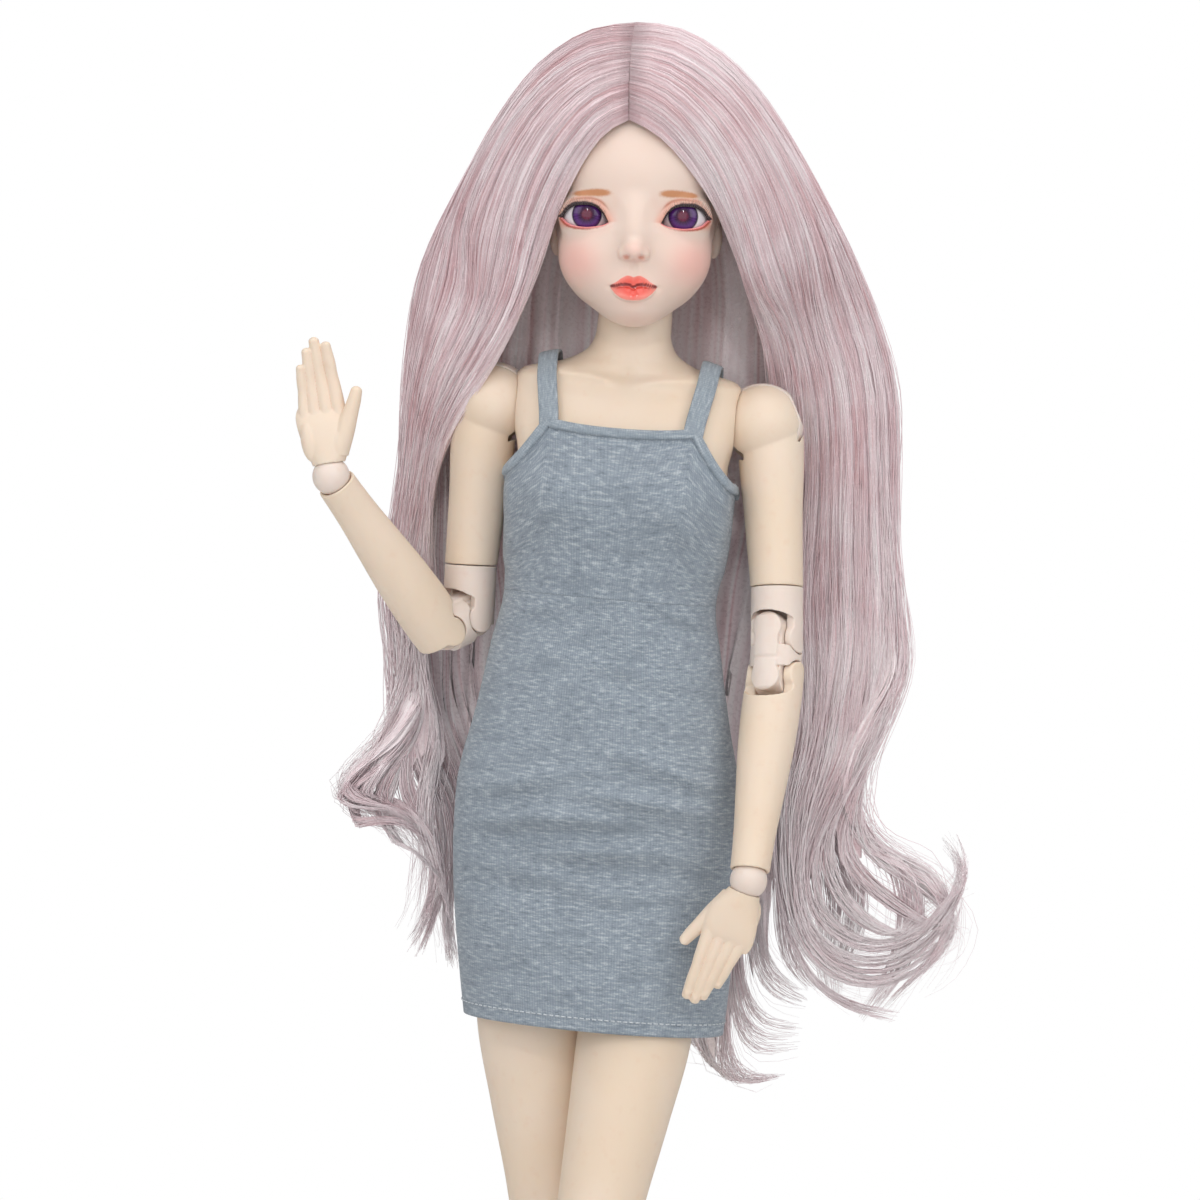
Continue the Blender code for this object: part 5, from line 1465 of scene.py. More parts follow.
        crease = 0.75 * bell(gap - 2.4, 0.5) * upward * ramp(np.abs(out), 7.0, 4.5)
        lid = 0.9 * bell(near, 2.5) * upward
        corner = mound(out - 7.0, 3.0, up + 2.6, 1.8)
        nostril = 1.3 * mound(side - 2.3, 0.95, z + 22.5, 0.5)
        wings = 0.2 * mound(side - 5.0, 0.7, z + 21.4, 1.7)
        under_nose = 0.3 * mound(x, 3.4, z + 23.6, 0.7)
        bridge = 0.22 * mound(side - 6.2, 2.2, z + 4.5, 4.5)
        chin = 0.25 * mound(x, 5.0, z + 37.0, 1.2)
        shade = crease + lid + corner + nostril + wings + under_nose + bridge + chin

        strong = np.interp(out, (-8.0, -5.0, 0.0, 7.0), (0.35, 0.45, 0.75, 1.0))
        band = bell(np.maximum(gap - 0.4, 0), 0.95) * downward * strong
        brow_z = -1.95 - 0.3 * ((side - 12.5) / 6.0) ** 2
        brow_high = np.interp(side, (6.0, 12.0, 20.5), (1.0, 1.2, 0.8))
        hair = np.exp(-(np.abs(z - brow_z) / brow_high) ** 2.2)
        top, line, foot = self.lips(x)
        lip = np.minimum(ramp(z, foot - 0.55, foot + 0.55), ramp(z, top + 0.45, top - 0.45))
        core = np.exp(-((x / 6.2) ** 2 + ((z - line + 0.7) / 3.9) ** 2) ** 1.4)
        layers = {
            "blush": np.clip(cheeks + nose_tip + chin_tip + inner_eye + mouth, 0, 1),
            "liner": np.clip(liner, 0, 1) * (gap < 2.4),
            "shade": np.clip(shade, 0, 1.2),
            "lower": np.clip(band, 0, 1) * ramp(gap, -0.5, 0.15),
            "water": np.clip(1 - near / 0.9, 0, 1) * downward,
            "brow": hair * ramp(side, 5.5, 11.0) * ramp(side, 21.5, 17.6),
            "lip": lip * ramp(side, 7.9, 6.9),
            "lip_core": core,
            "line": bell(z - line, 0.48) * ramp(side, 8.2, 6.6),
        }
        for word, strength in layers.items():
            note(mesh, word, front * strength)


@dataclass
class HeadBuild:
    """The head: face shell, cap, eyes, lashes and the neck ball."""

    torso: Torso
    centre: Point = (0.0, 0.0, 556.6)
    tilt: float = 4.7
    face_turn: float = 3.6
    face_drop: float = 1.0
    face_lean: float = 1.2
    cap_cut: tuple = (14.0, 27.0)
    eye_radius: float = 8.2
    iris_radius: float = 4.6
    ring_reach: float = 8.6
    lash_radius: float = 0.085
    neck_room: float = 16.2
    face_grid: tuple = (420, 370)
    cap_grid: tuple = (240, 170)
    face: Face = field(default_factory=Face)

    @property
    def joint(self) -> Matrix:
        """The neck ball's frame."""
        return move(*self.torso.neck) @ turn("Y", -self.tilt)

    @property
    def wig_frame(self) -> Matrix:
        """The frame in the middle of the wig's cap."""
        return self.joint @ move(*(Vector(self.centre) - Vector(self.torso.neck)))

    @property
    def frame(self) -> Matrix:
        """The frame in the middle of the head, which looks a little to the doll's left."""
        turned = turn("Y", self.face_lean) @ turn("Z", self.face_turn)
        return self.wig_frame @ move(0, 0, -self.face_drop) @ turned

    def solid(self, columns: int, rows: int) -> bpy.types.Object:
        """The carved head on the bench, its points closest together at the face."""
        u = np.arange(columns) / columns * 2 * np.pi
        around = -np.pi / 2 + u - 0.62 * np.sin(u)
        v = np.linspace(0.004, 0.996, rows)
        down = np.pi * (v - 0.09 * (np.sin(2 * np.pi * (v - 0.59)) + math.sin(2 * math.pi * 0.59)))
        c, s = np.cos(around)[None, :], np.sin(around)[None, :]
        d = np.stack(np.broadcast_arrays(c * np.sin(down)[:, None], s * np.sin(down)[:, None],
                                         np.cos(down)[:, None]), axis=-1)
        outward = d.reshape(-1, 3)
        places = Skull.skin(outward)
        places = places + outward * self.face.carve(places)[:, None]
        head = Bench.loft(self.frame, places.reshape(rows, columns, 3)[::-1])
        for side in Side:
            (x, y, z), radii = Skull.EAR
            ear = self.frame @ move(side.value * x, y, z) @ turn("X", 14) @ turn("Z", side.value * 18)
            Bench.join(head, Bench.ball(ear, 1.0, radii, 48), "UNION")
        return head

    def shell(self, above: bool) -> bpy.types.Mesh:
        """The face shell, or the cap above the cut that opens the head."""
        height, drop = self.cap_cut
        ob = self.solid(*(self.cap_grid if above else self.face_grid))
        Bench.join(ob, Bench.ball(self.frame @ move(0, 3.5, 5), 1.0, (26.5, 30.5, 31)))
        slice_at = self.frame @ move(0, 0, height) @ turn("X", -drop)
        low, high = (-90, GAP / 2) if above else (-GAP / 2, 90)
        Bench.join(ob, Bench.block(slice_at, (-60, -60, low), (60, 60, high)))
        if not above:
            self.open_eyes(ob)
            Bench.join(ob, Bench.ball(self.joint, self.torso.neck_radius + GAP))
            Bench.join(ob, Bench.rod(self.joint, self.neck_room, -40, -4.4))
            Bench.join(ob, Bench.rod(self.joint, 5.0, 0, 20))
        return Bench.finish(ob)

    def open_eyes(self, ob: bpy.types.Object) -> None:
        """Cuts both eye openings and the rooms that the eyeballs sit in."""
        ring = self.face.outline()
        for side in Side:
            s = side.value
            at = self.frame @ move(s * self.face.eye[0], *self.face.eye[1:])
            Bench.join(ob, Bench.ball(at, self.eye_radius + GAP))
            rings = [[(s * out * k, y, up * k) for out, up in ring]
                     for y, k in ((-24.0, 1.3), (-10.0, 1.06), (-6.5, 1.0), (-2.0, 1.0))]
            Bench.join(ob, Bench.loft(at, np.array(rings)))

    def local(self, mesh: bpy.types.Mesh) -> np.ndarray:
        """A mesh's points in the head's own frame."""
        points = np.empty(len(mesh.vertices) * 3, np.float32)
        mesh.vertices.foreach_get("co", points)
        back = np.array(self.frame.inverted())
        return points.reshape(-1, 3) @ back[:3, :3].T + back[:3, 3]

    def build(self) -> None:
        """Makes every piece of the head."""
        for name, above in (("head_shell", False), ("head_cap", True)):
            mesh = self.shell(above)
            self.face.paint(mesh, self.local(mesh))
            mesh.set_sharp_from_angle(angle=math.radians(50))
            settle(name + "_painted", mesh, HEAD, "head", [name])
        for side in Side:
            self.eyeball(side)
            self.lashes(side)
        mesh = Bench.finish(Bench.ball(self.joint, self.torso.neck_radius))
        settle("neck_ball_cast", mesh, JOINT, "neck_ball", ["neck_ball"])

    def eyeball(self, side: Side) -> None:
        """One acrylic eye, its iris a little outside the middle of the opening."""
        s = side.value
        middle = (s * self.face.eye[0], *self.face.eye[1:])
        at = self.frame @ move(*middle)
        mesh = Bench.finish(Bench.ball(at @ turn("X", 90), self.eye_radius, sides=160))
        p = self.local(mesh) - np.array(middle)
        x, z = p[:, 0], p[:, 2]
        ring = np.where(p[:, 1] < 0, np.hypot(x, z) / self.ring_reach, 1.0)
        note(mesh, "ring", np.clip(ring, 0, 1))
        note(mesh, "spoke", np.abs(np.arctan2(x, z)) / np.pi)
        note(mesh, "low", np.clip(-z / self.iris_radius, 0, 1))
        name = f"eye_{side.tag}"
        settle(name + "_acrylic", mesh, EYE_FINISH, "head", [name])

    def lashes(self, side: Side) -> None:
        """Glued upper lashes and fine strokes for the lower ones."""
        rng = np.random.default_rng(40 + side.value)
        t = np.linspace(0, 1, 7)
        radius = self.lash_radius * (1 - 0.85 * t ** 1.5)
        for upper, count, span, finish in ((True, 34, (-5.4, 7.6), LASH),
                                           (False, 24, (-2.5, 7.4), LOWER_LASH)):
            way, splay, forward, lift = (1, 0.75, 0.9, 0.12) if upper else (-1, 0.5, 0.06, -0.3)
            hairs = []
            for i in range(count):
                out = np.interp(i / (count - 1), (0, 1), span) + rng.normal(0, 0.08)
                up = float(self.face.lid(out, upper))
                long = 1.2 + 1.7 * (i / count) ** 0.8 if upper else 0.75 + 0.35 * rng.random()
                long = long * rng.uniform(0.85, 1.15)
                fan = (out / 7.0) * splay + rng.normal(0, 0.06)
                root = self.on_skin(out, up + lift)
                path = np.stack([root[0] + fan * long * t,
                                 root[1] - forward * long * t * (1.2 - 0.5 * t),
                                 root[2] + way * long * (0.25 * t + 0.75 * t ** 1.7)], axis=1)
                if not upper:
                    eye_x, _, eye_z = self.face.eye
                    skin = np.array([self.on_skin(q[0] - eye_x, q[2] - eye_z) for q in path])
                    path[:, 1] = skin[:, 1] - 0.05
                path[:, 0] *= side.value
                hairs.append(Strands.tube(path, radius, rng.random()))
            mesh = Strands.mesh(hairs)
            mesh.transform(self.frame)
            name = f"{'upper' if upper else 'lower'}_lashes_{side.tag}"
            settle(name, mesh, finish, "head")

    def on_skin(self, out: float, up: float) -> np.ndarray:
        """The skin's place beside an eye, from out and up of the eye's middle."""
        x, z = self.face.eye[0] + out, self.face.eye[2] + up
        y = np.linspace(-40.0, -12.0, 113)
        p = np.stack([np.full_like(y, x), y, np.full_like(y, z)], axis=1)
        inside = Skull.distance(p) < 0
        return p[int(np.argmax(inside))] if inside.any() else p[-1]


class Strands:
    """Thin tapered threads with three sides, gathered into one mesh."""

    @staticmethod
    def tube(path: np.ndarray, radius: np.ndarray, tone: float) -> dict[str, np.ndarray]:
        """One thread along a path in millimetres."""
        return {"path": path[None], "radius": np.asarray(radius)[None], "tone": np.array([tone])}

    @staticmethod
    def mesh(bundles: Sequence[dict[str, np.ndarray]],
             along: Optional[np.ndarray] = None) -> bpy.types.Mesh:
        """Turns threads into a mesh of closed three sided tubes.

        Args:
            bundles: Each has path (threads, stations, 3), radius (threads, stations) and tone (threads).
            along: The place along a thread to store at each station, or none for even steps from 0 to 1.

        Returns:
            The mesh, with the values "tone" and "along" on its points.
        """
        path = np.concatenate([b["path"] for b in bundles])
        radius = np.concatenate([b["radius"] for b in bundles])
        tone = np.concatenate([b["tone"] for b in bundles])
        count, stations = path.shape[:2]
        ahead = np.gradient(path, axis=1)
        ahead /= np.linalg.norm(ahead, axis=2, keepdims=True) + 1e-9
        across = np.cross(ahead, np.array((0.13, 0.97, 0.21)))
        across /= np.linalg.norm(across, axis=2, keepdims=True) + 1e-9
        other = np.cross(ahead, across)
        rings = []
        for k in range(3):
            w = 2 * math.pi * k / 3
            rings.append(path + (across * math.cos(w) + other * math.sin(w)) * radius[..., None])
        points = np.stack(rings, axis=2).reshape(-1, 3)
        first = (np.arange(count)[:, None] * stations + np.arange(stations - 1)[None, :]).ravel() * 3
        sides = []
        for a, b in ((0, 1), (1, 2), (2, 0)):
            sides.append(np.stack([first + a, first + b, first + 3 + b, first + 3 + a], axis=1))
        quads = np.concatenate(sides)
        low = np.arange(count) * stations * 3
        high = low + (stations - 1) * 3
        caps = np.concatenate([np.stack([low + 2, low + 1, low], axis=1),
                               np.stack([high, high + 1, high + 2], axis=1)])
        made = mesh_of(points, quads, caps)
        note(made, "tone", np.repeat(tone, stations * 3))
        place = np.tile(np.repeat(np.linspace(0, 1, stations) if along is None else along, 3), count)
        note(made, "along", place)
        return made


@dataclass
class Dress:
    """A sleeveless tube of heather jersey with bound edges and two straps."""

    torso: Torso
    outline: tuple = (
        (285.0, 42.6, 5.2), (297.0, 44.0, 4.4), (329.0, 46.6, 2.2), (342.0, 47.0, 1.6),
        (358.0, 46.6, 1.0), (387.0, 41.0, 0.2), (407.0, 37.6, -0.4), (424.0, 34.6, -0.6),
        (432.0, 35.2, -0.4), (447.0, 36.7, 0.0), (459.0, 36.9, 0.0), (480.0, 38.1, 0.0),
    )
    skirt_depth: tuple = ((285.0, 26.0, 30.0), (310.0, 25.5, 34.0), (330.0, 24.0, 36.0))
    hem: float = 285.0
    neckline: float = 480.0
    neck_half: float = 23.0
    dip: float = 1.8
    armhole: float = 459.5
    back_top: float = 467.0
    back_half: float = 28.0
    proud: float = 1.9
    cloth: float = 0.8
    split: float = 424.0
    columns: int = 320
    strap_wide: float = 6.6
    strap_at: tuple = (23.3, 26.5)
    strap_lift: float = 1.9
    fold_gain: float = 2.2
    stitch_pitch: float = 2.0
    stitch_long: float = 1.3
    # Soft folds: place out, height, reach along, width, height of the fold, and slope in degrees
    folds: tuple = (
        (-12.0, 353.0, 30.0, 3.2, 1.5, 6.0), (18.0, 360.0, 24.0, 3.0, 1.3, -7.0),
        (4.0, 343.5, 26.0, 3.0, 1.1, 3.0), (-24.0, 364.0, 20.0, 3.0, 1.0, 14.0),
        (28.0, 370.0, 18.0, 2.8, 0.9, -16.0), (-18.0, 334.0, 24.0, 3.6, 0.9, -4.0),
        (12.0, 330.0, 22.0, 3.0, 0.4, 5.0), (-26.0, 418.0, 14.0, 2.4, 0.5, 22.0),
        (25.0, 421.0, 13.0, 2.4, 0.5, -24.0), (-27.0, 446.0, 12.0, 2.4, 0.45, 40.0),
        (27.0, 446.0, 12.0, 2.4, 0.45, -40.0), (8.0, 402.0, 18.0, 3.0, 0.3, -10.0),
        (-10.0, 313.0, 20.0, 3.4, 0.35, 8.0), (22.0, 308.0, 14.0, 3.0, 0.35, -12.0),
    )

    def top_edge(self, x: np.ndarray, front: np.ndarray) -> np.ndarray:
        """Height of the top edge, front or back, at places out from the midline."""
        wide = np.where(front, self.neck_half, self.back_half)
        high = np.where(front, self.neckline, self.back_top)
        t = np.clip((np.abs(x) - wide) / (40.0 - wide), 0, 1)
        sag = np.where(front, self.dip * np.clip(1 - (x / wide) ** 2, 0, 1), 0.0)
        return high - sag + (self.armhole - high) * t

    def point(self, w: np.ndarray, z: np.ndarray, lift: Any = 0.0) -> np.ndarray:
        """Places on the cloth's outer face, for angles round it and heights.

        Args:
            w: Angles round the body.
            z: Heights.
            lift: How far outside the cloth's face the places are.

        Returns:
            Places, with x, y and z on the last axis.
        """
        w, z = np.broadcast_arrays(np.asarray(w, float), np.asarray(z, float))
        c, s = np.cos(w), np.sin(w)
        a, f, b, middle, power = self.torso.row(np.maximum(z, 326.0))
        heights = [r[0] for r in self.outline]
        half = eased(z, heights, [r[1] for r in self.outline])
        shift = eased(z, heights, [r[2] for r in self.outline])
        low = ramp(z, 336.0, 324.0)
        levels = [r[0] for r in self.skirt_depth]
        f = (f + self.proud) * (1 - low) + low * np.interp(z, levels, [r[1] for r in self.skirt_depth])
        b = (b + self.proud) * (1 - low) + low * np.interp(z, levels, [r[2] for r in self.skirt_depth])
        half = np.where(z > 326, np.maximum(half, a + self.proud), half)
        flat = 2 / power
        x = (half + lift) * rounded(c, flat)
        y = middle + (np.where(s > 0, b, f) + lift) * rounded(s, flat)
        front = np.clip(-s, 0, 1)
        y = y - self.torso.swell(x, z) * front
        x = x * (1 + self.torso.side_swell(front, z) / a)
        out = self.wrinkle(x, z) * np.where(s < 0, 1, 0.6) * ramp(np.abs(s), 0.05, 0.4)
        return np.stack([x + shift, y + np.sign(s) * out, z], axis=-1)

    def wrinkle(self, x: np.ndarray, z: np.ndarray) -> np.ndarray:
        """How far the soft folds stand out of the cloth."""
        total = 0.5 * np.sin(x / 9.0 + z / 17.0) * np.sin(z / 13.0 + 1.0) * ramp(z, 440.0, 400.0)
        for cx, cz, reach, width, high, slope in self.folds:
            t = math.radians(slope)
            along = (x - cx) * math.cos(t) + (z - cz) * math.sin(t)
            across = (z - cz) * math.cos(t) - (x - cx) * math.sin(t)
            bend = across + 0.0022 * along ** 2
            ridge = bell(bend, width) - 0.55 * bell(bend + 1.9 * width, width)
            total = total + self.fold_gain * high * bell(along, reach) * ridge
        return total

    def grid(self, low: float, high: Optional[float], rows: int, lift: float = 0.0) -> np.ndarray:
        """Rings of the cloth between two heights, or up to the top edge."""
        w = 2 * np.pi * np.arange(self.columns)[None, :] / self.columns
        edge = self.top_at(w)
        top = edge if high is None else np.full_like(edge, high)
        t = np.linspace(0, 1, rows)[:, None]
        return self.point(w, low + (top - low) * t, lift)

    def top_at(self, w: np.ndarray) -> np.ndarray:
        """Height of the top edge at angles round the body."""
        at = self.point(w, np.full_like(w, 459.0))
        return self.top_edge(at[..., 0], at[..., 1] < 2.0)

    def tube(self, low: float, high: Optional[float], rows: int) -> bpy.types.Mesh:
        """One closed piece of the cloth with its thickness and its map in metres."""
        outer, inner = self.grid(low, high, rows), self.grid(low, high, rows, -self.cloth)
        skin = np.concatenate([outer, inner[::-1]])
        count = len(skin)
        mesh = mesh_of(skin.reshape(-1, 3), grid_quads(count, self.columns, True))
        bm = bmesh.new()
        bm.from_mesh(mesh)
        bm.verts.ensure_lookup_table()
        n = self.columns
        for i in range(n):
            j = (i + 1) % n
            bm.faces.new([bm.verts[k] for k in ((count - 1) * n + i, (count - 1) * n + j, j, i)])
        bm.to_mesh(mesh)
        bm.free()
        self.map_cloth(mesh, outer)
        return mesh

    def map_cloth(self, mesh: bpy.types.Mesh, outer: np.ndarray) -> None:
        """Writes the map called cloth: metres round the cloth and up it."""
        rows, n = outer.shape[:2]
        middle = outer[rows // 2]
        run = lengths(np.vstack([middle, middle[:1]]))
        up = outer[:, n // 4, 2]
        corners = self.corners(mesh)
        row, column = corners // n, corners % n
        row = np.where(row < rows, row, 2 * rows - 1 - row)
        first = np.repeat([p.loop_start for p in mesh.polygons], [p.loop_total for p in mesh.polygons])
        wraps = np.abs(column - column[first]) > n // 2
        column = np.where(wraps & (column < n // 2), column + n, column)
        self.write_map(mesh, np.stack([run[np.clip(column, 0, n)], up[row]], axis=1) * MM)

    @staticmethod
    def corners(mesh: bpy.types.Mesh) -> np.ndarray:
        """The point number of each face corner of a mesh."""
        numbers = np.empty(len(mesh.loops), np.int32)
        mesh.loops.foreach_get("vertex_index", numbers)
        return numbers

    @staticmethod
    def write_map(mesh: bpy.types.Mesh, places: np.ndarray) -> None:
        """Stores the map called cloth, from two metres for each face corner."""
        mesh.uv_layers.new(name="cloth").data.foreach_set("uv", places.astype(np.float32).ravel())

    def ribbon(self, edge: np.ndarray, outward: np.ndarray, up: np.ndarray, wide: float, thick: float,
               closed: bool) -> bpy.types.Mesh:
        """A folded band of cloth along an edge.

        Args:
            edge: Places along the band's middle.
            outward: The way out of the cloth at each place.
            up: The way across the band at each place.
            wide: The band's width.
            thick: Its thickness.
            closed: Whether its ends meet.

        Returns:
            The mesh, with its map in metres.
        """
        sides = 20
        w = 2 * np.pi * np.arange(sides) / sides
        a = rounded(np.cos(w), 0.55) * wide / 2
        b = rounded(np.sin(w), 0.7) * thick / 2
        rings = edge[:, None] + up[:, None] * a[None, :, None] + outward[:, None] * b[None, :, None]
        count = len(rings)
        if closed:
            mesh = mesh_of(rings.reshape(-1, 3), self.closed_quads(count, sides))
        else:
            mesh = mesh_of(rings.reshape(-1, 3), grid_quads(count, sides, True))
            bm = bmesh.new()
            bm.from_mesh(mesh)
            cap_ends(bm, count, sides)
            bm.to_mesh(mesh)
            bm.free()
        run, corners = lengths(edge), self.corners(mesh)
        self.write_map(mesh, np.stack([run[corners // sides], a[corners % sides] + 9.0], axis=1) * MM)
        return mesh

    @staticmethod
    def closed_quads(rings: int, sides: int) -> np.ndarray:
        """Quads of a tube whose last ring joins its first."""
        i, j = np.meshgrid(np.arange(rings), np.arange(sides), indexing="ij")
        a, b = (i + 1) % rings, (j + 1) % sides
        quads = np.stack([i * sides + j, i * sides + b, a * sides + b, a * sides + j], axis=-1)
        return quads.reshape(-1, 4)

    def build(self) -> None:
        """Cuts and sews the dress."""
        skirt = settle("dress_skirt", self.tube(self.hem, self.split, 150), CLOTH_FINISH)
        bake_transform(skirt)
        top = settle("dress_bodice", self.tube(self.split, None, 90), CLOTH_FINISH)
        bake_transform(top)
        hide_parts("dress")
        self.bind()
        for side in Side:
            self.strap(side)
        self.stitch_hem()
        girth = float(np.linalg.norm(np.diff(self.grid(350.0, 352.0, 2)[0], axis=0), axis=1).sum()) * MM

    def bind(self) -> None:
        """Sews the binding round the whole top edge."""
        w = 2 * np.pi * (np.arange(460) + 0.5) / 460
        high = self.top_at(w[None, :])[0]
        high = (np.roll(high, 1) + 2 * high + np.roll(high, -1)) / 4
        edge, below = self.point(w, high - 0.9, 0.3), self.point(w, high - 3.4, 0.3)
        along = np.roll(edge, -1, axis=0) - np.roll(edge, 1, axis=0)
        outward = unit(np.cross(along, unit(edge - below)))
        up = unit(np.cross(outward, along))
        mesh = self.ribbon(edge, outward, up, 3.2, 2.3, True)
        settle("dress_binding", mesh, BAND_FINISH, "chest")

    def strap(self, side: Side) -> None:
        """A folded ribbon from the neckline over the shoulder to the back."""
        t, s = self.torso, side.value
        stations = [("front", z) for z in (478.6, 482.5, 486.0, 490.5, 494.5)]
        stations += [("top", y) for y in (-3.5, 4.0, 11.5)]
        stations += [("back", z) for z in (494.0, 488.0, 481.0, 474.0, 467.0)]
        middle, outward = [], []
        for face, place in stations:
            x = self.strap_at[1]
            if face == "front":
                x += (self.strap_at[0] - self.strap_at[1]) * min(1.0, (498.0 - place) / 18.0)
            lift = self.strap_lift + 0.5
            if face == "top":
                p = Vector((x, place, t.top(x, place, lift)))
            else:
                p = Vector((x, float(t.depth(x, place, lift, face == "back")), place))
            out = (p - Vector((x * 0.75, 4.0, 478.0))).normalized()
            middle.append((s * p.x, p.y, p.z))
            outward.append((s * out.x, out.y, out.z))
        u = np.linspace(0, len(stations) - 1, 96)
        path = spline(u, np.arange(len(stations)), np.array(middle))
        out = spline(u, np.arange(len(stations)), np.array(outward))
        along = np.gradient(path, axis=0)
        up = unit(np.cross(along, out))
        out = unit(np.cross(up, along))
        mesh = self.ribbon(path, out, up, self.strap_wide, 1.5, False)
        name = f"dress_strap_{side.tag}"
        piece = settle(name + "_sewn", mesh, BAND_FINISH, "chest", [name])

    def stitch_hem(self) -> None:
        """A row of machine stitches above the hem."""
        w = 2 * np.pi * np.arange(2400) / 2400
        line = self.point(w, np.full_like(w, self.hem + 4.2), 0.08)
        run = lengths(line)
        threads = []
        for start in np.arange(0.5, run[-1] - self.stitch_pitch, self.stitch_pitch):
            t = start + np.linspace(0, self.stitch_long, 7)
            path = np.stack([np.interp(t, run, line[:, k]) for k in range(3)], axis=1)
            lift = 0.12 * np.sin(np.linspace(0, np.pi, 7))
            path = path + unit(path * (1, 1, 0) - np.array((2.0, 2.0, 0.0))) * lift[:, None]
            threads.append(Strands.tube(path, np.full(7, 0.26), 0.5))
        piece = settle("dress_hem_stitches", Strands.mesh(threads), THREAD)
        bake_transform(piece)


def spline(x: Any, xs: Sequence[float], ys: np.ndarray) -> np.ndarray:
    """Reads rows of places along a smooth curve that passes through each row.

    Args:
        x: Where to read, held to the ends.
        xs: Where the rows are, rising.
        ys: The rows, along the first axis.

    Returns:
        The places, with x's axis first.
    """
    x = np.clip(np.asarray(x, float), xs[0], xs[-1])
    xs, ys = np.asarray(xs, float), np.asarray(ys, float)
    wide = (slice(None),) + (None,) * (ys.ndim - 1)
    slope = np.gradient(ys, xs, axis=0)
    k = np.clip(np.searchsorted(xs, x) - 1, 0, len(xs) - 2)
    h = (xs[k + 1] - xs[k])[wide]
    t = ((x - xs[k]) / (xs[k + 1] - xs[k]))[wide]
    return ((2 * t**3 - 3 * t**2 + 1) * ys[k] + (t**3 - 2 * t**2 + t) * h * slope[k]
            + (3 * t**2 - 2 * t**3) * ys[k + 1] + (t**3 - t**2) * h * slope[k + 1])


CROWN_GUIDES = {
    0.0: ((0, -34, 20.3), (7, -35, 17.2), (15.5, -33, 10), (22, -28.5, 1), (27.5, -21, -9),
          (32, -12, -20)),
    0.12: ((0, -33, 31), (10, -35, 27.5), (21, -33, 17.5), (30, -28.5, 3), (36.5, -22, -14),
           (41, -14, -33)),
    0.28: ((0, -25.5, 43.5), (13, -28, 41), (27, -26.5, 32.5), (39, -22.5, 18), (48.5, -17, 0),
           (56, -9, -21)),
    0.42: ((0, -12, 51.5), (15, -14, 49.5), (30, -13, 40), (44, -10, 22), (55, -6, 3),
           (65, 0, -18)),
    0.56: ((0, 3, 54.5), (17, 3.5, 51), (31, 5, 42), (44, 7, 26), (56, 10, 5), (67, 14, -15),
           (73, 17, -30)),
    0.72: ((0, 20, 51), (15, 21, 48), (29, 24, 38.5), (41, 27, 23), (51, 30, 3), (60, 33, -18)),
    0.86: ((0, 34, 41), (11, 36, 38), (22, 39, 28), (31, 42, 11), (38, 45, -10), (43, 47, -28)),
    1.0: ((0, 43, 27), (0.4, 46, 20), (0.6, 48, 8), (0.6, 49, -8), (0.6, 49.5, -26)),
}
RIGHT_FRONT = ((0, -34, 20.3), (7, -35, 17.2), (14, -33.5, 9), (20, -30, -1), (24, -26, -10))
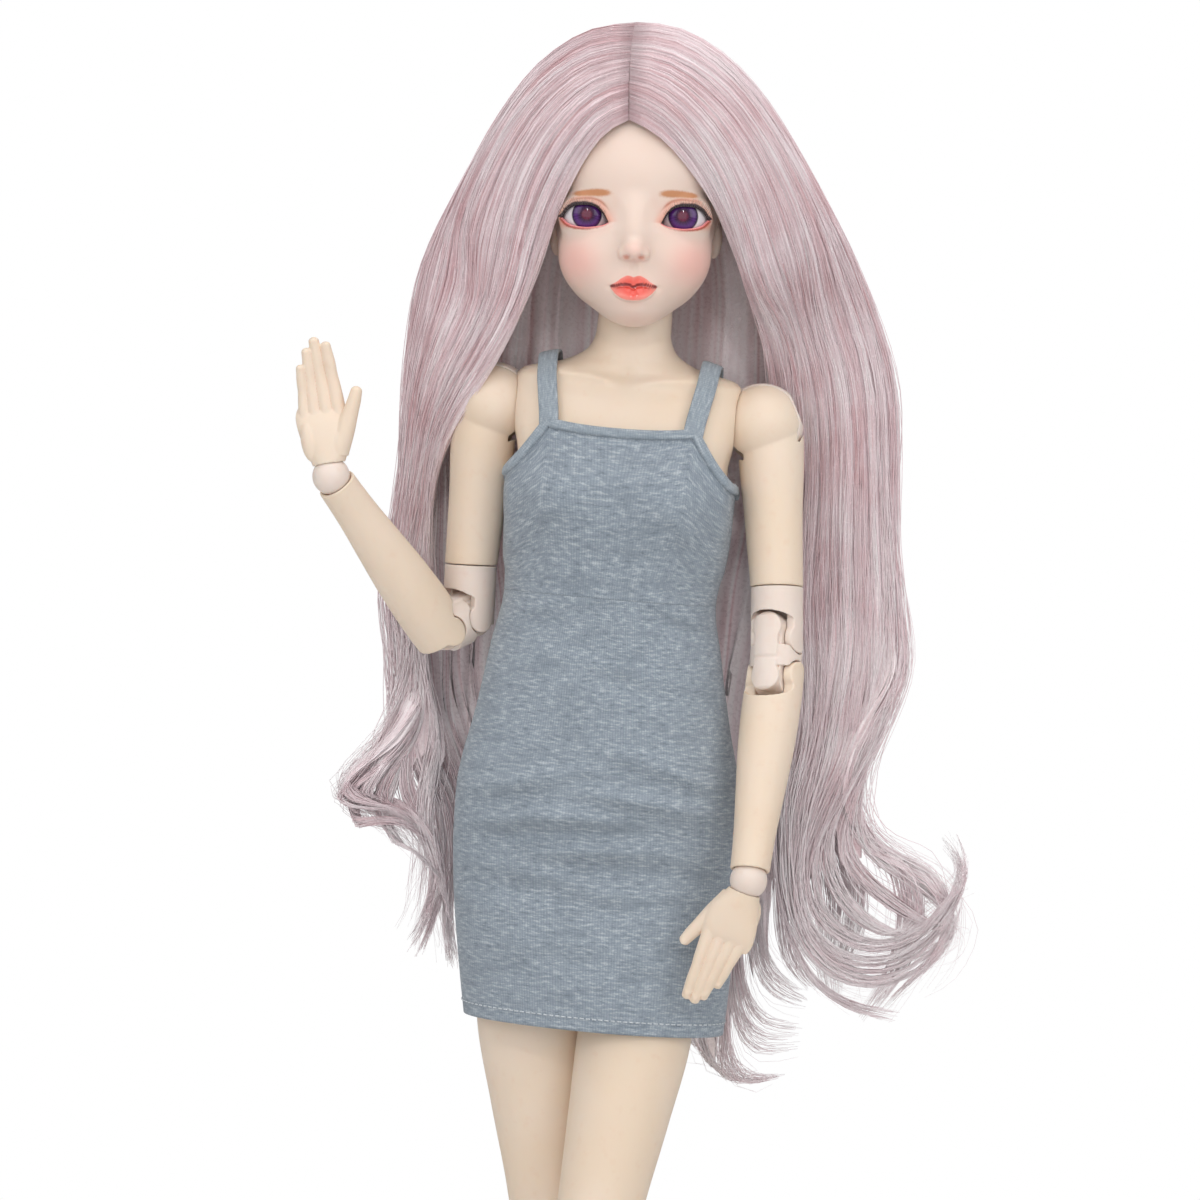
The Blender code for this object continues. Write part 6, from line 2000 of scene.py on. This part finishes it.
FALLS = {
    Side.RIGHT: {
        0.0: ((-26.5, -21, 540), (-33.6, -14, 518), (-42.5, -9, 498), (-51.5, -7, 484),
              (-59, 2, 469), (-62, 12, 450), (-62, 18, 425), (-60, 21, 400), (-57, 23, 380),
              (-52, 24, 360), (-50, 25, 340), (-47, 26, 318), (-44, 27, 300)),
        0.12: ((-41, -8, 520), (-50, -6, 500), (-58, -2, 484), (-64, 7, 466), (-67, 15, 445),
               (-68, 20, 420), (-66, 22, 398), (-69, 23, 378), (-80, 23, 358), (-88, 23, 349),
               (-80, 23, 343.5), (-66, 24, 344), (-54, 25, 337)),
        0.28: ((-52, -5, 524), (-60, -3, 505), (-66, 3, 485), (-69, 11, 464), (-71, 18, 440),
               (-72, 22, 415), (-69, 24, 392), (-70, 25, 374), (-79, 25, 357), (-84, 25, 349),
               (-76, 25, 346), (-62, 26, 343), (-53, 27, 330), (-54, 28, 316)),
        0.42: ((-66, 4, 528), (-71, 8, 508), (-73.5, 14, 486), (-74, 20, 462), (-76, 25, 436),
               (-76, 28, 410), (-72, 30, 388), (-66, 32, 366), (-58, 33, 345), (-54, 33, 325),
               (-58, 33, 306), (-63, 33, 300)),
        0.56: ((-72, 18, 522), (-74.5, 22, 503), (-75, 26, 480), (-73, 30, 455), (-72, 34, 428),
               (-70, 37, 402), (-64, 39, 378), (-56, 40, 355), (-50, 41, 330), (-46, 42, 306),
               (-41, 42, 292)),
        0.72: ((-62, 35, 525), (-64, 38, 500), (-62, 40, 470), (-58, 42, 440), (-55, 44, 410),
               (-51, 47, 382), (-46, 50, 352), (-42, 52, 325), (-38, 52, 300), (-30, 51, 288)),
        0.86: ((-42, 46, 515), (-42, 46, 490), (-40, 46, 455), (-37, 46, 425), (-34, 48, 395),
               (-31, 52, 362), (-28, 55, 330), (-24, 56, 305), (-15, 54, 285)),
        1.0: ((1.5, 49.6, 515), (2, 48.8, 490), (2.5, 47.4, 455), (2.5, 46.9, 425), (2, 48.8, 395),
              (1, 54.5, 362), (0, 57, 330), (-2, 58, 305), (-4, 56, 284)),
    },
    Side.LEFT: {
        0.0: ((39, 4, 518), (44, 15, 502), (46, 22, 482), (47, 25, 455), (48, 26, 425),
              (52, 27, 398), (57, 28, 375), (58, 29, 352), (60, 30, 328), (70, 30, 306),
              (86, 30, 291), (100, 29, 284)),
        0.12: ((48, 6, 518), (54, 14, 500), (57, 21, 478), (58, 25, 452), (59, 27, 425),
               (61, 28, 400), (64, 29, 378), (62, 29, 355), (64, 30, 330), (75, 30, 311),
               (92, 30, 303), (108, 30, 309), (119, 29, 326)),
        0.28: ((58, 8, 522), (66, 14, 503), (70, 20, 480), (72, 24, 455), (73, 27, 428),
               (75, 28, 403), (74, 29, 380), (68, 29, 358), (67, 30, 338), (75, 30, 318),
               (92, 30, 309), (108, 30, 315), (120, 29, 333), (121, 29, 343)),
        0.42: ((72, 14, 526), (80, 18, 506), (84, 23, 482), (86, 27, 455), (89, 29, 430),
               (93, 30, 408), (88, 31, 385), (80, 31, 365), (76, 31, 345), (84, 31, 325),
               (98, 31, 318), (113, 31, 327), (121, 30, 342), (113, 30, 354)),
        0.56: ((79, 20, 519), (86, 25, 500), (88, 29, 475), (89, 32, 448), (93, 33, 425),
               (97, 33, 407), (91, 33, 388), (84, 33, 370), (89, 33, 354), (102, 33, 347),
               (114, 33, 341), (119, 33, 325), (110, 32, 305), (100, 31, 292)),
        0.72: ((68, 36, 524), (74, 40, 500), (74, 42, 470), (72, 44, 440), (70, 45, 410),
               (66, 47, 385), (60, 49, 358), (58, 51, 330), (64, 52, 308), (76, 51, 296)),
        0.86: ((44, 46, 515), (46, 47, 490), (46, 47, 455), (43, 47, 425), (40, 49, 395),
               (38, 53, 362), (40, 56, 330), (44, 57, 302), (43, 56, 278), (50, 54, 262),
               (66, 52, 266)),
        1.0: ((-3, 48.4, 515), (-3.5, 47.4, 490), (-3.5, 46, 455), (-3, 45.6, 425), (-2, 47.5, 395),
              (0, 53.5, 362), (3, 56.8, 330), (12, 58, 305), (24, 56, 284)),
    },
}


@dataclass
class LockSheet:
    """The outer surface of one half of the wig: u runs from the face to the nape, t from root to tip."""

    side: Side
    head_frame: Matrix
    split: float = 440.0
    across: int = 121
    down: int = 129
    locks: int = 22

    # Distance along a lock, in millimetres, at t = 0, at the split and at the tip
    RUN = ((0.0, 0.5, 1.0), (0.0, 150.0, 330.0))
    WAVE_LONG = 68

    def __post_init__(self) -> None:
        """Lays the sheet through its guides, finds which way is outward and divides it into locks."""
        falls, rows = FALLS[self.side], []
        t = np.linspace(0, 1, self.down)
        for u, crown in CROWN_GUIDES.items():
            if u == 0.0 and self.side is Side.RIGHT:
                crown = RIGHT_FRONT
            top = [tuple(self.head_frame @ Vector((self.side.value * x, y, z))) for x, y, z in crown]
            low = [p for p in falls[u] if p[2] < top[-1][2] - 6.0]
            rows.append(self.measured(np.array(top + low, float), t))
        us = np.linspace(0, 1, self.across)
        self.grid = spline(us, list(CROWN_GUIDES), np.array(rows))
        along, over = np.gradient(self.grid, axis=1), np.gradient(self.grid, axis=0)
        outward = np.cross(over, along)
        outward /= np.linalg.norm(outward, axis=2, keepdims=True) + 1e-9
        middle = self.grid[:, 6:40] - np.array(self.head_frame.translation)
        if (outward[:, 6:40] * middle).sum() < 0:
            outward = -outward
        for _ in range(6):
            outward[1:-1] = (outward[:-2] + 2 * outward[1:-1] + outward[2:]) / 4
            outward[:, 1:-1] = (outward[:, :-2] + 2 * outward[:, 1:-1] + outward[:, 2:]) / 4
        self.outward = outward / np.linalg.norm(outward, axis=2, keepdims=True)
        self.over = over / (np.linalg.norm(over, axis=2, keepdims=True) + 1e-9)
        rng = np.random.default_rng(7 + self.side.value)
        inner = (np.arange(1, self.locks) + rng.uniform(-0.35, 0.35, self.locks - 1)) / self.locks
        self.edges = np.concatenate([[0.0], inner, [1.0]])
        self.phases = rng.uniform(0, math.pi, self.locks)

    def measured(self, knots: np.ndarray, t: np.ndarray) -> np.ndarray:
        """A guide's places at t, where t = 0.5 lies at the height of the split."""
        ticks = np.concatenate([[0], np.cumsum(np.linalg.norm(np.diff(knots, axis=0), axis=1) ** 0.5)])
        fine = spline(np.linspace(0, ticks[-1], 600), ticks, knots)
        run = lengths(fine)
        even = np.arange(0, run[-1], 1.0)
        fine = np.stack([np.interp(even, run, fine[:, k]) for k in range(3)], axis=1)
        soft, softer = fine, fine
        for rounds in range(8):
            before, after = 2 * softer[:1] - softer[5:0:-1], 2 * softer[-1:] - softer[-2:-7:-1]
            pad = np.concatenate([before, softer, after])
            softer = sum(pad[k:k + len(fine)] for k in range(11)) / 11
            if rounds == 1:
                soft = softer
        share = ramp(fine[:, 2:], 455.0, 490.0) * ramp(even, 6.0, 30.0)[:, None]
        fine = soft + (softer - soft) * share
        run = lengths(fine)
        cut = run[int(np.argmax(fine[:, 2] < self.split))]
        want = np.where(t < 0.5, t * 2 * cut, cut + (t * 2 - 1) * (run[-1] - cut))
        return np.stack([np.interp(want, run, fine[:, k]) for k in range(3)], axis=1)

    def shape(self, u: np.ndarray, t: np.ndarray) -> tuple[np.ndarray, np.ndarray]:
        """Relief of the locks: how far hair stands out of the sheet, and how far it sways across it."""
        lock, middle = self.lock_of(u)
        half = (self.edges[lock + 1] - self.edges[lock]) / 2
        groove = ((u - middle) / half) ** 2 * np.interp(t, (0.0, 0.08, 0.45, 0.8), (0.1, 0.75, 1.3, 1.2))
        run = np.interp(t, *self.RUN)
        grow, phase = ramp(t, 0.3, 0.75), self.phases[lock] + u * 9.0
        wave = 2 * np.pi * run / self.WAVE_LONG + phase
        parting = 0.9 * np.exp(-t / 0.02)
        return 1.1 * grow * np.sin(wave) - groove - parting, 1.6 * grow * np.cos(wave)

    def lock_of(self, u: np.ndarray) -> tuple[np.ndarray, np.ndarray]:
        """The number of the lock at each place, and the place of that lock's middle."""
        lock = np.clip(np.searchsorted(self.edges, u) - 1, 0, self.locks - 1)
        return lock, (self.edges[lock] + self.edges[lock + 1]) / 2

    def surface(self, u: np.ndarray, t: np.ndarray) -> tuple[np.ndarray, ...]:
        """Places on the sheet, the way out of it there and the way across it."""
        return tuple(self.read(table, u, t) for table in (self.grid, self.outward, self.over))

    def read(self, table: np.ndarray, u: np.ndarray, t: np.ndarray) -> np.ndarray:
        """A table's values at places on the sheet, between its grid points."""
        a = np.clip(u, 0, 1) * (self.across - 1)
        b = np.clip(t, 0, 1) * (self.down - 1)
        i = np.clip(a.astype(int), 0, self.across - 2)
        j = np.clip(b.astype(int), 0, self.down - 2)
        fa, fb = (a - i)[..., None], (b - j)[..., None]
        low = table[i, j] * (1 - fb) + table[i, j + 1] * fb
        high = table[i + 1, j] * (1 - fb) + table[i + 1, j + 1] * fb
        return low * (1 - fa) + high * fa

    @staticmethod
    def depth(u: np.ndarray, t: np.ndarray) -> np.ndarray:
        """How deep the hair lies under the sheet."""
        long = np.interp(t, (0.0, 0.08, 0.25, 0.5, 0.8, 1.0), (1.5, 4.0, 7.0, 9.0, 7.5, 3.0))
        return long * np.interp(u, (0.0, 0.06, 0.2, 0.85, 1.0), (0.45, 0.7, 1.0, 0.9, 0.7))


@dataclass
class Wig:
    """A long wavy wig in two halves, parted in the middle, laid thread by thread over a backing."""

    head: HeadBuild
    threads: int = 2160
    stations: int = 30
    strings: int = 170
    stray: int = 260
    radius: float = 0.25
    stray_radius: float = 0.13

    def build(self) -> None:
        """Makes both halves."""
        for side in Side:
            sheet = LockSheet(side, self.head.wig_frame)
            self.backing(sheet)
            self.lay(sheet, self.threads, self.radius, 1.0, 2, "threads", side.value + 11)
            self.lay(sheet, self.stray, self.stray_radius, 3.0, 1, "stray", side.value + 31)

    def bend(self, piece: bpy.types.Object, lower: bool) -> None:
        """Bakes a piece's place into its mesh, the same way for the top and for the falls."""
        if lower:
            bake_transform(piece)
        else:
            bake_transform(piece)

    def file(self, name: str, mesh: bpy.types.Mesh, finish: Fibre, lower: bool, flat: int) -> None:
        """Settles one piece of hair; the first one stands for the CAD wig."""
        piece = settle(name, mesh, finish, flat=flat)
        self.bend(piece, lower)
        if name == "wig_left_backing_top":
            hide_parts("wig")

    @staticmethod
    def steps(n: int) -> np.ndarray:
        """Places along a thread; close ones at the split make the ends there shade like the rest."""
        top, low = np.linspace(0, 0.5, n), np.linspace(0.5, 1, n)
        return np.concatenate([top[:-1], [0.4997, 0.5, 0.5003], low[1:]])

    def paths(self, sheet: LockSheet, count: int, loose: float,
              seed: int) -> tuple[np.ndarray, np.ndarray]:
        """Places along every thread, and each thread's tone.

        Args:
            sheet: The half of the wig.
            count: How many threads.
            loose: How far they stray from their lock.
            seed: For the chance in it.

        Returns:
            Places (threads, stations, 3) and tones (threads).
        """
        rng = np.random.default_rng(seed)
        u = np.sort(np.clip((np.arange(count) + rng.random(count)) / count, 0, 1)) ** 1.06
        t = self.steps(self.stations)[None, :]
        end = rng.uniform(0.84, 1.0, count)[:, None]
        t = np.where(t <= 0.5, t, 0.5 + (t - 0.5) * end) + 0 * u[:, None]
        lock, middle = sheet.lock_of(u)
        string = np.minimum((u * self.strings).astype(int), self.strings - 1)
        string_mid = (string + 0.5 + rng.uniform(-0.3, 0.3, self.strings)[string]) / self.strings
        pull = np.interp(t, (0.0, 0.45, 0.6, 0.75, 1.0), (0.0, 0.1, 0.3, 0.6, 0.9))
        pull = pull * np.interp(u, (0.0, 0.5, 0.75), (1.0, 0.95, 0.5))[:, None]
        fine = np.interp(t, (0.0, 0.2, 0.5, 0.7, 1.0), (0.0, 0.15, 0.35, 0.6, 0.85))
        ue = u[:, None] + (string_mid - u)[:, None] * fine + (middle - string_mid)[:, None] * pull * 0.85
        if loose > 1:
            ue = ue + rng.normal(0, 0.012, count)[:, None] * (0.3 + t)
        place, outward, over = sheet.surface(ue, t)
        lift, sway = sheet.shape(ue, t)
        inner = rng.random(count)
        share = inner[:, None] + (0.5 - inner[:, None]) * pull * 0.5
        deep = share * (0.55 + (sheet.depth(ue, t) - 0.55) * ramp(t, 0.42, 0.8))
        turns = 2 * np.pi * np.interp(t, *sheet.RUN)
        own = rng.uniform(0, 2 * np.pi, count)[:, None]
        across_long = rng.uniform(45, 110, count)[:, None]
        jitter = (0.1 + 0.5 * t) * loose * np.sin(turns / across_long + own)
        out_long = rng.uniform(50, 120, count)[:, None]
        bob = (0.05 + 0.3 * t) * loose * np.cos(turns / out_long + own * 1.7)
        if loose > 1:
            bob = bob + 0.5 + 9.0 * t ** 2 * rng.random(count)[:, None] ** 2
            deep = deep * 0.1
        place = place + outward * (lift - deep + bob)[..., None] + over * (sway + jitter)[..., None]
        # random tone for each thread and each lock, where the lock term also serves as painted light and
        # shade between the ribbons; deeper threads get a darker tone, which is painted shade
        tone = 0.5 - 0.16 * inner + rng.normal(0, 0.15, count) + 0.12 * np.sin(lock * 2.4)
        return place, np.clip(tone, 0.02, 1.0)

    def lay(self, sheet: LockSheet, count: int, radius: float, loose: float, parts: int, word: str,
            seed: int) -> None:
        """Lays threads on one half, in pieces above and below the split.

        Args:
            sheet: The half of the wig.
            count: How many threads.
            radius: Their radius in the middle.
            loose: How far they stray from their lock.
            parts: How many pieces they are divided into.
            word: The word in their names.
            seed: For the chance in it.
        """
        place, tone = self.paths(sheet, count, loose, seed)
        n, steps = self.stations, self.steps(self.stations)
        size = radius * np.interp(steps, (0.0, 0.04, 0.8, 1.0), (0.6, 1.0, 0.95, 0.25))
        for lower in (False, True):
            span = slice(n, None) if lower else slice(0, n + 1)
            for part in range(parts):
                own = slice(part * count // parts, (part + 1) * count // parts)
                path = place[own, span]
                bundle = {"path": path, "radius": np.broadcast_to(size[span], path.shape[:2]),
                          "tone": tone[own]}
                mesh = Strands.mesh([bundle], steps[span])
                name = f"wig_{sheet.side.tag}_{word}_{'falls' if lower else 'crown'}_{part}"
                self.file(name, mesh, HAIR, lower, 2 * len(bundle["tone"]))

    def backing(self, sheet: LockSheet) -> None:
        """The mass of hair just under the threads: a closed thick skin with a streak for each thread."""
        columns, stations = 340, 56
        rng = np.random.default_rng(3 + sheet.side.value)
        streak = 0.42 + rng.normal(0, 0.16, columns) + 0.1 * np.sin(np.arange(columns) * 0.35)
        across = np.linspace(0.001, 0.999, columns)
        lock = sheet.lock_of(across)[0]
        end = 0.76 + 0.12 * ramp(across, 0.5, 0.75)
        end = end + 0.05 * np.sin(lock * 2.1) + 0.02 * np.sin(across * 190)
        for lower in (False, True):
            k = np.linspace(0, 1, stations)
            k = np.append(k[:1], [0.002, *k[1:]]) if lower else np.append(k[:-1], [0.9985, 1.0])
            uu = np.repeat(across[:, None], len(k), axis=1)
            tt = 0.5 + (end[:, None] - 0.5) * k[None, :] if lower else 0.5 * k[None, :] + 0 * uu
            place, outward, over = sheet.surface(uu, tt)
            lift, sway = sheet.shape(uu, tt)
            place = place + over * sway[..., None]
            under = 0.4 + 1.6 * ramp(tt, 0.55, 0.76)
            edge = np.minimum(np.minimum(uu / 0.015, (1 - uu) / 0.015), (end[:, None] - tt) / 0.08)
            thick = (0.25 + 0.55 * sheet.depth(uu, tt)) * np.clip(edge, 0.1, 1)
            outer = place + outward * (lift - under)[..., None]
            inner = place + outward * (np.minimum(lift, 0) * 0.5 - under - thick - 0.3)[..., None]
            ring = np.concatenate([outer, inner[::-1]])
            rows = len(ring)
            places = ring.transpose(1, 0, 2).reshape(-1, 3)
            low = np.arange(columns - 1)
            base = (len(k) - 1) * rows
            root = np.stack([low + 1, low, rows - 1 - low, rows - 2 - low], axis=1)
            tip = np.stack([low, low + 1, rows - 2 - low, rows - 1 - low], axis=1) + base
            caps = np.concatenate([root, tip])
            mesh = mesh_of(places, np.concatenate([grid_quads(len(k), rows, True), caps]))
            # the inner side's streaks are made lighter: painted light on hair that lies in shade
            note(mesh, "tone", np.tile(np.concatenate([streak, streak[::-1] * 1.3]), len(k)))
            note(mesh, "along", np.concatenate([tt, tt[::-1]]).T.ravel())
            name = f"wig_{sheet.side.tag}_backing_{'falls' if lower else 'top'}"
            self.file(name, mesh, SHADED_BACKING, lower, len(caps))


@dataclass
class Studio:
    """A white photo studio: pale floor, soft boxes and the camera at the photograph's angle."""

    target: Point = (-3.6, 0.0, 422.9)
    distance_mm: float = 1500.0
    azimuth: float = 4.5
    elevation: float = 2.0
    roll: float = 4.7
    lens: float = 138.46
    floor_reach: float = 3.0
    world_strength: float = 0.42
    # Name, place in millimetres, size in metres and watts of each soft box
    lamps: tuple = (
        ("box_left", (-1150, -1200, 1150), (0.9, 1.1), 5.8),
        ("box_right", (1250, -1100, 1150), (0.9, 1.1), 7.0),
        ("box_front", (0, -2000, 700), (1.4, 1.0), 5.6),
        ("box_top", (0, -350, 1700), (1.2, 1.0), 7.0),
        ("box_behind", (200, 1500, 1200), (1.2, 1.0), 4.0),
        ("catch_light", (60, -1200, 1120), (0.08, 0.08), 1.9),
    )

    def lamp(self, name: str, place: Point, size: tuple[float, float], watts: float) -> None:
        """Adds one soft box that faces the doll's chest.

        Args:
            name: Its name.
            place: Where it stands, in millimetres.
            size: Width and height of its face, in metres.
            watts: Its power.
        """
        light = bpy.data.lights.new(name, "AREA")
        light.shape = "RECTANGLE"
        light.size, light.size_y = size
        light.energy = watts
        ob = bpy.data.objects.new(name, light)
        bpy.context.scene.collection.objects.link(ob)
        here, there = Vector(place) * MM, Vector((0, 0, 430.0)) * MM
        ob.location = here
        ob.rotation_euler = (there - here).to_track_quat("-Z", "Y").to_euler()

    def floor(self) -> None:
        """Lays a pale floor, painted white in matt studio paint that shows faint roller marks."""
        mesh = bpy.data.meshes.new("studio_floor")
        reach, under = self.floor_reach, -0.5 * MM
        corners = [(x * reach, y * reach, under) for x, y in ((-1, -1), (1, -1), (1, 1), (-1, 1))]
        mesh.from_pydata(corners, [], [(0, 1, 2, 3)])
        material, tree, shader = blank("matt_floor_paint")
        marks = noise_of(tree, place_of(tree), 120.0, 3.0)
        tone = painted(tree, marks, linear("#E9E9E9"), linear("#EFEFEF"))
        tree.links.new(tone, shader.inputs["Base Color"])
        shader.inputs["Roughness"].default_value = 0.8
        seen = node(tree, "ShaderNodeLightPath").outputs["Is Camera Ray"]
        white = node(tree, "ShaderNodeEmission", {"Color": (1.0, 1.0, 1.0, 1.0), "Strength": 1.0})
        both = node(tree, "ShaderNodeMixShader", {0: seen, 1: shader.outputs[0], 2: white.outputs[0]})
        tree.links.new(both.outputs[0], tree.nodes["Material Output"].inputs["Surface"])
        mesh.materials.append(material)
        ob = bpy.data.objects.new("studio_floor", mesh)
        bpy.context.scene.collection.objects.link(ob)

    def world(self) -> None:
        """White where the camera looks past the doll, and a dim even light everywhere else."""
        world = bpy.data.worlds.new("studio_white")
        bpy.context.scene.world = world
        world.use_nodes = True
        tree = world.node_tree
        tree.nodes.clear()
        path = node(tree, "ShaderNodeLightPath")
        seen = times(tree, path.outputs["Is Camera Ray"], path.outputs["Is Transmission Ray"], "MAXIMUM")
        level = between(tree, seen, 0.0, 1.0, self.world_strength, 1.0)
        light = node(tree, "ShaderNodeBackground", {"Color": (1.0, 1.0, 1.0, 1.0), "Strength": level})
        node(tree, "ShaderNodeOutputWorld", {"Surface": light.outputs[0]})

    def camera(self) -> None:
        """Sets the camera where the photograph was taken from."""
        look = bpy.data.cameras.new("photo_camera")
        look.lens, look.sensor_width, look.clip_end = self.lens, 36.0, 20.0
        ob = bpy.data.objects.new("photo_camera", look)
        bpy.context.scene.collection.objects.link(ob)
        az, el = math.radians(self.azimuth), math.radians(self.elevation)
        away = Vector((math.sin(az) * math.cos(el), -math.cos(az) * math.cos(el), math.sin(el)))
        target = (Vector(self.target) + Vector(MIDLINE)) * MM
        lean = math.radians(self.roll)
        up = Vector((-math.sin(lean), 0, math.cos(lean)))
        right = up.cross(away).normalized()
        top = away.cross(right)
        turned = Matrix((right, top, away)).transposed().to_4x4()
        ob.matrix_world = Matrix.Translation(target + away * self.distance_mm * MM) @ turned
        bpy.context.scene.camera = ob

    def build(self) -> None:
        """Sets the stage, the light and the camera."""
        self.floor()
        self.world()
        for lamp in self.lamps:
            self.lamp(*lamp)
        self.camera()
        bpy.context.scene.view_settings.view_transform = "Standard"
        log.info("studio ready")


def dress_hidden_nodes() -> None:
    """Gives each CAD piece that stays in the model, such as the steel pins, its real finish."""
    finishes = {"hinge_pin_steel": STEEL, "joint_resin": JOINT, "body_resin": BODY}
    slots = {part["node"]: part["material_slot"] for part in frame["record"]["subparts"]}
    for name, ob in frame["nodes"].items():
        finish = finishes.get(slots.get(name, ""))
        if finish is not None:
            ob.data.materials.clear()
            ob.data.materials.append(Shelf.take(finish))


def main() -> None:
    """Clears what a new Blender file starts with, then builds the doll piece by piece and the studio."""
    logging.basicConfig(level=logging.INFO, format="%(name)s: %(message)s")
    for name in ("Cube", "Light", "Camera"):
        if name in bpy.context.scene.collection.all_objects:
            bpy.data.objects.remove(bpy.data.objects[name])
    torso = Torso()
    torso.build()
    for side in Side:
        Arm(side, torso).build()
        Leg(side, torso).build()
    head = HeadBuild(torso)
    head.build()
    Dress(torso).build()
    Wig(head).build()
    dress_hidden_nodes()
    Studio().build()


if __name__ == "__main__":
    main()
